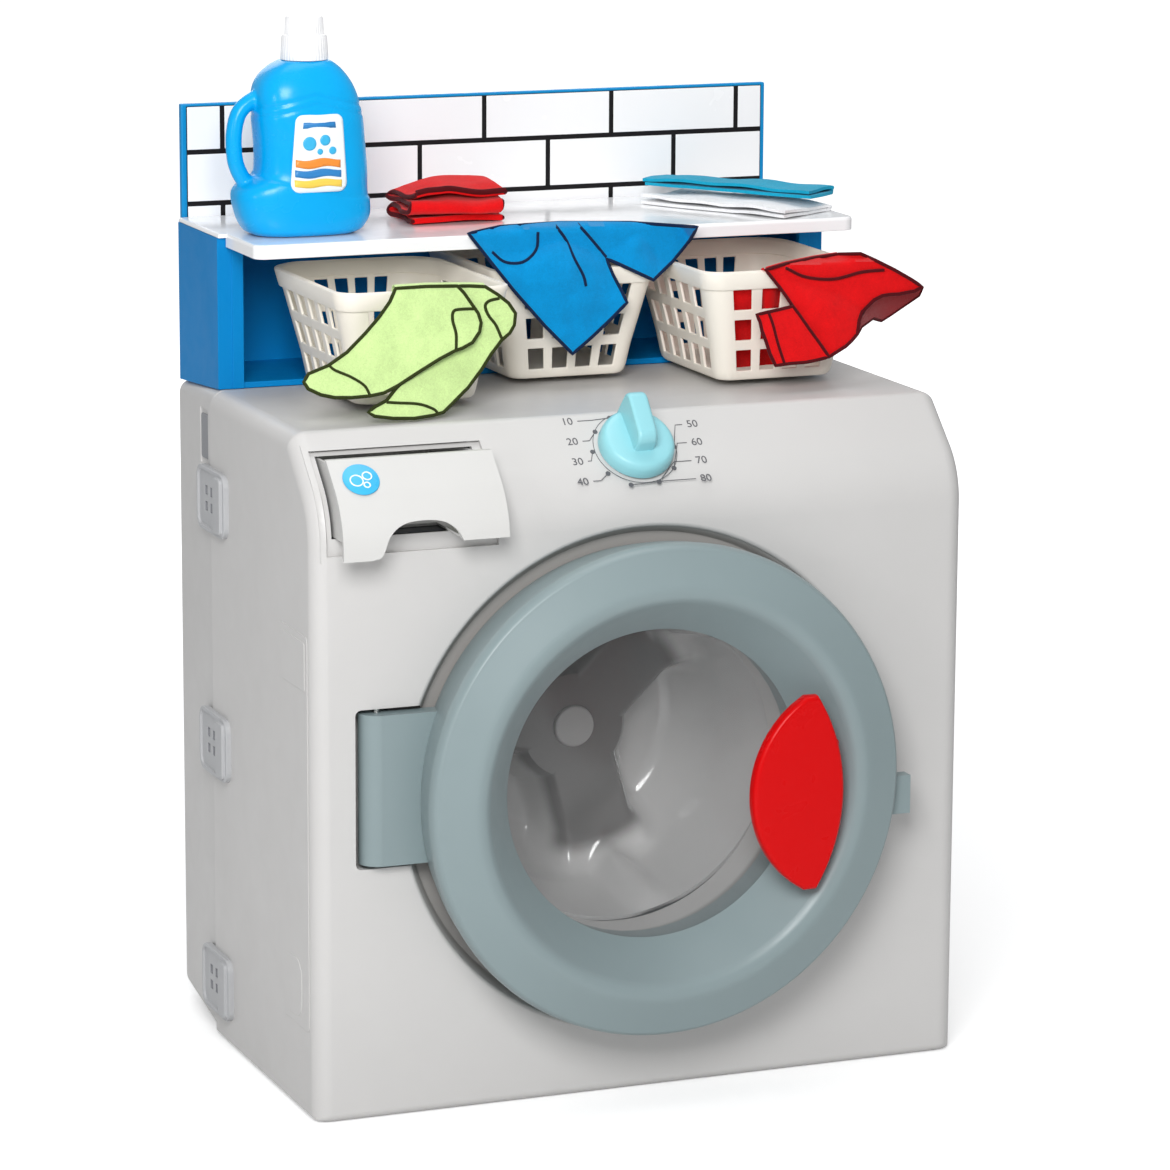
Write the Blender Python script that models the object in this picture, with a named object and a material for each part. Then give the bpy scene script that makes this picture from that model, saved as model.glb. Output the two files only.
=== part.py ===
"""Toy washing machine with a shelf of laundry baskets on its top.

Metres, +Z up. The door faces -Y and +X is to the viewer's right.
The origin is on the ground, under the middle of the case.
"""
import math

import bmesh
import bpy
from mathutils import Matrix, Vector

for old in list(bpy.data.objects):
    bpy.data.objects.remove(old, do_unlink=True)

# Clearances
GAP = 0.0003
OVERRUN = 0.002
EMBED = 0.001
MIN_RADIUS = 0.0006

# Case
CASE_W = 0.460
CASE_D = 0.312
CASE_H = 0.450
WALL = 0.003
SIDE_R = 0.012
FOOT_R = 0.006
TOP_EDGE_R = 0.008
PANEL_TILT = math.radians(43)
PANEL_DEPTH = 0.0474
PANEL_BLEND_R = 0.055
REAR_DEPTH = 0.098
SEAM_STEP = 0.0015
BOTTOM_ROUND_SHARE = 0.35
FRONT_Y = -CASE_D / 2
BACK_Y = CASE_D / 2
PANEL_TOP_Y = FRONT_Y + PANEL_DEPTH
SEAM_Y = BACK_Y - REAR_DEPTH

# Rear shell
REAR_TAPER = 0.006
REAR_TOP_DROP = 0.007
REAR_FOOT_RISE = 0.010
REAR_EDGE_R = 0.009
LIP_LENGTH = 0.010
LIP_WALL = 0.0022
AXLE_BOSS_R = 0.014
AXLE_BOSS_LENGTH = 0.050

# Door opening in the front shell
DOOR_Z = 0.2125
DISH_R = 0.1695
DISH_FLOOR_R = 0.1655
DISH_DEPTH = 0.010
COLLAR_R = 0.1085
COLLAR_LENGTH = 0.034

# Hinge
HINGE_X = -0.186
HINGE_SINK = 0.005
HINGE_Y = FRONT_Y + HINGE_SINK
HINGE_Z = 0.222
KNUCKLE_R = 0.012
KNUCKLE_H = 0.100
HINGE_BLOCK_FACE = 0.0125
HINGE_BLOCK_BACK = 0.0095
POCKET_CLEAR_X = 0.004
POCKET_CLEAR_Z = 0.003
POCKET_REACH = 0.031
POCKET_CLEAR_BACK = 0.0035
POCKET_WALL = 0.005
PIN_R = 0.002
PIN_GRIP = 0.010

# Door
RING_R = 0.165
RING_CREST_R = 0.1344
RING_INNER_R = 0.1035
RING_BACK_SINK = 0.0065
RING_BACK_Y = FRONT_Y + RING_BACK_SINK
RING_BACK_R = 0.157
RING_MIDDLE_R = 0.1618
RING_WIDE_REACH = 0.034
RING_WIDE_Y = FRONT_Y - RING_WIDE_REACH
RING_SHOULDER_R = 0.1605
RING_SHOULDER_REACH = 0.043
RING_SHOULDER_Y = FRONT_Y - RING_SHOULDER_REACH
RING_BEND = 0.0035
RING_BEND_DROP = 0.0010
RING_ROLL_R = 0.1262
RING_ROLL_REACH = 0.0462
RING_ROLL_Y = FRONT_Y - RING_ROLL_REACH
RING_CREST_REACH = 0.051
RING_CREST_Y = FRONT_Y - RING_CREST_REACH
RING_WALL = 0.003
RING_INNER_REACH = 0.016
RING_INNER_END_Y = FRONT_Y - RING_INNER_REACH
WINDOW_T = 0.002
WINDOW_FLANGE_R = 0.1105
WINDOW_DOME = 0.012
WINDOW_RING_SHARES = (0.90, 0.66, 0.33, 0.0)
BACK_RING_T = 0.003
BACK_RING_LIP_R = 0.1055
HANDLE_Z = 0.207
HANDLE_LEFT_X = 0.0903
HANDLE_RIGHT_X = 0.0988
HANDLE_HALF_H = 0.0655
HANDLE_LEFT_BULGE = 0.0375
HANDLE_RIGHT_BULGE = 0.0195
HANDLE_REACH = 0.0485
HANDLE_BACK_Y = FRONT_Y - HANDLE_REACH
HANDLE_T = 0.009
HANDLE_FACE_SHARE = 0.92
HANDLE_SCREW_X = 0.1138
HANDLE_BOSS_R = 0.0052
HANDLE_SEAT_REACH = 0.0182
HANDLE_SEAT_Y = FRONT_Y - HANDLE_SEAT_REACH
HANDLE_FOOT_X = 0.1118
HANDLE_FOOT_W = 0.0100
HANDLE_FOOT_HALF_H = 0.034
SCREW_R = 0.0015
SCREW_HEAD_R = 0.0035
SCREW_HEAD_T = 0.0018
HANDLE_SCREW_SPACING = 0.036
TAB_W = 0.012
TAB_H = 0.026
TAB_T = 0.010
TAB_Z = 0.194
CATCH_W = 0.014
CATCH_H = 0.018
CATCH_R = 0.140

# Drum
DRUM_Z = 0.219
DRUM_MOUTH_DEPTH = 0.049
DRUM_WEB_DEPTH = 0.129
DRUM_WEB_Y = FRONT_Y + DRUM_WEB_DEPTH
DRUM_POCKET_DEPTH = 0.037
DRUM_POCKET_Y = DRUM_WEB_Y + DRUM_POCKET_DEPTH
DRUM_FLOOR_R = 0.076
DRUM_BACK_R = 0.1045
DRUM_MOUTH_R = 0.1135
DRUM_MOUTH_Y = FRONT_Y + DRUM_MOUTH_DEPTH
DRUM_WALL = 0.0025
DRUM_ARM_HALF = 0.022
DRUM_ARM_BLEND = 0.016
DRUM_WEB_R = 0.036
DRUM_ARM_ANGLES = [math.radians(-a) for a in (45, 165, 285)]
DRUM_WALL_START_REACH = 0.018
DRUM_WALL_START_Y = DRUM_WEB_Y - DRUM_WALL_START_REACH
DRUM_FLOOR_SHARES = (0.30, 0.48, 0.64, 0.80, 1.0)
DRUM_WALL_SHARES = (0.5, 0.85, 1.0)
LIFTER_HEIGHT = 0.013
LIFTER_HALF_ANGLE = math.radians(11)
HUB_SLEEVE_R = 0.0115
HUB_SLEEVE_LENGTH = 0.060
HUB_RECESS_R = 0.0100
HUB_RECESS_D = 0.0050
HUB_CAP_R = 0.0143
HUB_CAP_T = 0.003
HUB_CAP_WALL = 0.0018
HUB_CAP_FACE_SHARE = 0.85
AXLE_R = 0.004
WASHER_R = 0.0075
WASHER_T = 0.0010
AXLE_SCREW_HEAD_R = 0.0052

# Knob on the sloping panel
KNOB_X = 0.0012
KNOB_Y = -0.1308
KNOB_R = 0.0255
KNOB_TOP_R = 0.0225
KNOB_DISC_H = 0.011
KNOB_RIM_H = 0.004
KNOB_RIDGE_HALF = 0.0062
KNOB_RIDGE_H = 0.030
KNOB_RIDGE_TAIL = 0.0115
KNOB_RIDGE_NOSE = 0.0262
KNOB_RIDGE_SINK = 0.004
KNOB_RIDGE_TAIL_DROP = 0.006
KNOB_RIDGE_SHARES = ((-1.0, 0.92), (-0.7, 1.0), (0.7, 1.0), (1.0, 0.92))
SHAFT_R = 0.004
SHAFT_BELOW = 0.0300
SHAFT_IN_KNOB = 0.008
WHEEL_R = 0.0100
WHEEL_TOOTH = 0.0012
WHEEL_TEETH = 12
WHEEL_T = 0.004
WHEEL_DEPTH = 0.014
CLIP_RING_R = 0.0075
CLIP_RING_T = 0.0012
SWITCH_W = 0.032
SWITCH_FLOOR_T = 0.008
SWITCH_SIDE_T = 0.003
SWITCH_DEPTH_SHARE = 0.8
SPRING_T = 0.0008
SPRING_H = 0.004
SPRING_LENGTH = 0.022
SPRING_TIP_RISE = 0.0012
SPRING_BEND_SHARE = 0.8
SPRING_TIP_SHARE = 0.16

# Detergent drawer
SLOT_X0 = -0.2205
SLOT_X1 = -0.1035
SLOT_LOW_DROP = 0.0732
SLOT_Z0 = CASE_H - SLOT_LOW_DROP
SLOT_TOP_DROP = 0.011
SLOT_Z1 = CASE_H - SLOT_TOP_DROP
DRAWER_SIDE_CLEAR = 0.0024
DRAWER_OUT = 0.0265
DRAWER_FRONT_T = 0.0026
DRAWER_STEP_UP = 0.009
DRAWER_EDGE_CLEAR = 0.0012
DRAWER_WALL = 0.0020
TRAY_INSET = 0.0040
TRAY_TOP_DROP = 0.0040
TRAY_DEPTH = 0.111
TRAY_BACK_Y = FRONT_Y + TRAY_DEPTH
GUIDE_WALL = 0.0016
GUIDE_CLEAR = 0.0015
GUIDE_DEPTH = 0.142
GUIDE_BACK_Y = FRONT_Y + GUIDE_DEPTH
NOTCH_X0 = -0.1940
NOTCH_X1 = -0.1325
NOTCH_RISE = 0.0242
NOTCH_TOP_Z = SLOT_Z0 + NOTCH_RISE
NOTCH_SPREAD = 0.003
NOTCH_ROUND_SHARE = 0.8
BADGE_R = 0.0122
BADGE_T = 0.0012
BADGE_X = -0.1990
BADGE_DROP = 0.0128
BADGE_Z = SLOT_Z1 - BADGE_DROP

# Side clips that staple the two shells together
CLIP_TOP_DROP = 0.073
CLIP_MIDDLE_Z = 0.209
CLIP_LOW_Z = 0.041
CLIP_Z_LIST = (CASE_H - CLIP_TOP_DROP, CLIP_MIDDLE_Z, CLIP_LOW_Z)
CLIP_H = 0.044
CLIP_FRONT_REACH = 0.040
CLIP_FRONT_Y = SEAM_Y - CLIP_FRONT_REACH
CLIP_BACK_REACH = 0.020
CLIP_BACK_Y = SEAM_Y + CLIP_BACK_REACH
CLIP_T = 0.0035
CLIP_ROUND = 0.009
CLIP_LEG_Y = 0.012
CLIP_LEG_Z = 0.024
CLIP_LEG_INSET = 0.006
CLIP_LEG_REACH = 0.0085

# Sound box and batteries
SOUND_SIZE = (0.060, 0.036, 0.018)
SOUND_X = 0.095
SOUND_Y = -0.060
SPEAKER_R = 0.014
SPEAKER_T = 0.006
BATTERY_R = 0.0072
BATTERY_L = 0.0505
BATTERY_X = 0.095
BATTERY_DROP = 0.088
BATTERY_Z = CASE_H - BATTERY_DROP
BATTERY_PITCH = 0.0160
BATTERY_ROOM = 0.0012
BOX_WALL = 0.0018
BOX_FLANGE = 0.004
COVER_T = 0.0022
COVER_LEDGE = 0.002

# Shelf unit on the rear shell
UNIT_X0 = -0.2222
UNIT_X1 = 0.2222
UNIT_FRONT_REACH = 0.0935
UNIT_FRONT_Y = BACK_Y - UNIT_FRONT_REACH
UNIT_BACK_INSET = 0.0055
UNIT_BACK_Y = BACK_Y - UNIT_BACK_INSET
UNIT_H = 0.1027
UNIT_TOP_Z = CASE_H + UNIT_H
UNIT_FLOOR_RISE = 0.004
UNIT_FLOOR_Z = CASE_H + UNIT_FLOOR_RISE
UNIT_WALL = 0.003
POST_W = 0.0180
POST_RIB_W = 0.008
POST_RIB_D = 0.004
SHELF_HALF_W = 0.2166
SHELF_REAR_HALF_W = 0.2225
SHELF_STEP_REACH = 0.097
SHELF_STEP_Y = BACK_Y - SHELF_STEP_REACH
SHELF_FRONT_REACH = 0.1605
SHELF_FRONT_Y = BACK_Y - SHELF_FRONT_REACH
SHELF_BACK_INSET = 0.0073
SHELF_BACK_Y = BACK_Y - SHELF_BACK_INSET
SHELF_LIP_DROP = 0.0062
SHELF_LIP_Z = UNIT_TOP_Z - SHELF_LIP_DROP
SHELF_RISE = 0.0033
SHELF_TOP_Z = UNIT_TOP_Z + SHELF_RISE
SHELF_PLATE_T = 0.003
SHELF_EDGE_R = 0.0022
SHELF_CORNER_R = 0.008
BOARD_X0 = -0.2190
BOARD_X1 = 0.2160
BOARD_T = 0.0055
BOARD_RISE = 0.0803
BOARD_TOP_Z = UNIT_TOP_Z + BOARD_RISE
TILE_T = 0.0015
TILE_BORDER = 0.0035
UNIT_SCREW_RISE = 0.040
UNIT_SCREW_Z = CASE_H + UNIT_SCREW_RISE
UNIT_SCREW_X = 0.180
LEG_HALF_W = 0.010
LEG_T = 0.004
LEG_DEPTH = 0.014
LEG_INSET = 0.051
LEG_Y = BACK_Y - LEG_INSET

# Baskets
BASKET_SIDES = ("left", "middle", "right")
BASKET_X_LIST = (-0.1215, 0.0105, 0.1400)
BASKET_FRONT_Y_LIST = (-0.0536, 0.0070, -0.0478)
BASKET_W = 0.086
BASKET_D = 0.122
BASKET_FLARE = 0.018
BASKET_RIM_RISE = 0.081
BASKET_TOP_Z = CASE_H + BASKET_RIM_RISE
BASKET_WALL = 0.0020
BASKET_RIM = 0.0022
BASKET_FRONT_R = 0.010
BASKET_BACK_R = 0.024
BASKET_LEVEL_SHARES = (0.0, 0.055, 0.215, 0.300, 0.480, 0.575, 0.775, 1.0)
BASKET_HOLE_LEVELS = (1, 3, 5)
BASKET_FRONT_HOLES = 4
BASKET_SIDE_HOLES = 3
BASKET_HOLE_SHARE = 0.66

# Bottle
BOTTLE_X = -0.165
BOTTLE_Y = 0.047
BOTTLE_HALF_D = 0.0275
BOTTLE_LEVELS = (
    (0.0000, -0.0385, 0.0325, 0.84),
    (0.0050, -0.0440, 0.0395, 0.97),
    (0.0125, -0.0477, 0.0438, 1.00),
    (0.0250, -0.0505, 0.0430, 1.00),
    (0.0320, -0.0490, 0.0427, 1.00),
    (0.0390, -0.0360, 0.0425, 1.00),
    (0.0480, -0.0350, 0.0420, 1.00),
    (0.0680, -0.0355, 0.0400, 1.00),
    (0.0850, -0.0355, 0.0365, 0.97),
    (0.0960, -0.0352, 0.0330, 0.92),
    (0.1040, -0.0320, 0.0285, 0.82),
    (0.1110, -0.0250, 0.0225, 0.68),
    (0.1155, -0.0165, 0.0165, 0.54),
)
BOTTLE_ROUND_SHARE = 0.72
BOTTLE_HOLLOW_SHARE = 0.93
BOTTLE_NECK_R = 0.0115
BOTTLE_NECK_TOP = 0.1300
CAP_SKIRT_R = 0.0157
CAP_TOP_R = 0.0125
CAP_STEP_Z = 0.1320
CAP_TOP_Z = 0.1445
CAP_WALL = 0.0016
GRIP_R = 0.0055
GRIP_POINTS = (
    (-0.0250, 0.0945), (-0.0350, 0.0905), (-0.0450, 0.0830), (-0.0490, 0.0720),
    (-0.0498, 0.0600), (-0.0485, 0.0480), (-0.0440, 0.0380), (-0.0370, 0.0290),
)
LABEL_X0 = -0.019
LABEL_X1 = 0.022
LABEL_Z0 = 0.030
LABEL_Z1 = 0.082
LABEL_T = 0.0008

# Cloths
FELT_T = 0.0012
FELT_CLEAR = 0.0006
SOCK_INSIDE = 0.016
SOCK_LEAN = 0.0045
SOCK_RIPPLE = 0.0008
RIPPLE_WAVES = 1.25
SOCKS = (
    ("sock_front", 0.0034, (
        (-0.1500, -0.1080, 0.5310), (-0.1560, -0.1080, 0.5130), (-0.1680, -0.1080, 0.4950),
        (-0.1850, -0.1180, 0.4830), (-0.2020, -0.1330, 0.4790), (-0.2100, -0.1650, 0.4700))),
    ("sock_back", 0.0, (
        (-0.1060, -0.0880, 0.5310), (-0.1050, -0.0700, 0.5180), (-0.1090, -0.0640, 0.5020),
        (-0.1200, -0.0740, 0.4860), (-0.1400, -0.0920, 0.4700), (-0.1650, -0.1160, 0.4580))),
)
SHORTS_LAP = 0.020
SHORTS_RIPPLE = 0.0030
SHORTS_LEAN = 0.013
SHORTS_WAIST_X = (-0.0676, 0.0945)
SHORTS_LEFT_TIP = (0.0030, 0.4740)
SHORTS_LEFT_SIDE = (0.0450, 0.5040)
SHORTS_CROTCH = (0.0390, 0.5420)
SHORTS_RIGHT_TIP = (0.0650, 0.5180)
SHORTS_HEM_SHARES = (0.0, 0.43, 0.64, 0.71, 0.86, 1.0)
SHIRT_INSIDE = 0.030
SHIRT_CORNER = 0.0045
SHIRT_FRONT_LINES = (
    (0.086, 0.000, 0.006, 0.049),
    (0.056, -0.001, 0.010, 0.067),
    (0.026, 0.010, 0.012, 0.060),
)
SHIRT_CORNER_HANG = (0.012, 0.010, 0.045)
SHIRT_SIDE_LINE = (0.034, 0.034, 0.040, 0.020)
SHIRT_HANG_SHARES = ((0.0, 0.02), (0.25, 0.16), (0.75, 0.5), (1.0, 1.0))
TOWEL_FOLD_SHARE = 0.45
TOWEL_LENGTH_SHARES = ((-0.5, 0.9), (-0.46, 1.0), (0.46, 1.0), (0.5, 0.9))
RED_TOWEL = (-0.053, 0.075, 0.0, 0.080, 0.055, 0.024)
WHITE_TOWEL = (0.152, 0.066, math.radians(-60), 0.120, 0.060, 0.010)
TEAL_TOWEL = (0.157, 0.076, math.radians(-54), 0.132, 0.038, 0.006)


def finish(name, colour, roughness, metallic=0.0, alpha=1.0):
    """A Principled material with the piece's colour."""
    made = bpy.data.materials.new(name)
    made.use_nodes = True
    shader = made.node_tree.nodes["Principled BSDF"]
    shader.inputs["Base Color"].default_value = (*colour, 1.0)
    shader.inputs["Roughness"].default_value = roughness
    shader.inputs["Metallic"].default_value = metallic
    shader.inputs["Alpha"].default_value = alpha
    return made


CASE_GREY = finish("case_grey", (0.56, 0.57, 0.57), 0.45)
CLIP_GREY = finish("clip_grey", (0.38, 0.39, 0.41), 0.5)
RING_BLUE_GREY = finish("ring_blue_grey", (0.33, 0.41, 0.44), 0.35)
HANDLE_RED = finish("handle_red", (0.80, 0.01, 0.01), 0.3)
CLEAR = finish("clear", (0.85, 0.88, 0.88), 0.05, 0.0, 0.3)
DRUM_GREY = finish("drum_grey", (0.33, 0.31, 0.30), 0.3)
KNOB_AQUA = finish("knob_aqua", (0.25, 0.62, 0.70), 0.35)
DRAWER_GREY = finish("drawer_grey", (0.68, 0.68, 0.67), 0.45)
DARK_GREY = finish("dark_grey", (0.08, 0.08, 0.09), 0.5)
STEEL = finish("steel", (0.6, 0.6, 0.6), 0.3, 1.0)
UNIT_BLUE = finish("unit_blue", (0.0, 0.28, 0.68), 0.35)
WHITE = finish("white", (0.85, 0.85, 0.86), 0.25)
BASKET_CREAM = finish("basket_cream", (0.75, 0.70, 0.62), 0.45)
BOTTLE_BLUE = finish("bottle_blue", (0.0, 0.42, 0.87), 0.3)
FELT_GREEN = finish("felt_green", (0.45, 0.78, 0.33), 0.95)
FELT_BLUE = finish("felt_blue", (0.02, 0.25, 0.65), 0.95)
FELT_RED = finish("felt_red", (0.78, 0.03, 0.02), 0.95)
TOWEL_TEAL = finish("towel_teal", (0.02, 0.50, 0.70), 0.95)
TOWEL_WHITE = finish("towel_white", (0.85, 0.85, 0.85), 0.95)


def solid(name, points, faces, look, sharp_degrees=35):
    """A closed mesh object with its faces turned outward."""
    mesh = bpy.data.meshes.new(name)
    mesh.from_pydata([tuple(p) for p in points], [], faces)
    work = bmesh.new()
    work.from_mesh(mesh)
    bmesh.ops.recalc_face_normals(work, faces=work.faces)
    work.to_mesh(mesh)
    work.free()
    mesh.materials.append(look)
    mesh.shade_smooth()
    mesh.set_sharp_from_angle(angle=math.radians(sharp_degrees))
    made = bpy.data.objects.new(name, mesh)
    bpy.context.scene.collection.objects.link(made)
    return made


def guide(made):
    """Marks an object that only cuts or adds to another."""
    made.hide_render = True
    made.display_type = "WIRE"
    return made


def combine(target, tool, operation):
    tool.parent = target
    step = target.modifiers.new(tool.name, "BOOLEAN")
    step.solver = "EXACT"
    step.operation = operation
    step.object = guide(tool)
    return target


def cut(target, tool):
    return combine(target, tool, "DIFFERENCE")


def join(target, tool):
    return combine(target, tool, "UNION")


def box(name, low, high, look=None):
    return boxes(name, [(low, high)], look)


def boxes(name, corner_pairs, look=None):
    """Separate boxes in one object, each from its low and its high corner."""
    points, faces = [], []
    for low, high in corner_pairs:
        start = len(points)
        xs, ys, zs = zip(low, high)
        points += [(x, y, z) for x in xs for y in ys for z in zs]
        for face in ((0, 1, 3, 2), (4, 6, 7, 5), (0, 4, 5, 1), (2, 3, 7, 6), (0, 2, 6, 4), (1, 5, 7, 3)):
            faces.append(tuple(start + i for i in face))
    return solid(name, points, faces, look or CASE_GREY)


def loft(name, rings, look, sharp_degrees=35):
    """Joins rings of equal count and closes the two ends."""
    count = len(rings[0])
    points = [p for ring in rings for p in ring]
    faces = []
    for level in range(len(rings) - 1):
        for i in range(count):
            j = (i + 1) % count
            low, high = level * count, (level + 1) * count
            faces.append((low + i, low + j, high + j, high + i))
    faces.append(tuple(range(count)))
    last = (len(rings) - 1) * count
    faces.append(tuple(last + i for i in range(count)))
    return solid(name, points, faces, look, sharp_degrees)


def prism(name, outline, axis, low, high, look):
    """Extrudes a flat outline along one axis."""
    place = {
        "X": lambda p, level: (level, p[0], p[1]),
        "Y": lambda p, level: (p[0], level, p[1]),
        "Z": lambda p, level: (p[0], p[1], level),
    }[axis]
    rings = [[place(p, level) for p in outline] for level in (low, high)]
    return loft(name, rings, look)


def lathe(name, profile, place, segments, look, sharp_degrees=35):
    """Turns a closed outline of (radius, height) about the local z axis.

    The outline may be a function of the angle. Radius zero is one point.
    """
    angles = [math.tau * i / segments for i in range(segments)]
    outlines = [profile(a) if callable(profile) else profile for a in angles]
    points, index = [], []
    for k in range(len(outlines[0])):
        row = []
        for a, outline in zip(angles, outlines):
            radius, height = outline[k]
            if radius == 0 and row:
                row.append(row[0])
                continue
            row.append(len(points))
            points.append(place @ Vector((radius * math.cos(a), radius * math.sin(a), height)))
        index.append(row)
    faces = []
    for k, row in enumerate(index):
        other = index[(k + 1) % len(index)]
        for i in range(segments):
            j = (i + 1) % segments
            corners = []
            for corner in (row[i], row[j], other[j], other[i]):
                if corner not in corners:
                    corners.append(corner)
            if len(corners) > 2:
                faces.append(tuple(corners))
    return solid(name, points, faces, look, sharp_degrees)


def rod(name, place, radius, low, high, segments, look):
    return lathe(name, [(0, low), (radius, low), (radius, high), (0, high)], place, segments, look)


def washer(name, place, inner, outer, low, high, segments, look):
    return lathe(name, [(inner, low), (outer, low), (outer, high), (inner, high)], place, segments, look)


def along_y(x, z):
    """Places a turned shape so that its axis runs along +Y, with its own y axis downward."""
    return Matrix.Translation((x, 0, z)) @ Matrix.Rotation(-math.pi / 2, 4, "X")


def along_z(x, y):
    return Matrix.Translation((x, y, 0))


def fillet(corner, toward_in, toward_out, radius, steps):
    """Points of an arc that rounds a corner between two directions."""
    corner, a, b = Vector(corner), Vector(toward_in).normalized(), Vector(toward_out).normalized()
    half = a.angle(b) / 2
    centre = corner + (a + b).normalized() * (radius / math.sin(half))
    start = corner + a * (radius / math.tan(half)) - centre
    end = corner + b * (radius / math.tan(half)) - centre
    turn = math.atan2(start.x * end.y - start.y * end.x, start.dot(end))
    arc = []
    for i in range(steps + 1):
        c, s = math.cos(turn * i / steps), math.sin(turn * i / steps)
        arc.append((centre.x + start.x * c - start.y * s, centre.y + start.x * s + start.y * c))
    return arc


def rounded(corners, radii, steps):
    """A closed outline with each corner rounded."""
    outline = []
    for i, corner in enumerate(corners):
        before = Vector(corners[i - 1]) - Vector(corner)
        after = Vector(corners[(i + 1) % len(corners)]) - Vector(corner)
        outline += fillet(corner, before, after, radii[i], steps)
    return outline


def rounded_rectangle(x0, x1, z0, z1, radius, steps):
    corners = [(x0, z0), (x1, z0), (x1, z1), (x0, z1)]
    return rounded(corners, [radius] * 4, steps)


# Outline of the case seen from its side
PANEL_CORNER_Z = CASE_H - (PANEL_TOP_Y - FRONT_Y) * math.tan(PANEL_TILT)
PANEL_NORMAL = Vector((0, -math.sin(PANEL_TILT), math.cos(PANEL_TILT)))
PANEL_UP = Vector((0, math.cos(PANEL_TILT), math.sin(PANEL_TILT)))


def case_outline(inset, rear_y, bottom_share=1.0):
    """The side outline of the front shell, moved inward by inset."""
    top_y = PANEL_TOP_Y + inset * math.tan(PANEL_TILT / 2)
    corner_z = PANEL_CORNER_Z - inset * (1 - math.sin(PANEL_TILT)) / math.cos(PANEL_TILT)
    bottom = inset * bottom_share
    front = FRONT_Y + inset
    top = CASE_H - inset
    outline = [(rear_y, bottom)]
    outline += fillet((front, bottom), (1, 0), (0, 1), max(FOOT_R - inset, MIN_RADIUS), 2)
    slope = (PANEL_UP.y, PANEL_UP.z)
    outline += fillet((front, corner_z), (0, -1), slope, max(PANEL_BLEND_R - inset, MIN_RADIUS), 5)
    back_slope = (-PANEL_UP.y, -PANEL_UP.z)
    outline += fillet((top_y, top), back_slope, (1, 0), max(TOP_EDGE_R - inset, MIN_RADIUS), 2)
    outline.append((rear_y, top))
    return outline


def panel_front_y(z, inset):
    """Where the front of the case lies at height z, moved inward by inset."""
    blend = PANEL_BLEND_R - inset
    centre_y = FRONT_Y + PANEL_BLEND_R
    reach = PANEL_BLEND_R * math.tan((math.pi / 2 - PANEL_TILT) / 2)
    centre_z = PANEL_CORNER_Z - reach
    if z <= centre_z:
        return FRONT_Y + inset
    if z <= centre_z + blend * math.cos(PANEL_TILT):
        return centre_y - math.sqrt(blend ** 2 - (z - centre_z) ** 2)
    line_z = CASE_H - inset / math.cos(PANEL_TILT)
    return PANEL_TOP_Y - (line_z - z) / math.tan(PANEL_TILT)


def case_block(name, inset, rear_y, look):
    """The front shell's outer or inner form, with rounded side edges."""
    half_w = CASE_W / 2 - inset
    radius = SIDE_R - inset
    rings = []
    angles = [math.pi / 2 * i / 3 for i in range(4)]
    for side, order in ((-1, reversed(angles)), (1, angles)):
        for a in order:
            x = side * (half_w - radius + radius * math.sin(a))
            extra = radius * (1 - math.cos(a))
            share = (inset + extra * BOTTOM_ROUND_SHARE) / (inset + extra) if inset + extra > 0 else 1.0
            outline = case_outline(inset + extra, rear_y, share)
            rings.append([(x, y, z) for y, z in outline])
    return loft(name, rings, look)


def rear_ring(y, inset, radius):
    """A rounded rectangle of the rear shell at depth y."""
    share = (y - SEAM_Y) / (BACK_Y - SEAM_Y)
    half_w = CASE_W / 2 - SEAM_STEP - REAR_TAPER * share - inset
    top = CASE_H - REAR_TOP_DROP * share - inset
    bottom = REAR_FOOT_RISE * share + inset
    outline = rounded_rectangle(-half_w, half_w, bottom, top, radius, 3)
    return [(x, y, z) for x, z in outline]


def rear_top_z(y):
    """Height of the rear shell's top at depth y."""
    return CASE_H - REAR_TOP_DROP * (y - SEAM_Y) / (BACK_Y - SEAM_Y)


def clip_legs(side, clear):
    """The boxes that the side clips' legs fill, one pair for each clip."""
    outer = side * (CASE_W / 2 + CLIP_T / 2)
    inner = side * (CASE_W / 2 - CLIP_LEG_REACH)
    pairs = []
    for z in CLIP_Z_LIST:
        for start in (CLIP_FRONT_Y + CLIP_LEG_INSET, CLIP_BACK_Y - CLIP_LEG_INSET - CLIP_LEG_Y):
            low = (min(outer, inner), start - clear, z - CLIP_LEG_Z / 2 - clear)
            high = (max(outer, inner), start + CLIP_LEG_Y + clear, z + CLIP_LEG_Z / 2 + clear)
            pairs.append((low, high))
    return pairs


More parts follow.
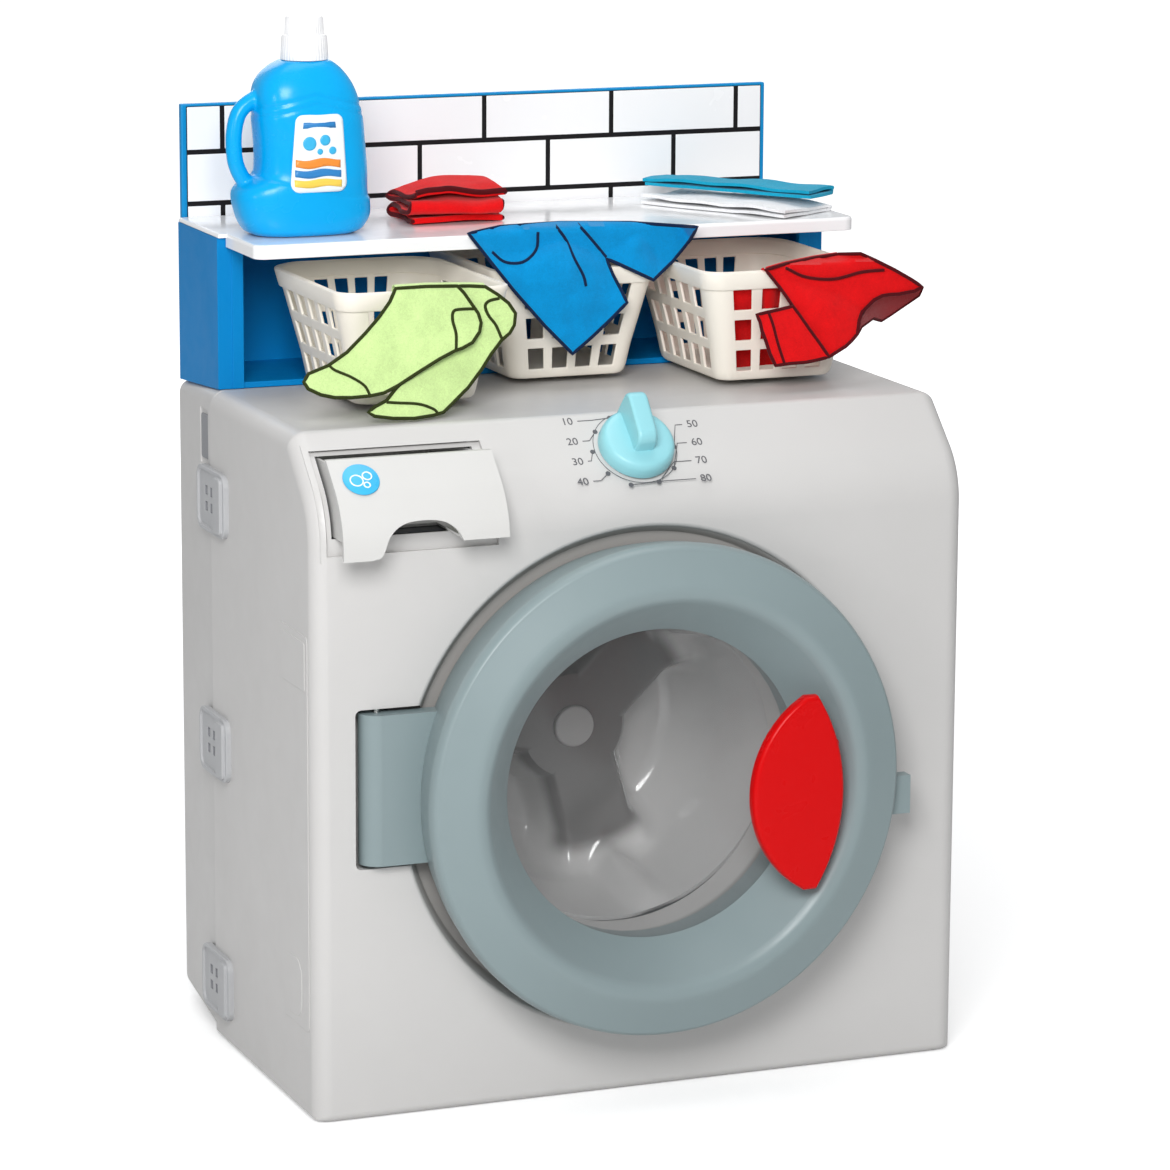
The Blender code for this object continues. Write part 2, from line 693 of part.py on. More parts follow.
def front_shell():
    shell = case_block("front_shell", 0.0, SEAM_Y, CASE_GREY)
    cut(shell, case_block("front_shell_inside", WALL, SEAM_Y + OVERRUN, CASE_GREY))
    axis = along_y(0, DOOR_Z)
    floor_y = FRONT_Y + DISH_DEPTH
    collar_end = floor_y + COLLAR_LENGTH
    dish_back = [
        (0, FRONT_Y + EMBED), (DISH_R + WALL, FRONT_Y + EMBED), (DISH_R + WALL, floor_y + WALL),
        (COLLAR_R + WALL, floor_y + WALL), (COLLAR_R + WALL, collar_end), (0, collar_end),
    ]
    join(shell, lathe("dish_back", dish_back, axis, 56, CASE_GREY))
    pocket_x0 = HINGE_X - KNUCKLE_R - POCKET_CLEAR_X
    pocket_x1 = HINGE_X + POCKET_REACH
    pocket_y1 = HINGE_Y + HINGE_BLOCK_BACK + POCKET_CLEAR_BACK
    pocket_half = KNUCKLE_H / 2 + POCKET_CLEAR_Z
    back_low = (pocket_x0 - POCKET_WALL, FRONT_Y + EMBED, HINGE_Z - pocket_half - POCKET_WALL)
    back_high = (pocket_x1 + POCKET_WALL, pocket_y1 + WALL, HINGE_Z + pocket_half + POCKET_WALL)
    join(shell, box("pocket_back", back_low, back_high))
    dish_cut = [
        (0, FRONT_Y - OVERRUN), (DISH_R + OVERRUN / 2, FRONT_Y - OVERRUN), (DISH_R, FRONT_Y),
        (DISH_FLOOR_R, floor_y), (COLLAR_R, floor_y), (COLLAR_R, collar_end + OVERRUN),
        (0, collar_end + OVERRUN),
    ]
    cut(shell, lathe("dish_cut", dish_cut, axis, 56, CASE_GREY))
    low = (pocket_x0, FRONT_Y - OVERRUN, HINGE_Z - pocket_half)
    high = (pocket_x1, pocket_y1, HINGE_Z + pocket_half)
    cut(shell, box("pocket_cut", low, high))
    pin_reach = pocket_half + POCKET_WALL + OVERRUN
    pin_place = along_z(HINGE_X, HINGE_Y)
    pin_low, pin_high = HINGE_Z - pin_reach, HINGE_Z + pin_reach
    cut(shell, rod("pin_bore", pin_place, PIN_R + GAP, pin_low, pin_high, 12, CASE_GREY))
    catch_low = (CATCH_R - CATCH_W / 2 - GAP, floor_y - OVERRUN, DOOR_Z - CATCH_H / 2 - GAP)
    catch_high = (CATCH_R + CATCH_W / 2 + GAP, floor_y + WALL + OVERRUN, DOOR_Z + CATCH_H / 2 + GAP)
    slot_low = (SLOT_X0, FRONT_Y - OVERRUN, SLOT_Z0)
    slot_high = (SLOT_X1, PANEL_TOP_Y, SLOT_Z1)
    holes = [(catch_low, catch_high), (slot_low, slot_high)]
    cut(shell, boxes("shell_slots", holes + clip_legs(-1, GAP) + clip_legs(1, GAP)))
    knob_hole = rod("knob_bore", knob_place(), SHAFT_R + GAP, -WALL - OVERRUN, OVERRUN, 16, CASE_GREY)
    cut(shell, knob_hole)
    return shell


def knob_place():
    """The knob's frame: origin on the panel, z along its normal, y up the slope."""
    rotate = Matrix((
        (1, 0, 0, 0),
        (0, PANEL_UP.y, PANEL_NORMAL.y, 0),
        (0, PANEL_UP.z, PANEL_NORMAL.z, 0),
        (0, 0, 0, 1),
    ))
    z = CASE_H - (PANEL_TOP_Y - KNOB_Y) * math.tan(PANEL_TILT)
    return Matrix.Translation((KNOB_X, KNOB_Y, z)) @ rotate


def rear_shell():
    last = BACK_Y - REAR_EDGE_R
    rings = [rear_ring(SEAM_Y + GAP, 0.0, REAR_EDGE_R)]
    for i in range(4):
        a = math.pi / 2 * i / 3
        inset = REAR_EDGE_R * (1 - math.cos(a)) / 2
        radius = REAR_EDGE_R - inset
        rings.append(rear_ring(last + REAR_EDGE_R * math.sin(a), inset, radius))
    shell = loft("rear_shell", rings, CASE_GREY)
    hollow = [
        rear_ring(SEAM_Y - OVERRUN, WALL, REAR_EDGE_R - WALL),
        rear_ring(BACK_Y - WALL, WALL, REAR_EDGE_R - WALL),
    ]
    cut(shell, loft("rear_shell_inside", hollow, CASE_GREY))
    tongue_rings = []
    start, end = SEAM_Y - LIP_LENGTH, SEAM_Y + LIP_LENGTH / 2
    half_w = CASE_W / 2 - WALL - GAP
    low, high = WALL + GAP, CASE_H - WALL - GAP
    radius = SIDE_R - WALL
    for y in (start, end):
        outline = rounded_rectangle(-half_w, half_w, low, high, radius, 3)
        tongue_rings.append([(x, y, z) for x, z in outline])
    tongue = loft("lip_outer", tongue_rings, CASE_GREY)
    inner_rings = []
    for y in (start - OVERRUN, end + OVERRUN):
        outline = rounded_rectangle(
            LIP_WALL - half_w, half_w - LIP_WALL, low + LIP_WALL, high - LIP_WALL, radius - LIP_WALL, 3
        )
        inner_rings.append([(x, y, z) for x, z in outline])
    cut(tongue, loft("lip_inner", inner_rings, CASE_GREY))
    join(shell, tongue)
    boss_place = along_y(0, DRUM_Z)
    boss_start = BACK_Y - WALL - AXLE_BOSS_LENGTH
    join(shell, rod("axle_boss", boss_place, AXLE_BOSS_R, boss_start, BACK_Y - WALL / 2, 20, CASE_GREY))
    bore_end = BACK_Y - WALL - GAP
    cut(shell, rod("boss_bore", boss_place, AXLE_R + GAP, boss_start - OVERRUN, bore_end, 12, CASE_GREY))
    cut(shell, boxes("rear_clip_slots", clip_legs(-1, GAP) + clip_legs(1, GAP)))
    cover_low, cover_high = cover_box(GAP)
    cut(shell, box("rear_cover_step", cover_low, (cover_high[0], BACK_Y + OVERRUN, cover_high[2])))
    window_low, window_high = cover_box(-COVER_LEDGE)
    cut(shell, box("rear_cover_window", (window_low[0], BACK_Y - WALL - OVERRUN, window_low[2]), window_high))
    cut(shell, boxes("rear_leg_slots", [leg_box(side * UNIT_SCREW_X, GAP) for side in (-1, 1)]))
    return shell


def leg_box(x, clear):
    """A leg of the shelf unit, which plugs into the rear shell's top."""
    low = (x - LEG_HALF_W - clear, LEG_Y - LEG_T / 2 - clear, CASE_H - REAR_TOP_DROP - LEG_DEPTH - clear)
    high = (x + LEG_HALF_W + clear, LEG_Y + LEG_T / 2 + clear, UNIT_FLOOR_Z - EMBED)
    return low, high


def battery_room():
    """Half sizes of the space that the two cells fill."""
    half_x = BATTERY_L / 2 + BATTERY_ROOM
    half_z = BATTERY_PITCH / 2 + BATTERY_R + BATTERY_ROOM
    return half_x, half_z


def cover_box(grow):
    """The battery cover's plate, let into the back of the rear shell."""
    half_x, half_z = battery_room()
    half_x += COVER_LEDGE + grow
    half_z += COVER_LEDGE + grow
    low = (BATTERY_X - half_x, BACK_Y - COVER_T, BATTERY_Z - half_z)
    high = (BATTERY_X + half_x, BACK_Y, BATTERY_Z + half_z)
    return low, high


def side_clips():
    for number, side in enumerate((-1, 1)):
        for row, z in enumerate(CLIP_Z_LIST):
            name = "side_clip_%s_%d" % (("left", "right")[number], row + 1)
            outline = rounded_rectangle(
                CLIP_FRONT_Y, CLIP_BACK_Y, z - CLIP_H / 2, z + CLIP_H / 2, CLIP_ROUND, 3
            )
            face = CASE_W / 2 + GAP
            low, high = sorted((side * face, side * (face + CLIP_T)))
            clip = prism(name, outline, "X", low, high, CLIP_GREY)
            join(clip, boxes(name + "_legs", clip_legs(side, 0.0)[2 * row:2 * row + 1]))
            join(clip, boxes(name + "_leg", clip_legs(side, 0.0)[2 * row + 1:2 * row + 2]))


def drum_profile(angle):
    """The drum's closed section at one angle: web, pockets, wall, back and hub."""
    offset = min(abs(math.remainder(angle - arm, math.tau)) for arm in DRUM_ARM_ANGLES)

    def floor_y(radius):
        aside = radius * math.sin(offset) if offset < math.pi / 2 else radius
        outside = min(aside - DRUM_ARM_HALF, radius - DRUM_WEB_R) if radius > DRUM_WEB_R else 0.0
        share = min(max(outside / DRUM_ARM_BLEND, 0.0), 1.0)
        smooth = share * share * (3 - 2 * share)
        return DRUM_WEB_Y + (DRUM_POCKET_Y - DRUM_WEB_Y) * smooth

    lift_share = max(0.0, 1 - offset / LIFTER_HALF_ANGLE)
    lift = LIFTER_HEIGHT * math.sin(lift_share * math.pi / 2) ** 2
    edge_y = floor_y(DRUM_FLOOR_R)
    front = [(HUB_RECESS_R + EMBED, DRUM_WEB_Y)]
    for share in DRUM_FLOOR_SHARES:
        radius = DRUM_FLOOR_R * share
        front.append((radius, floor_y(radius)))
    bend_r, bend_y = DRUM_BACK_R - DRUM_FLOOR_R, edge_y - DRUM_WALL_START_Y
    for a in (math.pi / 6, math.pi / 3, math.pi / 2):
        radius = DRUM_FLOOR_R + bend_r * math.sin(a) - lift * math.sin(a)
        front.append((radius, edge_y - bend_y * (1 - math.cos(a))))
    start_y = front[-1][1]
    for share in DRUM_WALL_SHARES:
        y = start_y + (DRUM_MOUTH_Y - start_y) * share
        radius = DRUM_BACK_R + (DRUM_MOUTH_R - DRUM_BACK_R) * share
        front.append((radius - lift * (1 - share) ** 0.5, y))
    back = []
    count = len(front)
    for i in range(count - 1, 0, -1):
        before, here = front[i - 1], front[i]
        after = front[min(i + 1, count - 1)]
        along = Vector((after[0] - before[0], after[1] - before[1])).normalized()
        back.append((here[0] - along.y * DRUM_WALL, here[1] + along.x * DRUM_WALL))
    sleeve_end = DRUM_WEB_Y + HUB_SLEEVE_LENGTH
    hub = [
        (HUB_SLEEVE_R, DRUM_WEB_Y + DRUM_WALL + HUB_RECESS_D), (HUB_SLEEVE_R, sleeve_end),
        (AXLE_R + GAP, sleeve_end), (AXLE_R + GAP, DRUM_WEB_Y + HUB_RECESS_D),
        (HUB_RECESS_R, DRUM_WEB_Y + HUB_RECESS_D), (HUB_RECESS_R, DRUM_WEB_Y),
    ]
    return front[1:] + back + hub


def drum_parts():
    place = along_y(0, DRUM_Z)
    lathe("drum", drum_profile, place, 48, DRUM_GREY, 50)
    recess_floor = DRUM_WEB_Y + HUB_RECESS_D
    rod("drum_axle", place, AXLE_R, recess_floor - GAP, BACK_Y - WALL - 2 * GAP, 16, STEEL)
    washer_front = recess_floor - GAP - WASHER_T
    screw = [
        (0, washer_front - GAP - SCREW_HEAD_T), (AXLE_SCREW_HEAD_R, washer_front - GAP - SCREW_HEAD_T),
        (AXLE_SCREW_HEAD_R, washer_front - GAP), (SCREW_R + GAP, washer_front - GAP),
        (SCREW_R + GAP, recess_floor - 2 * GAP), (0, recess_floor - 2 * GAP),
    ]
    lathe("axle_screw", screw, place, 12, STEEL)
    ring_inner = SCREW_R + 2 * GAP
    washer("axle_washer", place, ring_inner, WASHER_R, washer_front, recess_floor - 2 * GAP, 16, STEEL)
    cap_back = DRUM_WEB_Y - GAP
    cap_front = cap_back - HUB_CAP_T
    spigot_end = DRUM_WEB_Y + HUB_RECESS_D / 4
    spigot_r = HUB_RECESS_R - GAP
    cap = [
        (0, cap_front), (HUB_CAP_R * HUB_CAP_FACE_SHARE, cap_front), (HUB_CAP_R, cap_front + HUB_CAP_T / 2),
        (HUB_CAP_R, cap_back), (spigot_r, cap_back), (spigot_r, spigot_end),
        (spigot_r - HUB_CAP_WALL, spigot_end), (spigot_r - HUB_CAP_WALL, cap_back), (0, cap_back),
    ]
    lathe("hub_cap", cap, place, 20, DRUM_GREY)


def ring_front():
    """The door ring's visible section, from its back edge round to the window."""
    outer = [(RING_BACK_R, RING_BACK_Y), (RING_MIDDLE_R, (RING_BACK_Y + RING_WIDE_Y) / 2)]
    steps = 3
    for i in range(steps + 1):
        a = math.pi / 2 * i / steps
        radius = RING_SHOULDER_R + (RING_R - RING_SHOULDER_R) * math.cos(a)
        outer.append((radius, RING_WIDE_Y + (RING_SHOULDER_Y - RING_WIDE_Y) * math.sin(a)))
    outer.append((RING_CREST_R + RING_BEND, RING_CREST_Y))
    outer.append((RING_CREST_R - RING_BEND, RING_CREST_Y + RING_BEND_DROP))
    outer.append((RING_ROLL_R, RING_ROLL_Y))
    outer.append((RING_INNER_R, RING_INNER_END_Y))
    return outer


def ring_hollow():
    """The channel behind the door ring's face, open at the back."""
    path = ring_front()
    behind = RING_BACK_Y + OVERRUN
    inner = [(RING_BACK_R - RING_WALL, behind), (RING_BACK_R - RING_WALL, RING_BACK_Y)]
    for i in range(1, len(path) - 1):
        before, here, after = path[i - 1], path[i], path[i + 1]
        along = Vector((after[0] - before[0], after[1] - before[1])).normalized()
        inner.append((here[0] + along.y * RING_WALL, here[1] - along.x * RING_WALL))
    end, last = path[-1], path[-2]
    along = Vector((end[0] - last[0], end[1] - last[1])).normalized()
    inner.append((end[0] + RING_WALL / along.y, end[1]))
    inner += [(RING_INNER_R - OVERRUN, RING_INNER_END_Y), (RING_INNER_R - OVERRUN, behind)]
    return inner


def door_parts():
    place = along_y(0, DOOR_Z)
    solid_section = ring_front() + [(RING_INNER_R, RING_BACK_Y)]
    ring = lathe("door_ring", solid_section, place, 48, RING_BLUE_GREY, 40)
    face_y = HINGE_Y - HINGE_BLOCK_FACE
    knuckle = []
    for i in range(9):
        a = math.pi / 2 + math.pi * i / 8
        knuckle.append((HINGE_X + KNUCKLE_R * math.cos(a), HINGE_Y + KNUCKLE_R * math.sin(a)))
    block_end = RING_WALL - math.sqrt(RING_BACK_R ** 2 - (KNUCKLE_H / 2 + HINGE_Z - DOOR_Z) ** 2)
    arm_back = RING_BACK_Y - EMBED
    outline = [(HINGE_X + KNUCKLE_R, arm_back)] + knuckle[:-1]
    outline += [(HINGE_X, face_y), (block_end, face_y), (block_end, arm_back)]
    low_z, high_z = HINGE_Z - KNUCKLE_H / 2, HINGE_Z + KNUCKLE_H / 2
    join(ring, prism("hinge_block", outline, "Z", low_z, high_z, RING_BLUE_GREY))
    tab_low = (RING_R - RING_WALL, RING_WIDE_Y, TAB_Z - TAB_H / 2)
    tab_high = (RING_R + TAB_W, RING_WIDE_Y + TAB_T, TAB_Z + TAB_H / 2)
    join(ring, box("pull_tab", tab_low, tab_high, RING_BLUE_GREY))
    hollow = lathe("ring_hollow", ring_hollow(), place, 48, RING_BLUE_GREY)
    for z in handle_screw_heights():
        boss_place = along_y(HANDLE_SCREW_X, z)
        boss = rod("screw_boss", boss_place, HANDLE_BOSS_R, RING_CREST_Y, HANDLE_SEAT_Y, 12, RING_BLUE_GREY)
        cut(hollow, boss)
    cut(ring, hollow)
    pin_place = along_z(HINGE_X, HINGE_Y)
    for name, start, end in (
        ("upper_bore", high_z - PIN_GRIP, high_z + OVERRUN),
        ("lower_bore", low_z - OVERRUN, low_z + PIN_GRIP),
    ):
        cut(ring, rod(name, pin_place, PIN_R + GAP, start - GAP, end + GAP, 12, RING_BLUE_GREY))
    for z in handle_screw_heights():
        bore_place = along_y(HANDLE_SCREW_X, z)
        bore_end = HANDLE_SEAT_Y + OVERRUN
        cut(ring, rod("ring_screw_bore", bore_place, SCREW_R + GAP, RING_CREST_Y, bore_end, 8, STEEL))
    reach = KNUCKLE_H / 2 + POCKET_CLEAR_Z + POCKET_WALL
    for name, side in (("hinge_pin_upper", 1), ("hinge_pin_lower", -1)):
        low, high = sorted((HINGE_Z + side * (KNUCKLE_H / 2 - PIN_GRIP), HINGE_Z + side * reach))
        rod(name, pin_place, PIN_R, low, high, 12, STEEL)
    sleeve_front = RING_INNER_END_Y + WINDOW_T + 2 * GAP
    plate_front = RING_BACK_Y - BACK_RING_T
    outer_r = RING_BACK_R - RING_WALL - GAP
    back_ring = [
        (BACK_RING_LIP_R, sleeve_front), (WINDOW_FLANGE_R, sleeve_front), (WINDOW_FLANGE_R, plate_front),
        (outer_r, plate_front), (outer_r, RING_BACK_Y), (BACK_RING_LIP_R, RING_BACK_Y),
    ]
    lathe("door_back_ring", back_ring, place, 48, RING_BLUE_GREY)
    flange_front = RING_INNER_END_Y + GAP
    dome_r = RING_INNER_R - GAP
    front_face = [(WINDOW_FLANGE_R, flange_front), (dome_r, flange_front)]
    back_face = []
    for share in WINDOW_RING_SHARES:
        rise = WINDOW_DOME * (1 - share * share)
        front_face.append((dome_r * share, flange_front - rise))
        back_face.append((dome_r * share, flange_front - rise + WINDOW_T))
    back_face = list(reversed(back_face))
    window = front_face + back_face + [(WINDOW_FLANGE_R, flange_front + WINDOW_T)]
    lathe("door_window", window, place, 40, CLEAR)
    handle(place)


def handle_screw_heights():
    half = HANDLE_SCREW_SPACING / 2
    return (HANDLE_Z - half, HANDLE_Z + half)


def arc_between(start, end, bulge, steps):
    """Points of an arc over a vertical chord, pushed sideways by bulge."""
    chord = end[1] - start[1]
    radius = (chord * chord / 4 + bulge * bulge) / (2 * abs(bulge))
    arc = []
    for i in range(1, steps):
        t = 2.0 * i / steps - 1
        rise = math.sqrt(radius ** 2 - (t * chord / 2) ** 2) - (radius - abs(bulge))
        arc.append((start[0] + math.copysign(rise, bulge), start[1] + chord * i / steps))
    return arc


def handle(place):
    """The lens-shaped pull, on a foot that follows the ring's slope."""
    low, high = HANDLE_Z - HANDLE_HALF_H, HANDLE_Z + HANDLE_HALF_H
    left, right = HANDLE_LEFT_X, HANDLE_RIGHT_X
    outline = [(left, low), (right, low)]
    outline += arc_between((right, low), (right, high), HANDLE_RIGHT_BULGE, 8)
    outline += [(right, high), (left, high)]
    outline += arc_between((left, high), (left, low), -HANDLE_LEFT_BULGE, 10)
    back = HANDLE_BACK_Y
    front = back - HANDLE_T
    centre = Vector((sum(p[0] for p in outline) / len(outline), HANDLE_Z))
    rings = []
    for share, y in ((1.0, back), (1.0, front + HANDLE_T / 3), (HANDLE_FACE_SHARE, front)):
        scaled = [centre + (Vector(point) - centre) * share for point in outline]
        rings.append([(point.x, y, point.y) for point in scaled])
    grip = loft("door_handle", rings, HANDLE_RED)
    foot_low = (HANDLE_FOOT_X - HANDLE_FOOT_W / 2, back - EMBED, HANDLE_Z - HANDLE_FOOT_HALF_H)
    foot_high = (HANDLE_FOOT_X + HANDLE_FOOT_W / 2, RING_INNER_END_Y, HANDLE_Z + HANDLE_FOOT_HALF_H)
    join(grip, box("handle_foot", foot_low, foot_high, HANDLE_RED))
    clear = [(radius, y - 2 * GAP) for radius, y in ring_front()[-3:]]
    hole_r = RING_INNER_R - OVERRUN
    clear = [(RING_CREST_R, RING_BACK_Y)] + clear + [(hole_r, clear[-1][1]), (hole_r, RING_BACK_Y)]
    cut(grip, lathe("ring_clearance", clear, place, 48, HANDLE_RED))
    for name, z in zip(("lower", "upper"), handle_screw_heights()):
        screw_place = along_y(HANDLE_SCREW_X, z)
        bore_front = front + HANDLE_T / 2
        bore = rod("handle_bore", screw_place, SCREW_R + GAP, bore_front - GAP, RING_INNER_END_Y, 8, STEEL)
        cut(grip, bore)
        seat = HANDLE_SEAT_Y + GAP
        screw = [
            (0, bore_front), (SCREW_R, bore_front), (SCREW_R, seat), (SCREW_HEAD_R, seat),
            (SCREW_HEAD_R, seat + SCREW_HEAD_T), (0, seat + SCREW_HEAD_T),
        ]
        lathe("handle_screw_" + name, screw, screw_place, 8, STEEL)


def knob_parts():
    place = knob_place()
    disc = [
        (0, GAP), (KNOB_R, GAP), (KNOB_R, KNOB_RIM_H), (KNOB_TOP_R, KNOB_DISC_H), (0, KNOB_DISC_H),
    ]
    knob = lathe("knob", disc, place, 32, KNOB_AQUA, 30)
    ridge = [
        (-KNOB_RIDGE_TAIL, KNOB_DISC_H - KNOB_RIDGE_SINK), (KNOB_RIDGE_NOSE, KNOB_DISC_H / 3),
        (KNOB_RIDGE_NOSE, KNOB_RIDGE_H - KNOB_RIM_H), (KNOB_RIDGE_NOSE - KNOB_RIM_H, KNOB_RIDGE_H),
        (-KNOB_RIDGE_TAIL / 2, KNOB_RIDGE_H), (-KNOB_RIDGE_TAIL, KNOB_RIDGE_H - KNOB_RIDGE_TAIL_DROP),
    ]
    rings = []
    for x, share in KNOB_RIDGE_SHARES:
        ring = []
        for v, h in ridge:
            level = h if h < KNOB_DISC_H else h * share
            ring.append(place @ Vector((x * KNOB_RIDGE_HALF, v * share, level)))
        rings.append(ring)
    join(knob, loft("knob_ridge", rings, KNOB_AQUA))
    cut(knob, rod("knob_socket", place, SHAFT_R + GAP, -OVERRUN, SHAFT_IN_KNOB + GAP, 16, KNOB_AQUA))
    wheel_top = -WHEEL_DEPTH
    wheel_low = wheel_top - WHEEL_T

    def shaft_profile(angle):
        tooth = WHEEL_R - WHEEL_TOOTH * abs(math.cos(angle * WHEEL_TEETH / 2))
        return [
            (0, -SHAFT_BELOW), (SHAFT_R, -SHAFT_BELOW), (SHAFT_R, wheel_low), (tooth, wheel_low),
            (tooth, wheel_top), (SHAFT_R, wheel_top), (SHAFT_R, SHAFT_IN_KNOB), (0, SHAFT_IN_KNOB),
        ]

    lathe("knob_shaft", shaft_profile, place, WHEEL_TEETH * 2, DARK_GREY)
    clip_top = -WALL - GAP
    clip_low = clip_top - CLIP_RING_T
    washer("knob_retaining_clip", place, SHAFT_R + GAP, CLIP_RING_R, clip_low, clip_top, 16, STEEL)
    half = SWITCH_W / 2
    floor_top = -SHAFT_BELOW + SWITCH_FLOOR_T - GAP
    switch_low = floor_top - SWITCH_FLOOR_T
    deep = half * SWITCH_DEPTH_SHARE
    side, rim = half - SWITCH_SIDE_T, -WALL - GAP
    outline = [
        (-half, switch_low), (half, switch_low), (half, rim), (side, rim), (side, floor_top),
        (-side, floor_top), (-side, rim), (-half, rim),
    ]
    rings = [[place @ Vector((u, v, h)) for u, h in outline] for v in (-deep, deep)]
    switch = loft("rotary_switch", rings, DARK_GREY)
    cut(switch, rod("switch_bore", place, SHAFT_R + GAP, -SHAFT_BELOW - GAP, OVERRUN, 16, DARK_GREY))
    wheel_mid = wheel_top - WHEEL_T / 2
    tip = WHEEL_R + GAP
    wall_u = half - SWITCH_SIDE_T - GAP
    reach = SPRING_LENGTH / 2
    bend, near_tip = reach * SPRING_BEND_SHARE, reach * SPRING_TIP_SHARE
    middle = [
        (wall_u, -reach), (wall_u - SPRING_T, -bend), (tip + SPRING_TIP_RISE, -near_tip), (tip, 0),
        (tip + SPRING_TIP_RISE, near_tip), (wall_u - SPRING_T, bend), (wall_u, reach),
    ]
    outer = [(u + SPRING_T, v) for u, v in middle[1:-1]]
    outer = [middle[0]] + [(min(u, wall_u), v) for u, v in outer] + [middle[-1]]
    spring = middle + list(reversed(outer[1:-1]))
    rings = []
    for h in (wheel_mid - SPRING_H / 2, wheel_mid + SPRING_H / 2):
        rings.append([place @ Vector((u, v, h)) for u, v in spring])
    loft("click_spring", rings, STEEL)


def drawer_front_path(inset, low, high, steps):
    points = []
    for i in range(steps + 1):
        z = low + (high - low) * i / steps
        points.append((panel_front_y(z, inset) - DRAWER_OUT, z))
    return points


def drawer_parts():
    x0, x1 = SLOT_X0 + DRAWER_SIDE_CLEAR, SLOT_X1 - DRAWER_SIDE_CLEAR
    low, high = SLOT_Z0 + DRAWER_EDGE_CLEAR, SLOT_Z1 - DRAWER_EDGE_CLEAR
    outside = drawer_front_path(0.0, low, high, 9)
    inside = drawer_front_path(DRAWER_FRONT_T, low, high, 9)
    front = prism("drawer_front", outside + list(reversed(inside)), "X", x0, x1, DRAWER_GREY)
    far_y = FRONT_Y - DRAWER_OUT - OVERRUN
    near_y = PANEL_TOP_Y
    step_box = (
        ((NOTCH_X0 + NOTCH_X1) / 2, far_y, low - OVERRUN), (x1 + OVERRUN, near_y, low + DRAWER_STEP_UP),
    )
    cut(front, boxes("drawer_step", [step_box]))
    arch = [(NOTCH_X0 - NOTCH_SPREAD, low - OVERRUN), (NOTCH_X1 + NOTCH_SPREAD, low - OVERRUN)]
    mid, half = (NOTCH_X0 + NOTCH_X1) / 2, (NOTCH_X1 - NOTCH_X0) / 2
    arch_low = low + OVERRUN / 2
    for i in range(11):
        a = math.pi * i / 10
        x = mid + half * math.cos(a)
        rise = math.sin(a) ** NOTCH_ROUND_SHARE
        arch.append((x, arch_low + (NOTCH_TOP_Z - arch_low) * rise))
    cut(front, prism("finger_notch", arch, "Y", far_y, near_y, DRAWER_GREY))
    tray_x0, tray_x1 = x0 + TRAY_INSET, x1 - TRAY_INSET
    tray_low = low + DRAWER_STEP_UP + DRAWER_EDGE_CLEAR
    tray_high = high - TRAY_TOP_DROP
    face = drawer_front_path(DRAWER_FRONT_T + GAP, tray_low, tray_high, 7)
    outline = face + [(TRAY_BACK_Y, tray_high), (TRAY_BACK_Y, tray_low)]
    tray = prism("drawer_tray", outline, "X", tray_x0, tray_x1, DRAWER_GREY)
    hollow_low = tray_low + DRAWER_WALL
    face = drawer_front_path(DRAWER_FRONT_T + GAP + DRAWER_WALL, hollow_low, tray_high - EMBED, 7)
    top = tray_high + OVERRUN
    hollow_back = TRAY_BACK_Y - DRAWER_WALL
    outline = face + [(face[-1][0], top), (hollow_back, top), (hollow_back, hollow_low)]
    hollow = prism("tray_hollow", outline, "X", tray_x0 + DRAWER_WALL, tray_x1 - DRAWER_WALL, DRAWER_GREY)
    cut(tray, hollow)
    cut(tray, prism("tray_notch", arch, "Y", far_y, near_y - DRAWER_OUT, DRAWER_GREY))
    badge_y = panel_front_y(BADGE_Z, 0.0) - DRAWER_OUT
    rotate = knob_place().to_3x3().to_4x4()
    badge_place = Matrix.Translation((BADGE_X, badge_y, BADGE_Z)) @ rotate
    rod("drawer_badge", badge_place, BADGE_R, GAP, GAP + BADGE_T, 24, BOTTLE_BLUE)
    guide_x0, guide_x1 = tray_x0 - GUIDE_CLEAR, tray_x1 + GUIDE_CLEAR
    bay_low, bay_high = tray_low - 2 * GAP, SLOT_Z1
    guide_low, guide_high = bay_low - GUIDE_WALL, bay_high + GUIDE_WALL
    steps = 6
    outer_face = []
    for i in range(steps + 1):
        z = guide_low + (guide_high - guide_low) * i / steps
        outer_face.append((panel_front_y(z, WALL + GAP), z))
    outline = outer_face + [(GUIDE_BACK_Y, guide_high), (GUIDE_BACK_Y, guide_low)]
    runner = prism("drawer_guide", outline, "X", guide_x0 - GUIDE_WALL, guide_x1 + GUIDE_WALL, DARK_GREY)
    bay = box("guide_bay", (guide_x0, FRONT_Y, bay_low), (guide_x1, GUIDE_BACK_Y - GUIDE_WALL, bay_high))
    cut(runner, bay)


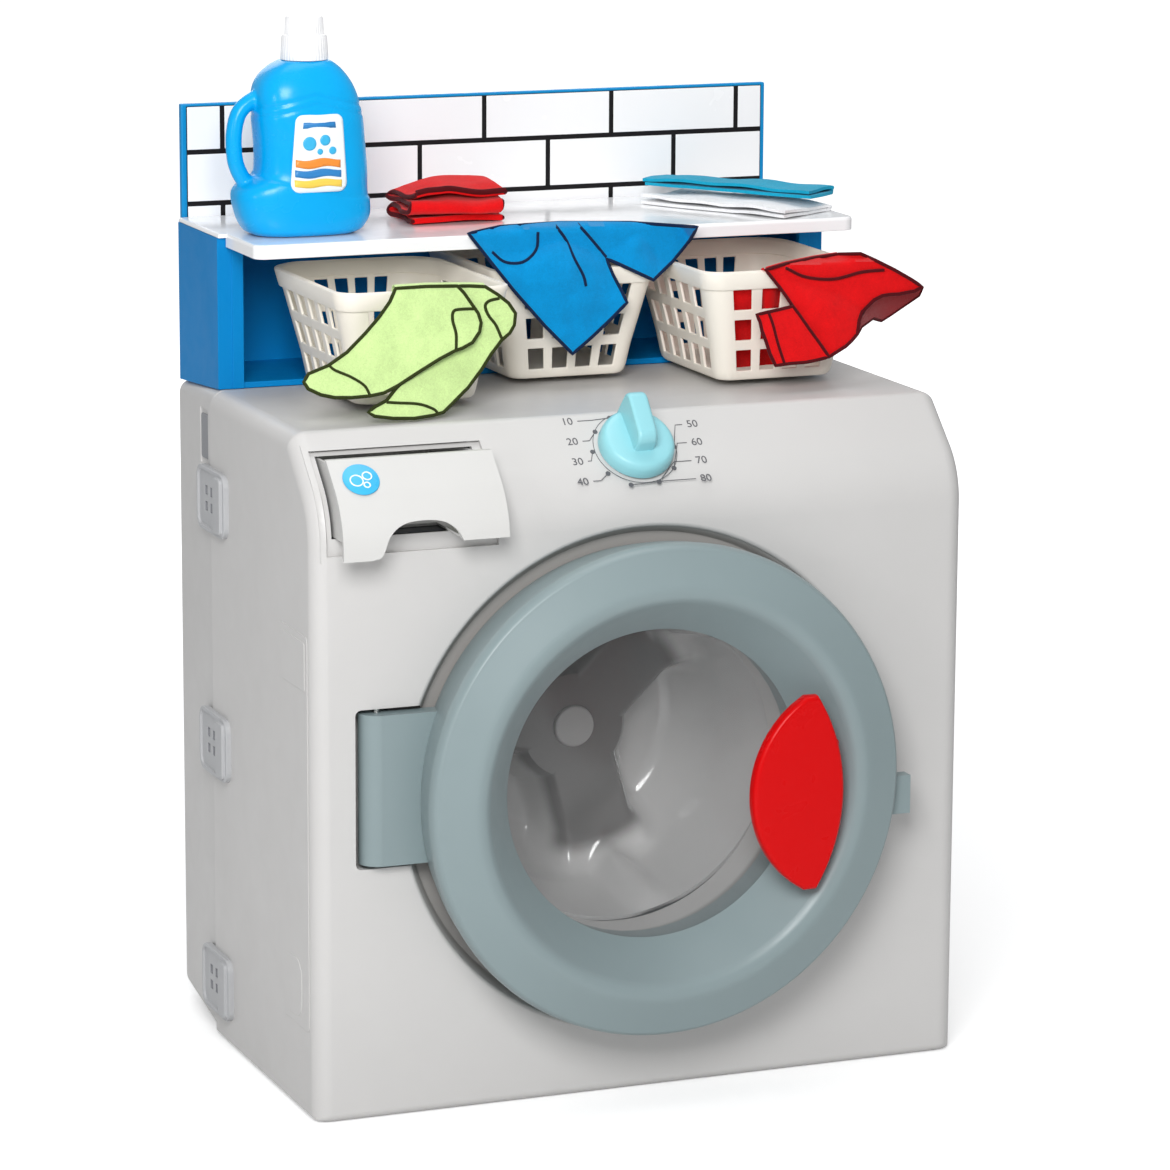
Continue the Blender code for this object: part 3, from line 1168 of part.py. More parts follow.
def sound_parts():
    top = CASE_H - WALL - GAP
    half_x, half_y = SOUND_SIZE[0] / 2, SOUND_SIZE[1] / 2
    low = (SOUND_X - half_x, SOUND_Y - half_y, top - SOUND_SIZE[2])
    high = (SOUND_X + half_x, SOUND_Y + half_y, top)
    box("sound_box", low, high, DARK_GREY)
    speaker = [
        (0, low[2] - GAP - SPEAKER_T / 2), (SPEAKER_R / 2, low[2] - GAP - SPEAKER_T / 2),
        (SPEAKER_R, low[2] - GAP - SPEAKER_T), (SPEAKER_R, low[2] - GAP), (0, low[2] - GAP),
    ]
    lathe("speaker", speaker, along_z(SOUND_X, SOUND_Y), 20, DARK_GREY)
    half_x, half_z = battery_room()
    wall_y = BACK_Y - WALL - GAP
    floor_y = BACK_Y - COVER_T - GAP - 2 * (BATTERY_R + BATTERY_ROOM)
    inner_low = (BATTERY_X - half_x, floor_y, BATTERY_Z - half_z)
    inner_high = (BATTERY_X + half_x, wall_y + OVERRUN, BATTERY_Z + half_z)
    outer_low = tuple(c - BOX_WALL for c in inner_low)
    outer_high = (inner_high[0] + BOX_WALL, wall_y, inner_high[2] + BOX_WALL)
    tub = box("battery_box", outer_low, outer_high, DARK_GREY)
    flange_low = (outer_low[0] - BOX_FLANGE, wall_y - BOX_WALL, outer_low[2] - BOX_FLANGE)
    flange_high = (outer_high[0] + BOX_FLANGE, wall_y, outer_high[2] + BOX_FLANGE)
    join(tub, box("battery_flange", flange_low, flange_high, DARK_GREY))
    cut(tub, box("battery_hollow", inner_low, inner_high, DARK_GREY))
    lie_along_x = Matrix.Rotation(math.pi / 2, 4, "Y")
    cell_y = floor_y + BATTERY_R + GAP
    for number, side in enumerate((-1, 1)):
        z = BATTERY_Z + side * BATTERY_PITCH / 2
        place = Matrix.Translation((BATTERY_X, cell_y, z)) @ lie_along_x
        end = BATTERY_L / 2
        cell = [
            (0, -end), (BATTERY_R, -end), (BATTERY_R, end - EMBED), (BATTERY_R / 3, end - EMBED),
            (BATTERY_R / 3, end), (0, end),
        ]
        lathe("battery_%d" % (number + 1), cell, place, 16, STEEL)
    low, high = cover_box(0.0)
    cover = box("battery_cover", low, high, CASE_GREY)
    screw_place = along_y(BATTERY_X, BATTERY_Z)
    cut(cover, rod("cover_bore", screw_place, SCREW_R + GAP, low[1] - OVERRUN, BACK_Y + OVERRUN, 8, STEEL))
    recess_y = BACK_Y - COVER_T / 2
    cut(cover, rod("cover_recess", screw_place, SCREW_HEAD_R + GAP, recess_y, BACK_Y + OVERRUN, 12, STEEL))
    head_back = BACK_Y - COVER_T / 2 + GAP
    tip, tip_r = low[1] - WALL, BATTERY_PITCH / 2 - BATTERY_R - GAP
    screw = [
        (0, tip), (tip_r, tip), (tip_r, low[1]), (SCREW_R, low[1]), (SCREW_R, head_back),
        (SCREW_HEAD_R, head_back), (SCREW_HEAD_R, BACK_Y), (0, BACK_Y),
    ]
    lathe("battery_cover_screw", screw, screw_place, 8, STEEL)


def unit_plan():
    """The shelf unit's walls seen from above: a C with a ribbed post at each end."""
    front, back, wall = UNIT_FRONT_Y, UNIT_BACK_Y, UNIT_WALL
    rib_front, post_back = front - EMBED, front + POST_RIB_D
    left, right = UNIT_X0 + POST_W, UNIT_X1 - POST_W
    return [
        (UNIT_X0, front), (left - POST_RIB_W, front), (left - POST_RIB_W, rib_front), (left, rib_front),
        (left, post_back), (UNIT_X0 + wall, post_back), (UNIT_X0 + wall, back - wall),
        (UNIT_X1 - wall, back - wall), (UNIT_X1 - wall, post_back), (right, post_back), (right, rib_front),
        (right + POST_RIB_W, rib_front), (right + POST_RIB_W, front), (UNIT_X1, front), (UNIT_X1, back),
        (UNIT_X0, back),
    ]


def shelf_plan(inset, front_only):
    """The shelf's outline seen from above, moved inward by inset."""
    half, rear_half = SHELF_HALF_W - inset, SHELF_REAR_HALF_W - inset
    front = SHELF_FRONT_Y + inset
    radius = max(SHELF_CORNER_R - inset, MIN_RADIUS)
    corners = fillet((-half, front), (0, 1), (1, 0), radius, 4)
    corners += fillet((half, front), (-1, 0), (0, 1), radius, 4)
    if front_only:
        end = UNIT_FRONT_Y - EMBED - GAP - inset
        return corners + [(half, end), (-half, end)]
    step, back = SHELF_STEP_Y + inset, SHELF_BACK_Y - inset
    corners += [(half, step), (rear_half, step), (rear_half, back)]
    return corners + [(-rear_half, back), (-rear_half, step), (-half, step)]


def shelf_parts():
    plan = unit_plan()

    def on_case(x, y):
        return (x, y, rear_top_z(y) + GAP)

    unit_rings = [[on_case(x, y) for x, y in plan], [(x, y, UNIT_TOP_Z) for x, y in plan]]
    unit = loft("shelf_unit", unit_rings, UNIT_BLUE)
    floor_plan = [
        (UNIT_X0 + EMBED, UNIT_FRONT_Y + EMBED / 2), (UNIT_X1 - EMBED, UNIT_FRONT_Y + EMBED / 2),
        (UNIT_X1 - EMBED, UNIT_BACK_Y - EMBED), (UNIT_X0 + EMBED, UNIT_BACK_Y - EMBED),
    ]
    floor_low = [(x, y, rear_top_z(y) + GAP + GAP / 3) for x, y in floor_plan]
    floor_high = [(x, y, UNIT_FLOOR_Z) for x, y in floor_plan]
    join(unit, loft("unit_floor", [floor_low, floor_high], UNIT_BLUE))
    for side in (-1, 1):
        low, high = leg_box(side * UNIT_SCREW_X, 0.0)
        join(unit, box("unit_leg", low, high, UNIT_BLUE))
    plate_z = SHELF_TOP_Z - SHELF_PLATE_T
    rings = []
    for inset, z in ((0.0, plate_z), (0.0, SHELF_TOP_Z - SHELF_EDGE_R),
                     (SHELF_EDGE_R / 3, SHELF_TOP_Z - SHELF_EDGE_R / 3), (SHELF_EDGE_R, SHELF_TOP_Z)):
        rings.append([(x, y, z) for x, y in shelf_plan(inset, False)])
    shelf = loft("shelf_top", rings, WHITE)
    skirt_rings = [[(x, y, z) for x, y in shelf_plan(0.0, True)] for z in (SHELF_LIP_Z, plate_z + EMBED)]
    skirt = loft("shelf_skirt", skirt_rings, WHITE)
    under_levels = (SHELF_LIP_Z - OVERRUN, plate_z + OVERRUN)
    inner_rings = [[(x, y, z) for x, y in shelf_plan(WALL, True)] for z in under_levels]
    cut(skirt, loft("shelf_under", inner_rings, WHITE))
    join(shelf, skirt)
    board_y = UNIT_BACK_Y + GAP
    foot_z = rear_top_z(BACK_Y) + REAR_EDGE_R
    board_low = (BOARD_X0, board_y, foot_z)
    board_high = (BOARD_X1, board_y + BOARD_T, BOARD_TOP_Z)
    board = box("backsplash_board", board_low, board_high, UNIT_BLUE)
    tile_low = (BOARD_X0 + TILE_BORDER, board_y - GAP - TILE_T, UNIT_TOP_Z + GAP)
    tile_high = (BOARD_X1 - TILE_BORDER, board_y - GAP, BOARD_TOP_Z - TILE_BORDER / 2)
    box("tile_panel", tile_low, tile_high, WHITE)
    for name, side in (("left", -1), ("right", 1)):
        screw_place = along_y(side * UNIT_SCREW_X, UNIT_SCREW_Z)
        bore_start = UNIT_BACK_Y - UNIT_WALL - OVERRUN
        bore_end = board_high[1] + OVERRUN
        cut(unit, rod("unit_bore", screw_place, SCREW_R + GAP, bore_start, bore_end, 8, STEEL))
        cut(board, rod("board_bore", screw_place, SCREW_R + GAP, bore_start, bore_end, 8, STEEL))
        head_low = board_high[1] + GAP
        tip = UNIT_BACK_Y - UNIT_WALL
        screw = [
            (0, tip), (SCREW_R, tip), (SCREW_R, head_low), (SCREW_HEAD_R, head_low),
            (SCREW_HEAD_R, head_low + SCREW_HEAD_T), (0, head_low + SCREW_HEAD_T),
        ]
        lathe("board_screw_" + name, screw, screw_place, 8, STEEL)


def basket_stations(corners, radii):
    """Points round a basket at one level, with the hole edges marked."""
    holes = (BASKET_FRONT_HOLES, BASKET_SIDE_HOLES, BASKET_FRONT_HOLES, BASKET_SIDE_HOLES)
    stations, is_hole = [], []
    for i in range(4):
        here, after = Vector(corners[i]), Vector(corners[(i + 1) % 4])
        along = (after - here).normalized()
        start = here + along * radii[i]
        end = after - along * radii[(i + 1) % 4]
        count = holes[i]
        for k in range(count):
            for edge in (-0.5, 0.5):
                share = (k + 0.5 + edge * BASKET_HOLE_SHARE) / count
                stations.append(start.lerp(end, share))
                is_hole.append(edge < 0)
        centre_dir = (Vector(corners[(i + 2) % 4]) - after).normalized()
        arc = fillet(after, -along, centre_dir, radii[(i + 1) % 4], 2)
        for point in arc:
            stations.append(Vector(point))
            is_hole.append(False)
    return stations, is_hole


def basket(name, centre_x, front_y):
    """A tapered basket: a pierced skin, thickened inward."""
    height = BASKET_TOP_Z - UNIT_FLOOR_Z - GAP
    base_z = UNIT_FLOOR_Z + GAP
    points, rows = [], []
    for share in BASKET_LEVEL_SHARES:
        grow = BASKET_FLARE * share - (BASKET_RIM if 0 < share < 1 else 0)
        x0, x1 = centre_x - BASKET_W / 2 - grow, centre_x + BASKET_W / 2 + grow
        y0, y1 = front_y - grow, front_y + BASKET_D + grow
        corners = [(x0, y0), (x1, y0), (x1, y1), (x0, y1)]
        front_r, back_r = BASKET_FRONT_R + grow / 4, BASKET_BACK_R + grow / 4
        stations, marks = basket_stations(corners, [front_r, front_r, back_r, back_r])
        rows.append(list(range(len(points), len(points) + len(stations))))
        points += [(p.x, p.y, base_z + height * share) for p in stations]
    count = len(rows[0])
    faces = [tuple(rows[0])]
    for level in range(len(rows) - 1):
        for i in range(count):
            if level in BASKET_HOLE_LEVELS and marks[i]:
                continue
            j = (i + 1) % count
            faces.append((rows[level][i], rows[level][j], rows[level + 1][j], rows[level + 1][i]))
    mesh = bpy.data.meshes.new(name)
    mesh.from_pydata(points, [], faces)
    work = bmesh.new()
    work.from_mesh(mesh)
    bmesh.ops.recalc_face_normals(work, faces=work.faces)
    if work.faces[0].normal.z > 0:
        bmesh.ops.reverse_faces(work, faces=work.faces)
    work.to_mesh(mesh)
    work.free()
    mesh.materials.append(BASKET_CREAM)
    made = bpy.data.objects.new(name, mesh)
    bpy.context.scene.collection.objects.link(made)
    thicken = made.modifiers.new("wall", "SOLIDIFY")
    thicken.thickness = BASKET_WALL
    thicken.offset = -1.0
    thicken.use_even_offset = True
    return made


def bottle_ring(level, steps=24):
    z, left, right, depth_share = level
    centre, half = (left + right) / 2, (right - left) / 2
    ring = []
    for i in range(steps):
        a = math.tau * i / steps
        c, s = math.cos(a), math.sin(a)
        x = centre + half * math.copysign(abs(c) ** BOTTLE_ROUND_SHARE, c)
        y = BOTTLE_HALF_D * depth_share * math.copysign(abs(s) ** BOTTLE_ROUND_SHARE, s)
        ring.append((BOTTLE_X + x, BOTTLE_Y + y, SHELF_TOP_Z + GAP + z))
    return ring


def bottle_parts():
    base_z = SHELF_TOP_Z + GAP
    body = loft("bottle", [bottle_ring(level) for level in BOTTLE_LEVELS], BOTTLE_BLUE, 45)
    neck_place = Matrix.Translation((BOTTLE_X, BOTTLE_Y, base_z))
    neck_low = BOTTLE_LEVELS[-2][0]
    join(body, rod("bottle_neck", neck_place, BOTTLE_NECK_R, neck_low, BOTTLE_NECK_TOP, 20, BOTTLE_BLUE))
    curve = bpy.data.curves.new("bottle_grip", "CURVE")
    curve.dimensions = "3D"
    curve.bevel_depth = GRIP_R
    curve.bevel_resolution = 2
    curve.use_fill_caps = True
    line = curve.splines.new("POLY")
    line.points.add(len(GRIP_POINTS) - 1)
    for point, (x, z) in zip(line.points, GRIP_POINTS):
        point.co = (BOTTLE_X + x, BOTTLE_Y, base_z + z, 1.0)
    grip = bpy.data.objects.new("bottle_grip", curve)
    bpy.context.scene.collection.objects.link(grip)
    bpy.context.view_layer.update()
    grip_mesh = bpy.data.meshes.new_from_object(grip.evaluated_get(bpy.context.evaluated_depsgraph_get()))
    bpy.data.objects.remove(grip, do_unlink=True)
    work = bmesh.new()
    work.from_mesh(grip_mesh)
    bmesh.ops.remove_doubles(work, verts=work.verts, dist=GAP / 10)
    bmesh.ops.recalc_face_normals(work, faces=work.faces)
    work.to_mesh(grip_mesh)
    work.free()
    grip = bpy.data.objects.new("bottle_grip", grip_mesh)
    bpy.context.scene.collection.objects.link(grip)
    join(body, grip)
    hollow = []
    for z, left, right, share in BOTTLE_LEVELS[1:-1]:
        hollow.append((max(z, CAP_WALL * 2), left + CAP_WALL, right - CAP_WALL, share * BOTTLE_HOLLOW_SHARE))
    cut(body, loft("bottle_hollow", [bottle_ring(level, 16) for level in hollow], BOTTLE_BLUE))
    bore_r = BOTTLE_NECK_R - CAP_WALL
    bore_low = BOTTLE_LEVELS[-3][0]
    cut(body, rod("bottle_bore", neck_place, bore_r, bore_low, BOTTLE_NECK_TOP + OVERRUN, 16, BOTTLE_BLUE))
    skirt_low = BOTTLE_LEVELS[-1][0] + GAP
    inner = BOTTLE_NECK_R + GAP
    roof = BOTTLE_NECK_TOP + GAP
    cap = [
        (inner, skirt_low), (CAP_SKIRT_R, skirt_low), (CAP_SKIRT_R - EMBED, CAP_STEP_Z),
        (CAP_TOP_R, CAP_STEP_Z), (CAP_TOP_R - EMBED / 2, CAP_TOP_Z), (0, CAP_TOP_Z), (0, roof), (inner, roof),
    ]
    lathe("bottle_cap", cap, neck_place, 24, WHITE)
    front = BOTTLE_Y - BOTTLE_HALF_D - GAP
    low = (BOTTLE_X + LABEL_X0, front - LABEL_T, base_z + LABEL_Z0)
    high = (BOTTLE_X + LABEL_X1, front, base_z + LABEL_Z1)
    box("bottle_label", low, high, WHITE)


def smooth_line(points, count):
    """Catmull-Rom points through a short list."""
    points = [Vector(p) for p in points]
    ends = [points[0] * 2 - points[1]] + points + [points[-1] * 2 - points[-2]]
    spans = len(points) - 1
    line = []
    for i in range(count + 1):
        t = spans * i / count
        k = min(int(t), spans - 1)
        f = t - k
        p0, p1, p2, p3 = ends[k:k + 4]
        line.append(0.5 * (2 * p1 + (p2 - p0) * f + (2 * p0 - 5 * p1 + 4 * p2 - p3) * f * f
                           + (3 * p1 - p0 - 3 * p2 + p3) * f ** 3))
    return line


def sheet(name, grid, thickness, look):
    """A cloth of even thickness over a grid of middle points."""
    rows, columns = len(grid), len(grid[0])
    normals = []
    for i in range(rows):
        line = []
        for j in range(columns):
            down = grid[min(i + 1, rows - 1)][j] - grid[max(i - 1, 0)][j]
            across = grid[i][min(j + 1, columns - 1)] - grid[i][max(j - 1, 0)]
            line.append(down.cross(across).normalized())
        normals.append(line)
    points = []
    for side in (-0.5, 0.5):
        for i in range(rows):
            for j in range(columns):
                points.append(grid[i][j] + normals[i][j] * thickness * side)
    layer = rows * columns
    faces = []
    for i in range(rows - 1):
        for j in range(columns - 1):
            a, b = i * columns + j, i * columns + j + 1
            c, d = b + columns, a + columns
            faces.append((a, b, c, d))
            faces.append((a + layer, d + layer, c + layer, b + layer))
    border = [j for j in range(columns)] + [i * columns + columns - 1 for i in range(1, rows)]
    border += [(rows - 1) * columns + j for j in range(columns - 2, -1, -1)]
    border += [i * columns for i in range(rows - 2, 0, -1)]
    for k, a in enumerate(border):
        b = border[(k + 1) % len(border)]
        faces.append((a, b, b + layer, a + layer))
    return solid(name, points, faces, look, 60)


def ruled_sheet(name, left_line, right_line, columns, ripple, look):
    """A sheet between two edge lines, with a soft ripple across it."""
    grid = []
    rows = len(left_line)
    for i, (a, b) in enumerate(zip(left_line, right_line)):
        row = []
        for j in range(columns + 1):
            share = j / columns
            wave = ripple * math.sin(share * math.tau * RIPPLE_WAVES) * (i / (rows - 1)) ** 2
            row.append(a.lerp(b, share) + Vector((0, -wave, 0)))
        grid.append(row)
    return sheet(name, grid, FELT_T, look)


def rim_y(index):
    """The front of a basket's rim."""
    return BASKET_FRONT_Y_LIST[index] - BASKET_FLARE


def inside_rim(depth):
    """How far a cloth inside a basket stays from the rim's outer face, at a depth below the rim."""
    height = BASKET_TOP_Z - UNIT_FLOOR_Z - GAP
    return BASKET_RIM + BASKET_WALL + BASKET_FLARE * depth / height + 2 * FELT_CLEAR + FELT_T


def sock_cloths():
    """Two felt socks that hang over the left basket's front rim."""
    rim_front = rim_y(0)
    top_z = BASKET_TOP_Z + FELT_CLEAR + FELT_T / 2
    for name, forward, outline in SOCKS:
        hang_y = rim_front - FELT_CLEAR - FELT_T / 2 - forward
        top_left, top_right, _ = outline[0]
        left, right = [], []
        for depth in (SOCK_INSIDE, FELT_T * 2):
            left.append(Vector((top_left, rim_front + inside_rim(depth), BASKET_TOP_Z - depth)))
        left.append(Vector((top_left, rim_front + BASKET_RIM, top_z + forward)))
        right = [Vector((top_right, p.y, p.z)) for p in left]
        for row, (x_left, x_right, z) in enumerate(outline):
            y = hang_y - SOCK_LEAN * row
            left.append(Vector((x_left, y, z)))
            right.append(Vector((x_right, y, z)))
        ruled_sheet(name, smooth_line(left, 14), smooth_line(right, 14), 5, SOCK_RIPPLE, FELT_GREEN)


def shorts_cloth():
    """Felt shorts laid over the shelf's front edge, legs hanging."""
    hang_y = SHELF_FRONT_Y - 2 * FELT_CLEAR - FELT_T / 2
    top_z = SHELF_TOP_Z + FELT_CLEAR + FELT_T / 2
    waist_x0, waist_x1 = SHORTS_WAIST_X
    columns = 14
    grid = []
    bend_z = SHELF_TOP_Z - SHELF_EDGE_R
    for y, z in (
        (SHELF_FRONT_Y + SHORTS_LAP, top_z), (SHELF_FRONT_Y + SHORTS_LAP / 2, top_z),
        (SHELF_FRONT_Y + SHELF_EDGE_R / 2, top_z), (hang_y, bend_z),
    ):
        start, end = Vector((waist_x0, y, z)), Vector((waist_x1, y, z))
        grid.append([start.lerp(end, j / columns) for j in range(columns + 1)])
    hem = []
    stops = [
        (waist_x0, bend_z - FELT_T), SHORTS_LEFT_TIP, SHORTS_LEFT_SIDE, SHORTS_CROTCH, SHORTS_RIGHT_TIP,
        (waist_x1, bend_z - FELT_T),
    ]
    for j in range(columns + 1):
        share = j / columns
        k = max(i for i in range(len(stops) - 1) if SHORTS_HEM_SHARES[i] <= share)
        f = (share - SHORTS_HEM_SHARES[k]) / (SHORTS_HEM_SHARES[k + 1] - SHORTS_HEM_SHARES[k])
        x = stops[k][0] + (stops[k + 1][0] - stops[k][0]) * f
        hem.append((x, stops[k][1] + (stops[k + 1][1] - stops[k][1]) * f))
    rows = 6
    for i in range(1, rows + 1):
        share = i / rows
        row = []
        for j, (x1, z1) in enumerate(hem):
            start = grid[3][j]
            wave = SHORTS_RIPPLE * share * math.sin(j / columns * math.tau) ** 2
            z = start.z + (z1 - start.z) * share
            lean = SHORTS_LEAN * math.sqrt((bend_z - z) / (bend_z - SHORTS_LEFT_TIP[1]))
            row.append(Vector((start.x + (x1 - start.x) * share, hang_y - wave - lean, z)))
        grid.append(row)
    sheet("shorts_cloth", grid, FELT_T, FELT_BLUE)


def shirt_cloth():
    """A felt shirt over the right basket's front right corner."""
    front = rim_y(2)
    right = BASKET_X_LIST[2] + BASKET_W / 2 + BASKET_FLARE
    top = BASKET_TOP_Z + 2 * FELT_CLEAR + FELT_T / 2
    out = FELT_CLEAR + FELT_T

    def over_rim(x, y, outward, hang_x, hang_y, drop, stretch):
        outward = Vector((*outward, 0)).normalized()
        rim = Vector((x, y, 0))
        line = []
        for depth in (SHIRT_INSIDE, FELT_T * 3):
            line.append(rim - outward * inside_rim(depth * stretch) + Vector((0, 0, BASKET_TOP_Z - depth)))
        line.append(rim - outward * BASKET_RIM + Vector((0, 0, top)))
        for share, fall in SHIRT_HANG_SHARES:
            shift = Vector((hang_x * share, -hang_y * share, top - drop * fall))
            line.append(rim + outward * out + shift)
        return smooth_line(line, 12)

    lines = []
    for in_x, hang_x, lean, drop in SHIRT_FRONT_LINES:
        lines.append(over_rim(right - in_x, front, (0, -1), hang_x, lean, drop, 1))
    corner = (right - SHIRT_CORNER, front + SHIRT_CORNER)
    lines.append(over_rim(*corner, (1, -1), *SHIRT_CORNER_HANG, math.sqrt(2)))
    in_y, reach, lean, drop = SHIRT_SIDE_LINE
    lines.append(over_rim(right, front + in_y, (1, 0), reach, lean, drop, 1))
    grid = [smooth_line([line[i] for line in lines], 10) for i in range(13)]
    sheet("shirt_cloth", grid, FELT_T, FELT_RED)


def towel(name, place, base_z, folds, look):
    """A folded towel: layers with round folds along its two long sides."""
    x, y, turn, width, depth, height = place
    layer = height / folds
    bulge = layer * TOWEL_FOLD_SHARE
    outline = []
    for side, order in ((-1, range(folds)), (1, reversed(range(folds)))):
        for k in order:
            middle = layer * (k + 0.5)
            for i in range(5):
                a = (-math.pi / 2 + math.pi * i / 4) * -side
                out = depth / 2 - bulge + bulge * math.cos(a)
                outline.append((side * out, middle + layer / 2 * math.sin(a)))
    placed = Matrix.Translation((x, y, base_z)) @ Matrix.Rotation(turn, 4, "Z")
    rings = []
    for share, squeeze in TOWEL_LENGTH_SHARES:
        rings.append([placed @ Vector((width * share, v * squeeze, z * squeeze)) for v, z in outline])
    return loft(name, rings, look, 60)


def towels():
    base = SHELF_TOP_Z + GAP
    towel("towel_red", RED_TOWEL, base, 2, FELT_RED)
    towel("towel_white", WHITE_TOWEL, base, 2, TOWEL_WHITE)
    towel("towel_teal", TEAL_TOWEL, base + WHITE_TOWEL[-1] + GAP, 1, TOWEL_TEAL)


def door_catch():
    floor_y = FRONT_Y + DISH_DEPTH
    low = (CATCH_R - CATCH_W / 2, RING_BACK_Y + GAP * 2, DOOR_Z - CATCH_H / 2)
    high = (CATCH_R + CATCH_W / 2, floor_y + WALL + EMBED, DOOR_Z + CATCH_H / 2)
    box("door_catch", low, high, DARK_GREY)


def carrier(name, place, children):
    """An empty on a joint's axis that carries the pieces which move together."""
    made = bpy.data.objects.new(name, None)
    made.matrix_world = place
    made.empty_display_size = KNOB_R
    bpy.context.scene.collection.objects.link(made)
    for child in children:
        piece = bpy.data.objects[child]
        piece.parent = made
        piece.matrix_parent_inverse = place.inverted()


def carriers():
    at = Matrix.Translation
    door = ["door_ring", "door_back_ring", "door_window", "door_handle"]
    door += ["handle_screw_lower", "handle_screw_upper"]
    carrier("door_axis", at((HINGE_X, HINGE_Y, HINGE_Z)), door)
    carrier("drum_axis", at((0, DRUM_WEB_Y, DRUM_Z)), ("drum", "hub_cap"))
    carrier("knob_axis", knob_place(), ("knob", "knob_shaft", "knob_retaining_clip"))
    drawer_middle = ((SLOT_X0 + SLOT_X1) / 2, TRAY_BACK_Y, (SLOT_Z0 + SLOT_Z1) / 2)
    carrier("drawer_axis", at(drawer_middle), ("drawer_front", "drawer_tray", "drawer_badge"))
    loads = (("sock_front", "sock_back"), ("shorts_cloth",), ("shirt_cloth",))
    for side, x, y, load in zip(BASKET_SIDES, BASKET_X_LIST, BASKET_FRONT_Y_LIST, loads):
        carrier("basket_axis_" + side, at((x, y, UNIT_FLOOR_Z)), ("basket_" + side,) + load)
    carrier("bottle_axis", at((BOTTLE_X, BOTTLE_Y, SHELF_TOP_Z)), ("bottle", "bottle_cap", "bottle_label"))
    carrier("red_towel_axis", at((*RED_TOWEL[:2], SHELF_TOP_Z)), ("towel_red",))
    carrier("towel_stack_axis", at((*WHITE_TOWEL[:2], SHELF_TOP_Z)), ("towel_white", "towel_teal"))


front_shell()
rear_shell()
side_clips()
drum_parts()
door_parts()
door_catch()
knob_parts()
drawer_parts()
sound_parts()
shelf_parts()
for basket_side, basket_x, basket_front in zip(BASKET_SIDES, BASKET_X_LIST, BASKET_FRONT_Y_LIST):
    basket("basket_" + basket_side, basket_x, basket_front)
bottle_parts()
sock_cloths()
shorts_cloth()
shirt_cloth()
towels()
carriers()
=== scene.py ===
"""How the toy washing machine looks: surfaces, cloths, light and camera.

Metres, +Z up. The door faces -Y and +X is to the viewer's right.
"""
import math

import bmesh
import bpy
import numpy
from mathutils import Matrix, Vector, geometry, noise


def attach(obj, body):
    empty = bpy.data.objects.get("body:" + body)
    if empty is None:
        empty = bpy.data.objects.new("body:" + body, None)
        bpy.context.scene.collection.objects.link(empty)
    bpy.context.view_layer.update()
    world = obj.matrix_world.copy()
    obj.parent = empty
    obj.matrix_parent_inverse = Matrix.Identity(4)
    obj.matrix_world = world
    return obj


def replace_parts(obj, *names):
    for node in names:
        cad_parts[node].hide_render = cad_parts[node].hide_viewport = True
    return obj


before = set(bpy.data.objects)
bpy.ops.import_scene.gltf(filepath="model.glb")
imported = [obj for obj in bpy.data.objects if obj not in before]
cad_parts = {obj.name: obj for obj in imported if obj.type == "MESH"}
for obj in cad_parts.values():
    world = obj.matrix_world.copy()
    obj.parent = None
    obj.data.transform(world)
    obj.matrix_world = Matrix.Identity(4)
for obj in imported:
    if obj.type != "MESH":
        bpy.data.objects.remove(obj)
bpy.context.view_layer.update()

# Camera of the photograph
EYE = Vector((-1.198, -3.026, 1.000))
YAW, PITCH, ROLL = math.radians(21.91), math.radians(11.94), math.radians(0.29)
PHOTO_SIZE = 1170
FOCAL_PIXELS = 4866
SENSOR = 36.0

# Sizes that several pieces share
CASE_W, CASE_H = 0.460, 0.450
FRONT_Y, BACK_Y = -0.156, 0.156
WALL = 0.003
SIDE_R, FOOT_R, TOP_EDGE_R = 0.012, 0.006, 0.008
PANEL_TILT = math.radians(43)
PANEL_TOP_Y, PANEL_BLEND_R = -0.1086, 0.055
SEAM_Y, SEAM_STEP = 0.058, 0.0015
BOTTOM_ROUND_SHARE = 0.35
REAR_TAPER, REAR_TOP_DROP, REAR_FOOT_RISE, REAR_EDGE_R = 0.006, 0.007, 0.010, 0.009
DOOR_Z, DRUM_Z, DRUM_WEB_Y = 0.2125, 0.219, -0.027
DISH_R, DISH_FLOOR_R, DISH_DEPTH = 0.1695, 0.1655, 0.010
SHELF_TOP_Z = 0.5560
SHELF_FRONT_Y = -0.0045
BASKET_TOP_Z, BASKET_BASE_Z = 0.531, 0.4543
DRAWER_OUT = 0.0265
PIN_R, AXLE_R = 0.0023, 0.0043
SLIT = 0.0003
Y, Z = 1, 2

# The photograph's directions
forward = Vector((math.sin(YAW) * math.cos(PITCH), math.cos(YAW) * math.cos(PITCH), -math.sin(PITCH)))
level_right = Vector((math.cos(YAW), -math.sin(YAW), 0))
level_up = level_right.cross(forward)
camera_right = level_right * math.cos(ROLL) + level_up * math.sin(ROLL)
camera_up = level_up * math.cos(ROLL) - level_right * math.sin(ROLL)


def sight(px, py):
    """The direction in which a point of the photograph lies."""
    half = PHOTO_SIZE / 2
    return forward + camera_right * ((px - half) / FOCAL_PIXELS) - camera_up * ((py - half) / FOCAL_PIXELS)


def on_plane(px, py, point, normal):
    """Where the sight line through a point of the photograph meets a plane."""
    line = sight(px, py)
    return EYE + line * ((Vector(point) - EYE).dot(normal) / line.dot(normal))


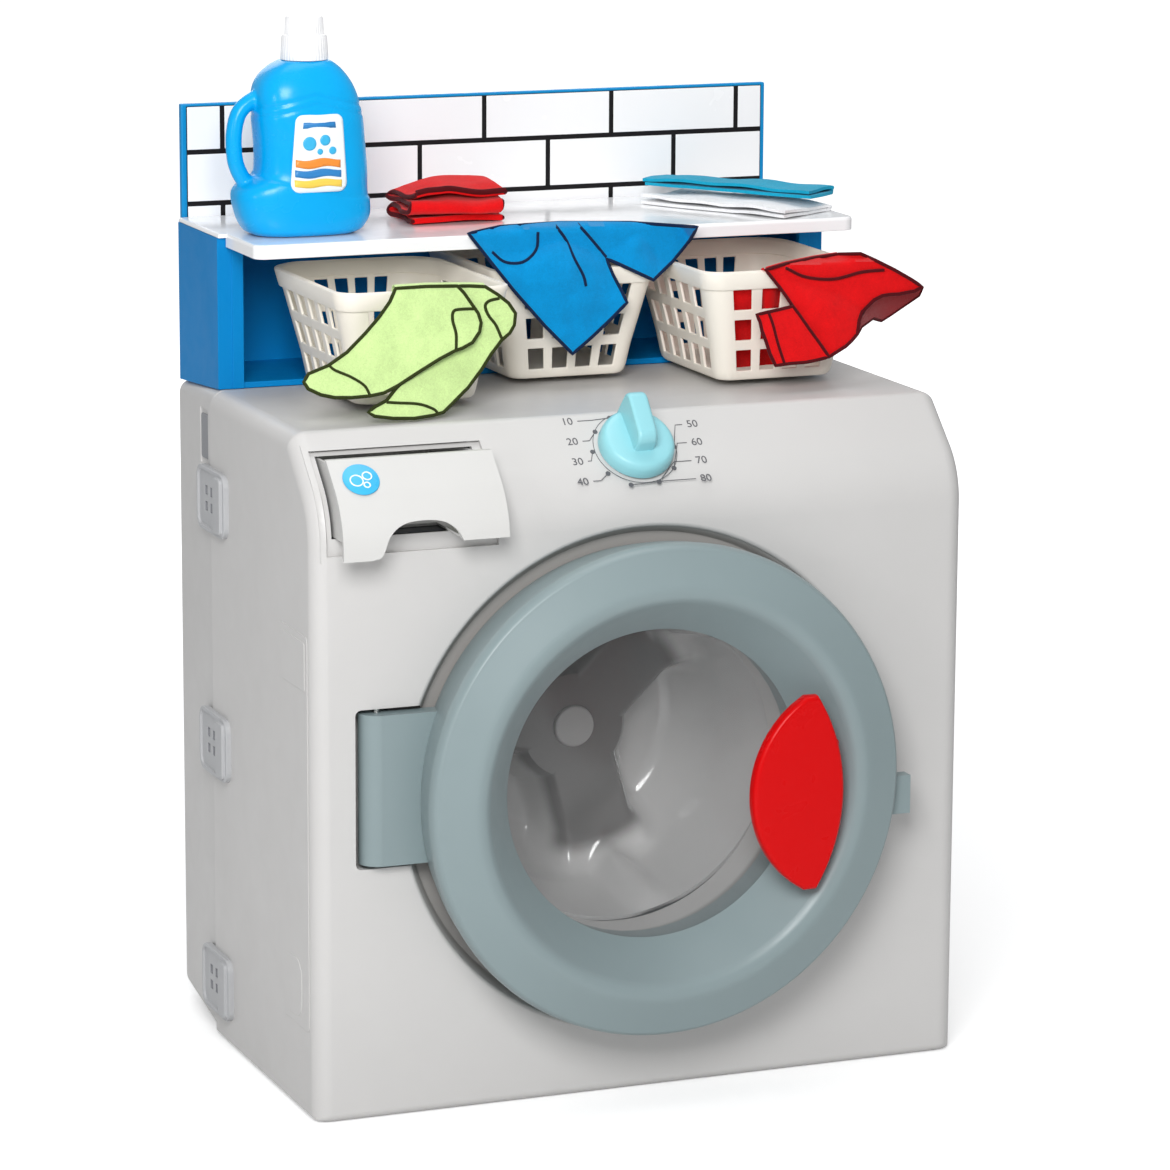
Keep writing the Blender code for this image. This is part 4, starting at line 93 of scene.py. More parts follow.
def make_camera():
    """The camera of the photograph."""
    data = bpy.data.cameras.new("photo_camera")
    data.sensor_width = SENSOR
    data.lens = SENSOR * FOCAL_PIXELS / PHOTO_SIZE
    data.clip_start, data.clip_end = 0.1, 30
    camera = bpy.data.objects.new("photo_camera", data)
    rotate = Matrix((camera_right, camera_up, -forward)).transposed().to_4x4()
    camera.matrix_world = Matrix.Translation(EYE) @ rotate
    bpy.context.scene.collection.objects.link(camera)
    bpy.context.scene.camera = camera


# Materials
def wire(tree, source, output, target, socket):
    tree.links.new(source.outputs[output], target.inputs[socket])


def add_node(tree, kind, **values):
    node = tree.nodes.new(kind)
    for key, value in values.items():
        name = key.replace("_", " ")
        if name in node.inputs:
            node.inputs[name].default_value = value
        else:
            setattr(node, key, value)
    return node


def remap(tree, source, output, start, end, low, high, way="LINEAR"):
    """Maps what lies between start and end to what lies between low and high."""
    node = add_node(tree, "ShaderNodeMapRange", From_Min=start, From_Max=end, To_Min=low, To_Max=high)
    node.interpolation_type = way
    wire(tree, source, output, node, "Value")
    return node


def spread(tree, source, output, low, high):
    """Maps a noise value to a range, as wide as the noise usually is."""
    return remap(tree, source, output, 0.3, 0.7, low, high)


def colour_mix(tree, blend="MIX"):
    node = tree.nodes.new("ShaderNodeMix")
    node.data_type, node.blend_type = "RGBA", blend
    return node


def tinted(tree, source, output, dark, light):
    """Mixes two colours by a noise value."""
    share = spread(tree, source, output, 0.0, 1.0)
    node = colour_mix(tree)
    node.inputs["A"].default_value = (*dark, 1)
    node.inputs["B"].default_value = (*light, 1)
    tree.links.new(share.outputs["Result"], node.inputs["Factor"])
    return node


def base_material(name):
    """A new material with its tree, its shader and a place to read coordinates from."""
    made = bpy.data.materials.new(name)
    made.use_nodes = True
    tree = made.node_tree
    shader = tree.nodes["Principled BSDF"]
    place = tree.nodes.new("ShaderNodeTexCoord")
    return made, tree, shader, place


def noise_node(tree, place, scale, detail=3.0, rough=0.5, distortion=0.0):
    node = add_node(tree, "ShaderNodeTexNoise", Scale=scale, Detail=detail, Roughness=rough,
        Distortion=distortion)
    wire(tree, place, "Object", node, "Vector")
    return node


def colour_pair(colour, spread_share):
    """A darker and a lighter form of a colour."""
    dark = [c * (1 - spread_share) for c in colour]
    light = [min(c * (1 + spread_share), 1.0) for c in colour]
    return dark, light


def plastic(name, colour, roughness, mottle=0.03, grain=900, grain_depth=0.00005, coat=0.0, specular=0.5):
    """Moulded plastic: faint flow marks, a fine grain and uneven gloss."""
    made, tree, shader, place = base_material(name)
    cloud = noise_node(tree, place, 7.0, 4.0)
    mix = tinted(tree, cloud, "Fac", *colour_pair(colour, mottle))
    wire(tree, mix, "Result", shader, "Base Color")
    smears = noise_node(tree, place, 38.0, 3.0, 0.6, 0.4)
    gloss = spread(tree, smears, "Fac", max(roughness - 0.05, 0.02), roughness + 0.06)
    wire(tree, gloss, "Result", shader, "Roughness")
    grains = noise_node(tree, place, grain, 2.0)
    waves = noise_node(tree, place, 16.0, 1.0)
    low = add_node(tree, "ShaderNodeBump", Strength=0.25, Distance=0.0003)
    wire(tree, waves, "Fac", low, "Height")
    bump = add_node(tree, "ShaderNodeBump", Strength=0.5, Distance=grain_depth)
    wire(tree, grains, "Fac", bump, "Height")
    wire(tree, low, "Normal", bump, "Normal")
    wire(tree, bump, "Normal", shader, "Normal")
    shader.inputs["Specular IOR Level"].default_value = specular
    shader.inputs["Coat Weight"].default_value = coat
    shader.inputs["Coat Roughness"].default_value = 0.12
    return made


def felt(name, colour, sheen=0.25, nap=620.0):
    """Pressed felt: matted fibres, uneven dye and a soft nap."""
    made, tree, shader, place = base_material(name)
    fibres = noise_node(tree, place, nap, 6.0, 0.75, 1.6)
    patches = noise_node(tree, place, 55.0, 4.0, 0.6)
    mix = tinted(tree, fibres, "Fac", *colour_pair(colour, 0.16))
    dull = tinted(tree, patches, "Fac", (0.86, 0.86, 0.86), (1, 1, 1))
    both = colour_mix(tree, "MULTIPLY")
    both.inputs["Factor"].default_value = 1.0
    wire(tree, mix, "Result", both, "A")
    wire(tree, dull, "Result", both, "B")
    wire(tree, both, "Result", shader, "Base Color")
    shader.inputs["Roughness"].default_value = 0.95
    shader.inputs["Sheen Weight"].default_value = sheen
    shader.inputs["Sheen Roughness"].default_value = 0.5
    shader.inputs["Specular IOR Level"].default_value = 0.15
    bump = add_node(tree, "ShaderNodeBump", Strength=0.7, Distance=0.0004)
    wire(tree, fibres, "Fac", bump, "Height")
    wire(tree, bump, "Normal", shader, "Normal")
    return made


def metal(name, colour, roughness):
    """Zinc-plated steel with fine drawn lines."""
    made, tree, shader, place = base_material(name)
    lines = noise_node(tree, place, 420.0, 2.0)
    mix = tinted(tree, lines, "Fac", *colour_pair(colour, 0.10))
    wire(tree, mix, "Result", shader, "Base Color")
    gloss = spread(tree, lines, "Fac", roughness - 0.08, roughness + 0.10)
    wire(tree, gloss, "Result", shader, "Roughness")
    shader.inputs["Metallic"].default_value = 1.0
    return made


def clear_plastic():
    """The window: nearly clear, with more shine at a slant."""
    made, tree, shader, place = base_material("window_clear")
    shader.inputs["Base Color"].default_value = (0.45, 0.47, 0.48, 1)
    shader.inputs["Specular IOR Level"].default_value = 0.6
    slant = add_node(tree, "ShaderNodeLayerWeight", Blend=0.35)
    share = remap(tree, slant, "Facing", 0.0, 1.0, 0.03, 0.45)
    wire(tree, share, "Result", shader, "Alpha")
    smears = noise_node(tree, place, 24.0, 3.0)
    gloss = spread(tree, smears, "Fac", 0.03, 0.09)
    wire(tree, gloss, "Result", shader, "Roughness")
    return made


CASE = plastic("case_plastic", (0.565, 0.555, 0.545), 0.42, 0.02, 1100, 0.00006)
# Painted shade: the side clips take the case's grey darkened, standing for the shading on them.
CLIP_SHADED = plastic("clip_painted_shade", (0.43, 0.435, 0.445), 0.45)
RING = plastic("ring_plastic", (0.225, 0.285, 0.295), 0.38, 0.03, 1000, 0.00004)
RED = plastic("handle_plastic", (0.60, 0.0, 0.001), 0.30, 0.02, 800, 0.00001, 0.0, 0.16)
DRUM = plastic("drum_plastic", (0.56, 0.555, 0.55), 0.17, 0.04, 700, 0.000005, 0.5)
DRUM_LIGHT = plastic("hub_plastic", (0.40, 0.39, 0.385), 0.3, 0.04)
AQUA = plastic("knob_plastic", (0.27, 0.60, 0.66), 0.36)
DRAWER = plastic("drawer_plastic", (0.585, 0.58, 0.565), 0.42, 0.02)
# Painted shade: a dark grey for the floors of shallow recesses, the clips' windows and the side pocket.
RECESS_SHADE = plastic("recess_painted_shade", (0.25, 0.255, 0.27), 0.45)
# Black for the hidden inner parts, and painted shade on the drawer guide seen through the drawer's gaps.
DARK = plastic("dark_plastic_and_painted_shade", (0.045, 0.047, 0.05), 0.45, 0.08)
BLUE = plastic("unit_plastic", (0.0, 0.21, 0.54), 0.42, 0.05, 900, 0.00005, 0.0, 0.14)
BLUE_BACK = plastic("board_plastic", (0.0, 0.25, 0.57), 0.40, 0.05, 900, 0.00005, 0.0, 0.3)
WHITE = plastic("shelf_plastic", (0.93, 0.93, 0.94), 0.16, 0.01, 900, 0.00001, 0.3)
TILE = plastic("tile_print", (0.90, 0.895, 0.90), 0.22, 0.02, 900, 0.00001, 0.2)
GROUT = plastic("tile_joint", (0.006, 0.005, 0.006), 0.6, 0.2, 900, 0.00001, 0.0, 0.2)
CREAM = plastic("basket_plastic", (0.86, 0.81, 0.72), 0.42, 0.03)
BOTTLE = plastic("bottle_plastic", (0.0, 0.36, 0.76), 0.24, 0.06, 800, 0.00002, 0.0, 0.28)
CAP = plastic("cap_plastic", (0.87, 0.87, 0.88), 0.30, 0.01)
PRINT_GREY = plastic("dial_ink", (0.10, 0.10, 0.11), 0.5, 0.1)
BADGE = plastic("badge_blue", (0.04, 0.42, 0.72), 0.3, 0.04)
ORANGE = plastic("label_orange", (0.80, 0.25, 0.03), 0.4, 0.05)
YELLOW = plastic("label_yellow", (0.85, 0.58, 0.08), 0.4, 0.05)
LABEL_WHITE = plastic("label_white", (0.80, 0.86, 0.90), 0.35, 0.02)
LABEL_BLUE = plastic("label_blue", (0.02, 0.20, 0.50), 0.4, 0.05)
STEEL = metal("zinc_steel", (0.62, 0.62, 0.60), 0.32)
BRASS = metal("cell_metal", (0.62, 0.48, 0.22), 0.35)
FELT_GREEN = felt("felt_green", (0.60, 0.80, 0.33))
FELT_BLUE = felt("felt_blue", (0.0, 0.27, 0.62), 0.08)
FELT_RED = felt("felt_red", (0.74, 0.004, 0.006), 0.08)
# Painted shade: the red felt darkened, for the shirt's turned-up fold that lies in shade.
FELT_RED_SHADED = felt("felt_red_painted_shade", (0.30, 0.006, 0.010))
FELT_TEAL = felt("felt_teal", (0.008, 0.36, 0.56), 0.08)
FELT_WHITE = felt("felt_white", (0.90, 0.91, 0.94))
EDGE_GREEN = felt("edge_olive", (0.030, 0.040, 0.008), 0.05)
EDGE_BLUE = felt("edge_navy", (0.006, 0.018, 0.06), 0.05)
EDGE_RED = felt("edge_maroon", (0.085, 0.003, 0.006), 0.05)
WINDOW = clear_plastic()


def vector_step(tree, source, output, operation, value=None):
    node = add_node(tree, "ShaderNodeVectorMath", operation=operation)
    if value is not None:
        node.inputs[1].default_value = value
    tree.links.new(source.outputs[output], node.inputs[0])
    return node


def darken(made, centre, depth, reach, tint):
    """Paints shade: tints what lies near the centre's depth, and near the axis along y through it.

    Depth and reach each say how far the full tint goes, and where it ends.
    """
    tree = made.node_tree
    shader = tree.nodes["Principled BSDF"]
    source = shader.inputs["Base Color"].links[0].from_socket
    place = tree.nodes.new("ShaderNodeTexCoord")
    away = vector_step(tree, place, "Object", "SUBTRACT", centre)
    both = add_node(tree, "ShaderNodeMath", operation="MULTIPLY")
    for socket, kept_axes, (near, far) in zip(both.inputs, ((0, 1, 0), (1, 0, 1)), (depth, reach)):
        flat = vector_step(tree, away, "Vector", "MULTIPLY", kept_axes)
        length = vector_step(tree, flat, "Vector", "LENGTH")
        share = remap(tree, length, "Value", near, far, 1.0, 0.0, "SMOOTHSTEP")
        tree.links.new(share.outputs["Result"], socket)
    mix = colour_mix(tree, "MULTIPLY")
    mix.inputs["B"].default_value = (*tint, 1)
    tree.links.new(both.outputs["Value"], mix.inputs["Factor"])
    tree.links.new(source, mix.inputs["A"])
    wire(tree, mix, "Result", shader, "Base Color")


# Painted shade: the drum's raised web round the hub is darkened, standing for the weaker light that falls
# there.
darken(DRUM, (0, DRUM_WEB_Y, DRUM_Z), (0.004, 0.020), (0.080, 0.094), (0.24, 0.23, 0.225))
# Painted shade: the dish floor round the door ring is darkened, standing for the ring's shadow in the dish.
darken(CASE, (0, FRONT_Y + DISH_DEPTH, DOOR_Z), (0.003, 0.0094), (0.1685, 0.1699), (0.56, 0.545, 0.53))


# Geometry helpers
def circle(radius, steps):
    return [(radius * math.cos(a), radius * math.sin(a)) for a in [
        math.tau * i / steps for i in range(steps)]]


def grid_faces(rows, columns, start=0):
    """Quads between rows of points, each with one point more than there are columns."""
    faces = []
    for r in range(rows):
        for c in range(columns):
            k = start + r * (columns + 1) + c
            faces.append((k, k + 1, k + columns + 2, k + columns + 1))
    return faces


def link(obj):
    bpy.context.scene.collection.objects.link(obj)
    return obj


def shade(mesh, degrees):
    """Smooth shading, with an edge wherever faces meet at more than the angle."""
    mesh.shade_smooth()
    mesh.set_sharp_from_angle(angle=math.radians(degrees))


def piece(name, points, faces, look, degrees=35):
    """A mesh object from points and faces, with its faces turned outward."""
    mesh = bpy.data.meshes.new(name)
    mesh.from_pydata([tuple(p) for p in points], [], faces)
    work = bmesh.new()
    work.from_mesh(mesh)
    bmesh.ops.recalc_face_normals(work, faces=work.faces)
    work.to_mesh(mesh)
    work.free()
    mesh.materials.append(look)
    shade(mesh, degrees)
    return link(bpy.data.objects.new(name, mesh))


def settle(obj, degrees=35):
    """Turns what the modifiers make into the object's own mesh."""
    graph = bpy.context.evaluated_depsgraph_get()
    mesh = bpy.data.meshes.new_from_object(obj.evaluated_get(graph), depsgraph=graph)
    obj.modifiers.clear()
    obj.data = mesh
    shade(mesh, degrees)
    return obj


def as_mesh(obj, look):
    """Turns a curve or text object into a mesh object of the same name."""
    graph = bpy.context.evaluated_depsgraph_get()
    mesh = bpy.data.meshes.new_from_object(obj.evaluated_get(graph), depsgraph=graph)
    mesh.transform(obj.matrix_world)
    name = obj.name
    bpy.data.objects.remove(obj, do_unlink=True)
    mesh.materials.clear()
    mesh.materials.append(look)
    return link(bpy.data.objects.new(name, mesh))


def thicken(obj, thickness, offset=-1.0):
    wall = obj.modifiers.new("thickness", "SOLIDIFY")
    wall.thickness, wall.offset = thickness, offset
    return wall


def carve(obj, steps, degrees=35, looks="INDEX"):
    """Cuts or joins other objects, in order, and removes them."""
    for operation, tool in steps:
        made = obj.modifiers.new(tool.name, "BOOLEAN")
        made.solver = "EXACT"
        made.operation = operation
        made.material_mode = looks
        made.object = tool
    settle(obj, degrees)
    for _, tool in steps:
        bpy.data.objects.remove(tool, do_unlink=True)
    return obj


def soften(obj, width, segments=2, degrees=40):
    """Rounds the edges and keeps flat faces flat."""
    bevel = obj.modifiers.new("edges", "BEVEL")
    bevel.width = width
    bevel.segments = segments
    bevel.limit_method = "ANGLE"
    bevel.angle_limit = math.radians(degrees)
    bevel.harden_normals = False
    flat = obj.modifiers.new("shading", "WEIGHTED_NORMAL")
    flat.keep_sharp = True
    return obj


def blocks(name, pairs, look):
    points, faces = [], []
    for low, high in pairs:
        start = len(points)
        xs, ys, zs = zip(low, high)
        points += [(x, y, z) for x in xs for y in ys for z in zs]
        for face in ((0, 1, 3, 2), (4, 6, 7, 5), (0, 4, 5, 1), (2, 3, 7, 6), (0, 2, 6, 4), (1, 5, 7, 3)):
            faces.append(tuple(start + i for i in face))
    return piece(name, points, faces, look)


def block(name, low, high, look):
    return blocks(name, [(low, high)], look)


def loft(name, rings, look, degrees=35, closed=False):
    """A skin over rings of points, capped at both ends unless it is closed."""
    count = len(rings[0])
    points = [p for ring in rings for p in ring]
    faces = []
    levels = len(rings)
    for level in range(levels if closed else levels - 1):
        for i in range(count):
            j = (i + 1) % count
            low, high = level * count, (level + 1) % levels * count
            faces.append((low + i, low + j, high + j, high + i))
    if not closed:
        faces.append(tuple(range(count)))
        faces.append(tuple((levels - 1) * count + i for i in range(count)))
    return piece(name, points, faces, look, degrees)


def prism(name, outline, axis, low, high, look, degrees=35):
    """An outline drawn out along an axis."""
    place = {
        "X": lambda p, level: (level, p[0], p[1]),
        "Y": lambda p, level: (p[0], level, p[1]),
        "Z": lambda p, level: (p[0], p[1], level),
    }[axis]
    return loft(name, [[place(p, level) for p in outline] for level in (low, high)], look, degrees)


def lathe(name, profile, place, segments, look, degrees=35):
    """Turns a closed outline of (radius, height), or a function of the angle, about local z."""
    angles = [math.tau * i / segments for i in range(segments)]
    outlines = [profile(a) if callable(profile) else profile for a in angles]
    points, index = [], []
    for k in range(len(outlines[0])):
        row = []
        for a, outline in zip(angles, outlines):
            radius, height = outline[k]
            if radius == 0 and row:
                row.append(row[0])
                continue
            row.append(len(points))
            points.append(place @ Vector((radius * math.cos(a), radius * math.sin(a), height)))
        index.append(row)
    faces = []
    for k, row in enumerate(index):
        other = index[(k + 1) % len(index)]
        for i in range(segments):
            j = (i + 1) % segments
            corners = []
            for corner in (row[i], row[j], other[j], other[i]):
                if corner not in corners:
                    corners.append(corner)
            if len(corners) > 2:
                faces.append(tuple(corners))
    return piece(name, points, faces, look, degrees)


def rod(name, place, radius, low, high, segments, look):
    return lathe(name, [(0, low), (radius, low), (radius, high), (0, high)], place, segments, look)


def along_y(x, z):
    """A frame whose z runs along y."""
    return Matrix.Translation((x, 0, z)) @ Matrix.Rotation(-math.pi / 2, 4, "X")


def fillet(corner, toward_in, toward_out, radius, steps):
    """An arc that rounds the corner between two directions."""
    corner, a, b = Vector(corner), Vector(toward_in).normalized(), Vector(toward_out).normalized()
    half = a.angle(b) / 2
    centre = corner + (a + b).normalized() * (radius / math.sin(half))
    start = corner + a * (radius / math.tan(half)) - centre
    end = corner + b * (radius / math.tan(half)) - centre
    turn = math.atan2(start.x * end.y - start.y * end.x, start.dot(end))
    arc = []
    for i in range(steps + 1):
        c, s = math.cos(turn * i / steps), math.sin(turn * i / steps)
        arc.append((centre.x + start.x * c - start.y * s, centre.y + start.x * s + start.y * c))
    return arc


def rounded(corners, radii, steps):
    outline = []
    for i, corner in enumerate(corners):
        before = Vector(corners[i - 1]) - Vector(corner)
        after = Vector(corners[(i + 1) % len(corners)]) - Vector(corner)
        outline += fillet(corner, before, after, radii[i], steps)
    return outline


def rounded_rectangle(x0, x1, z0, z1, radius, steps):
    return rounded([(x0, z0), (x1, z0), (x1, z1), (x0, z1)], [radius] * 4, steps)


def smooth_line(points, count):
    """Catmull-Rom points through a short list."""
    points = [Vector(p) for p in points]
    ends = [points[0] * 2 - points[1]] + points + [points[-1] * 2 - points[-2]]
    spans = len(points) - 1
    line = []
    for i in range(count + 1):
        t = spans * i / count
        k = min(int(t), spans - 1)
        f = t - k
        p0, p1, p2, p3 = ends[k:k + 4]
        line.append(0.5 * (2 * p1 + (p2 - p0) * f + (2 * p0 - 5 * p1 + 4 * p2 - p3) * f * f
                           + (3 * p1 - p0 - 3 * p2 + p3) * f ** 3))
    return line


def tube(name, points, radius, look, closed=False, sides=3):
    """A thin round line, such as a printed stroke or a seam."""
    curve = bpy.data.curves.new(name, "CURVE")
    curve.dimensions = "3D"
    curve.bevel_depth = radius
    curve.bevel_resolution = sides
    curve.use_fill_caps = True
    line = curve.splines.new("POLY")
    line.points.add(len(points) - 1)
    for spot, p in zip(line.points, points):
        spot.co = (*p, 1.0)
    line.use_cyclic_u = closed
    curve.materials.append(look)
    return link(bpy.data.objects.new(name, curve))


def put(obj, body, stands_for=()):
    """Lets a piece ride on a body, with the CAD nodes that it stands for."""
    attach(obj, body)
    if stands_for:
        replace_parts(obj, *stands_for)
    return obj


def paint(look, *names):
    for name in names:
        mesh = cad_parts[name].data
        mesh.materials.clear()
        mesh.materials.append(look)


# Case
PANEL_CORNER_Z = CASE_H - (PANEL_TOP_Y - FRONT_Y) * math.tan(PANEL_TILT)
PANEL_NORMAL = Vector((0, -math.sin(PANEL_TILT), math.cos(PANEL_TILT)))
PANEL_UP = Vector((0, math.cos(PANEL_TILT), math.sin(PANEL_TILT)))
PANEL_POINT = Vector((0, PANEL_TOP_Y, CASE_H))


def case_outline(inset, rear_y, bottom_share):
    """The case's side view, moved inward by inset."""
    top_y = PANEL_TOP_Y + inset * math.tan(PANEL_TILT / 2)
    corner_z = PANEL_CORNER_Z - inset * (1 - math.sin(PANEL_TILT)) / math.cos(PANEL_TILT)
    bottom, front, top = inset * bottom_share, FRONT_Y + inset, CASE_H - inset
    slope = (PANEL_UP.y, PANEL_UP.z)
    outline = [(rear_y, bottom)]
    outline += fillet((front, bottom), (1, 0), (0, 1), max(FOOT_R - inset, 0.0006), 4)
    outline += fillet((front, corner_z), (0, -1), slope, max(PANEL_BLEND_R - inset, 0.0006), 18)
    outline += fillet((top_y, top), (-slope[0], -slope[1]), (1, 0), max(TOP_EDGE_R - inset, 0.0006), 6)
    outline.append((rear_y, top))
    return outline


def panel_front_y(z, inset):
    """Where the front of the case lies at height z, moved inward by inset."""
    blend = PANEL_BLEND_R - inset
    reach = PANEL_BLEND_R * math.tan((math.pi / 2 - PANEL_TILT) / 2)
    centre_z = PANEL_CORNER_Z - reach
    if z <= centre_z:
        return FRONT_Y + inset
    if z <= centre_z + blend * math.cos(PANEL_TILT):
        return FRONT_Y + PANEL_BLEND_R - math.sqrt(blend ** 2 - (z - centre_z) ** 2)
    return PANEL_TOP_Y - (CASE_H - inset / math.cos(PANEL_TILT) - z) / math.tan(PANEL_TILT)


def case_block(name, inset, rear_y):
    """The front half as a solid block, moved inward by inset."""
    half_w, radius = CASE_W / 2 - inset, SIDE_R - inset
    rings = []
    angles = [math.pi / 2 * i / 7 for i in range(8)]
    for side, order in ((-1, reversed(angles)), (1, angles)):
        for a in order:
            x = side * (half_w - radius + radius * math.sin(a))
            extra = radius * (1 - math.cos(a))
            total = inset + extra
            share = (inset + extra * BOTTOM_ROUND_SHARE) / total if total > 0 else 1.0
            rings.append([(x, y, z) for y, z in case_outline(total, rear_y, share)])
    return loft(name, rings, CASE)


CLIP_ROWS = (0.377, 0.209, 0.041)
CLIP_Y0, CLIP_Y1, CLIP_H, CLIP_T = 0.018, 0.078, 0.044, 0.0035
CLIP_SLOT_STARTS = (0.024, 0.060)
SLOT = (-0.2205, -0.1035, 0.3768, 0.4390)
HINGE_X, HINGE_Y, HINGE_Z = -0.186, -0.151, 0.222
COLLAR_R, COLLAR_LENGTH = 0.1085, 0.034


def clip_slots():
    """The slots in both halves of the case that the side clips snap into."""
    slots = []
    for side in (-1, 1):
        low, high = sorted((side * 0.2215, side * 0.236))
        for z in CLIP_ROWS:
            for start in CLIP_SLOT_STARTS:
                slots.append(((low, start - SLIT, z - 0.0123), (high, start + 0.0123, z + 0.0123)))
    return slots


def front_band(low, high, outer, inner):
    """A strip between two lines that follow the front of the case."""
    heights = [low + (high - low) * i / 14 for i in range(15)]
    return [(panel_front_y(z, outer), z) for z in heights] + [
        (panel_front_y(z, inner), z) for z in reversed(heights)]


def case_front():
    """The front half of the case, with its dish, slots, pocket and bores."""
    shell = case_block("case_front", 0.0, SEAM_Y)
    axis = along_y(0, DOOR_Z)
    floor_y = FRONT_Y + DISH_DEPTH
    collar_end = floor_y + COLLAR_LENGTH
    dish_back = [
        (0, FRONT_Y + 0.001), (DISH_R + WALL, FRONT_Y + 0.001), (DISH_R + WALL, floor_y + WALL),
        (COLLAR_R + WALL, floor_y + WALL), (COLLAR_R + WALL, collar_end), (0, collar_end),
    ]
    edge = fillet((DISH_R - 0.001, FRONT_Y), (1, 0), (0, 1), 0.0035, 5)
    floor_edge = fillet((DISH_FLOOR_R, floor_y), (0, -1), (-1, 0), 0.003, 3)
    collar_edge = fillet((COLLAR_R, floor_y), (1, 0), (0, 1), 0.003, 4)
    dish = [(0, FRONT_Y - 0.004), (edge[0][0], FRONT_Y - 0.004)] + edge + floor_edge + collar_edge
    dish += [(COLLAR_R, collar_end + 0.002), (0, collar_end + 0.002)]
    x0, x1 = HINGE_X - 0.016, HINGE_X + 0.031
    y1, half = HINGE_Y + 0.013, 0.053
    pocket_back = ((x0 - 0.005, FRONT_Y + 0.001, HINGE_Z - half - 0.005),
        (x1 + 0.005, y1 + WALL, HINGE_Z + half + 0.005))
    pocket = prism(
        "pocket", rounded_rectangle(x0, x1, HINGE_Z - half, HINGE_Z + half, 0.004, 4), "Y", FRONT_Y - 0.004,
        y1, CASE)
    slots = clip_slots()
    slots.append(((0.133, floor_y - 0.002, DOOR_Z - 0.0093), (0.147, floor_y + 0.006, DOOR_Z + 0.0093)))
    sx0, sx1, sz0, sz1 = SLOT
    slot = block("slot", (sx0 + 0.0042, FRONT_Y - 0.004, sz0 + 0.0108),
        (sx1 - 0.0056, PANEL_TOP_Y, sz1 - 0.0036), CASE)
    backing = prism("slot_backing", front_band(sz0 - 0.004, sz1 + 0.003, 0.0010, 0.0062), "X", sx0 - 0.004,
        sx1 + 0.004, CASE)
    recess = prism("slot_recess", front_band(sz0, sz1, -0.0040, 0.0028), "X", sx0, sx1, CASE)
    groove_left = prism("groove_left", front_band(sz0 + 0.001, sz1, -0.0040, 0.0058), "X", sx0, sx0 + 0.0011,
        CASE)
    groove_top = prism("groove_top", front_band(sz1 - 0.0011, sz1, -0.0040, 0.0058), "X", sx0, sx1 - 0.008,
        CASE)
    pin = Matrix.Translation((HINGE_X, HINGE_Y, 0))
    steps = [
        ("DIFFERENCE", case_block("inside", WALL, SEAM_Y + 0.002)),
        ("UNION", lathe("dish_back", dish_back, axis, 96, CASE)),
        ("UNION", block("pocket_back", *pocket_back, CASE)),
        ("UNION", backing),
        ("DIFFERENCE", lathe("dish", dish, axis, 144, CASE)),
        ("DIFFERENCE", pocket),
        ("DIFFERENCE", recess),
        ("DIFFERENCE", groove_left),
        ("DIFFERENCE", groove_top),
        ("DIFFERENCE", slot),
        ("DIFFERENCE", blocks("slots", slots, CASE)),
        ("DIFFERENCE", rod("pin_bore", pin, PIN_R, HINGE_Z - 0.06, HINGE_Z + 0.06, 16, CASE)),
        ("DIFFERENCE", rod("knob_bore", panel_frame(), AXLE_R, -0.006, 0.002, 24, CASE)),
    ]
    carve(shell, steps, 30)
    soften(shell, 0.0006, 2, 45)
    put(shell, "case", ["front_shell"])


def panel_frame():
    """The knob's frame: z along the panel's normal, y up the slope."""
    rotate = Matrix((
        (1, 0, 0, 0), (0, PANEL_UP.y, PANEL_NORMAL.y, 0), (0, PANEL_UP.z, PANEL_NORMAL.z, 0), (0, 0, 0, 1)))
    x, y = 0.0012, -0.1308
    return Matrix.Translation((x, y, CASE_H - (PANEL_TOP_Y - y) * math.tan(PANEL_TILT))) @ rotate


def rear_ring(y, inset, radius):
    """The rear half's outline at a depth, moved inward by inset."""
    share = (y - SEAM_Y) / (BACK_Y - SEAM_Y)
    half_w = CASE_W / 2 - SEAM_STEP - REAR_TAPER * share - inset
    top = CASE_H - REAR_TOP_DROP * share - inset
    bottom = REAR_FOOT_RISE * share + inset
    return [(x, y, z) for x, z in rounded_rectangle(-half_w, half_w, bottom, top, radius, 8)]


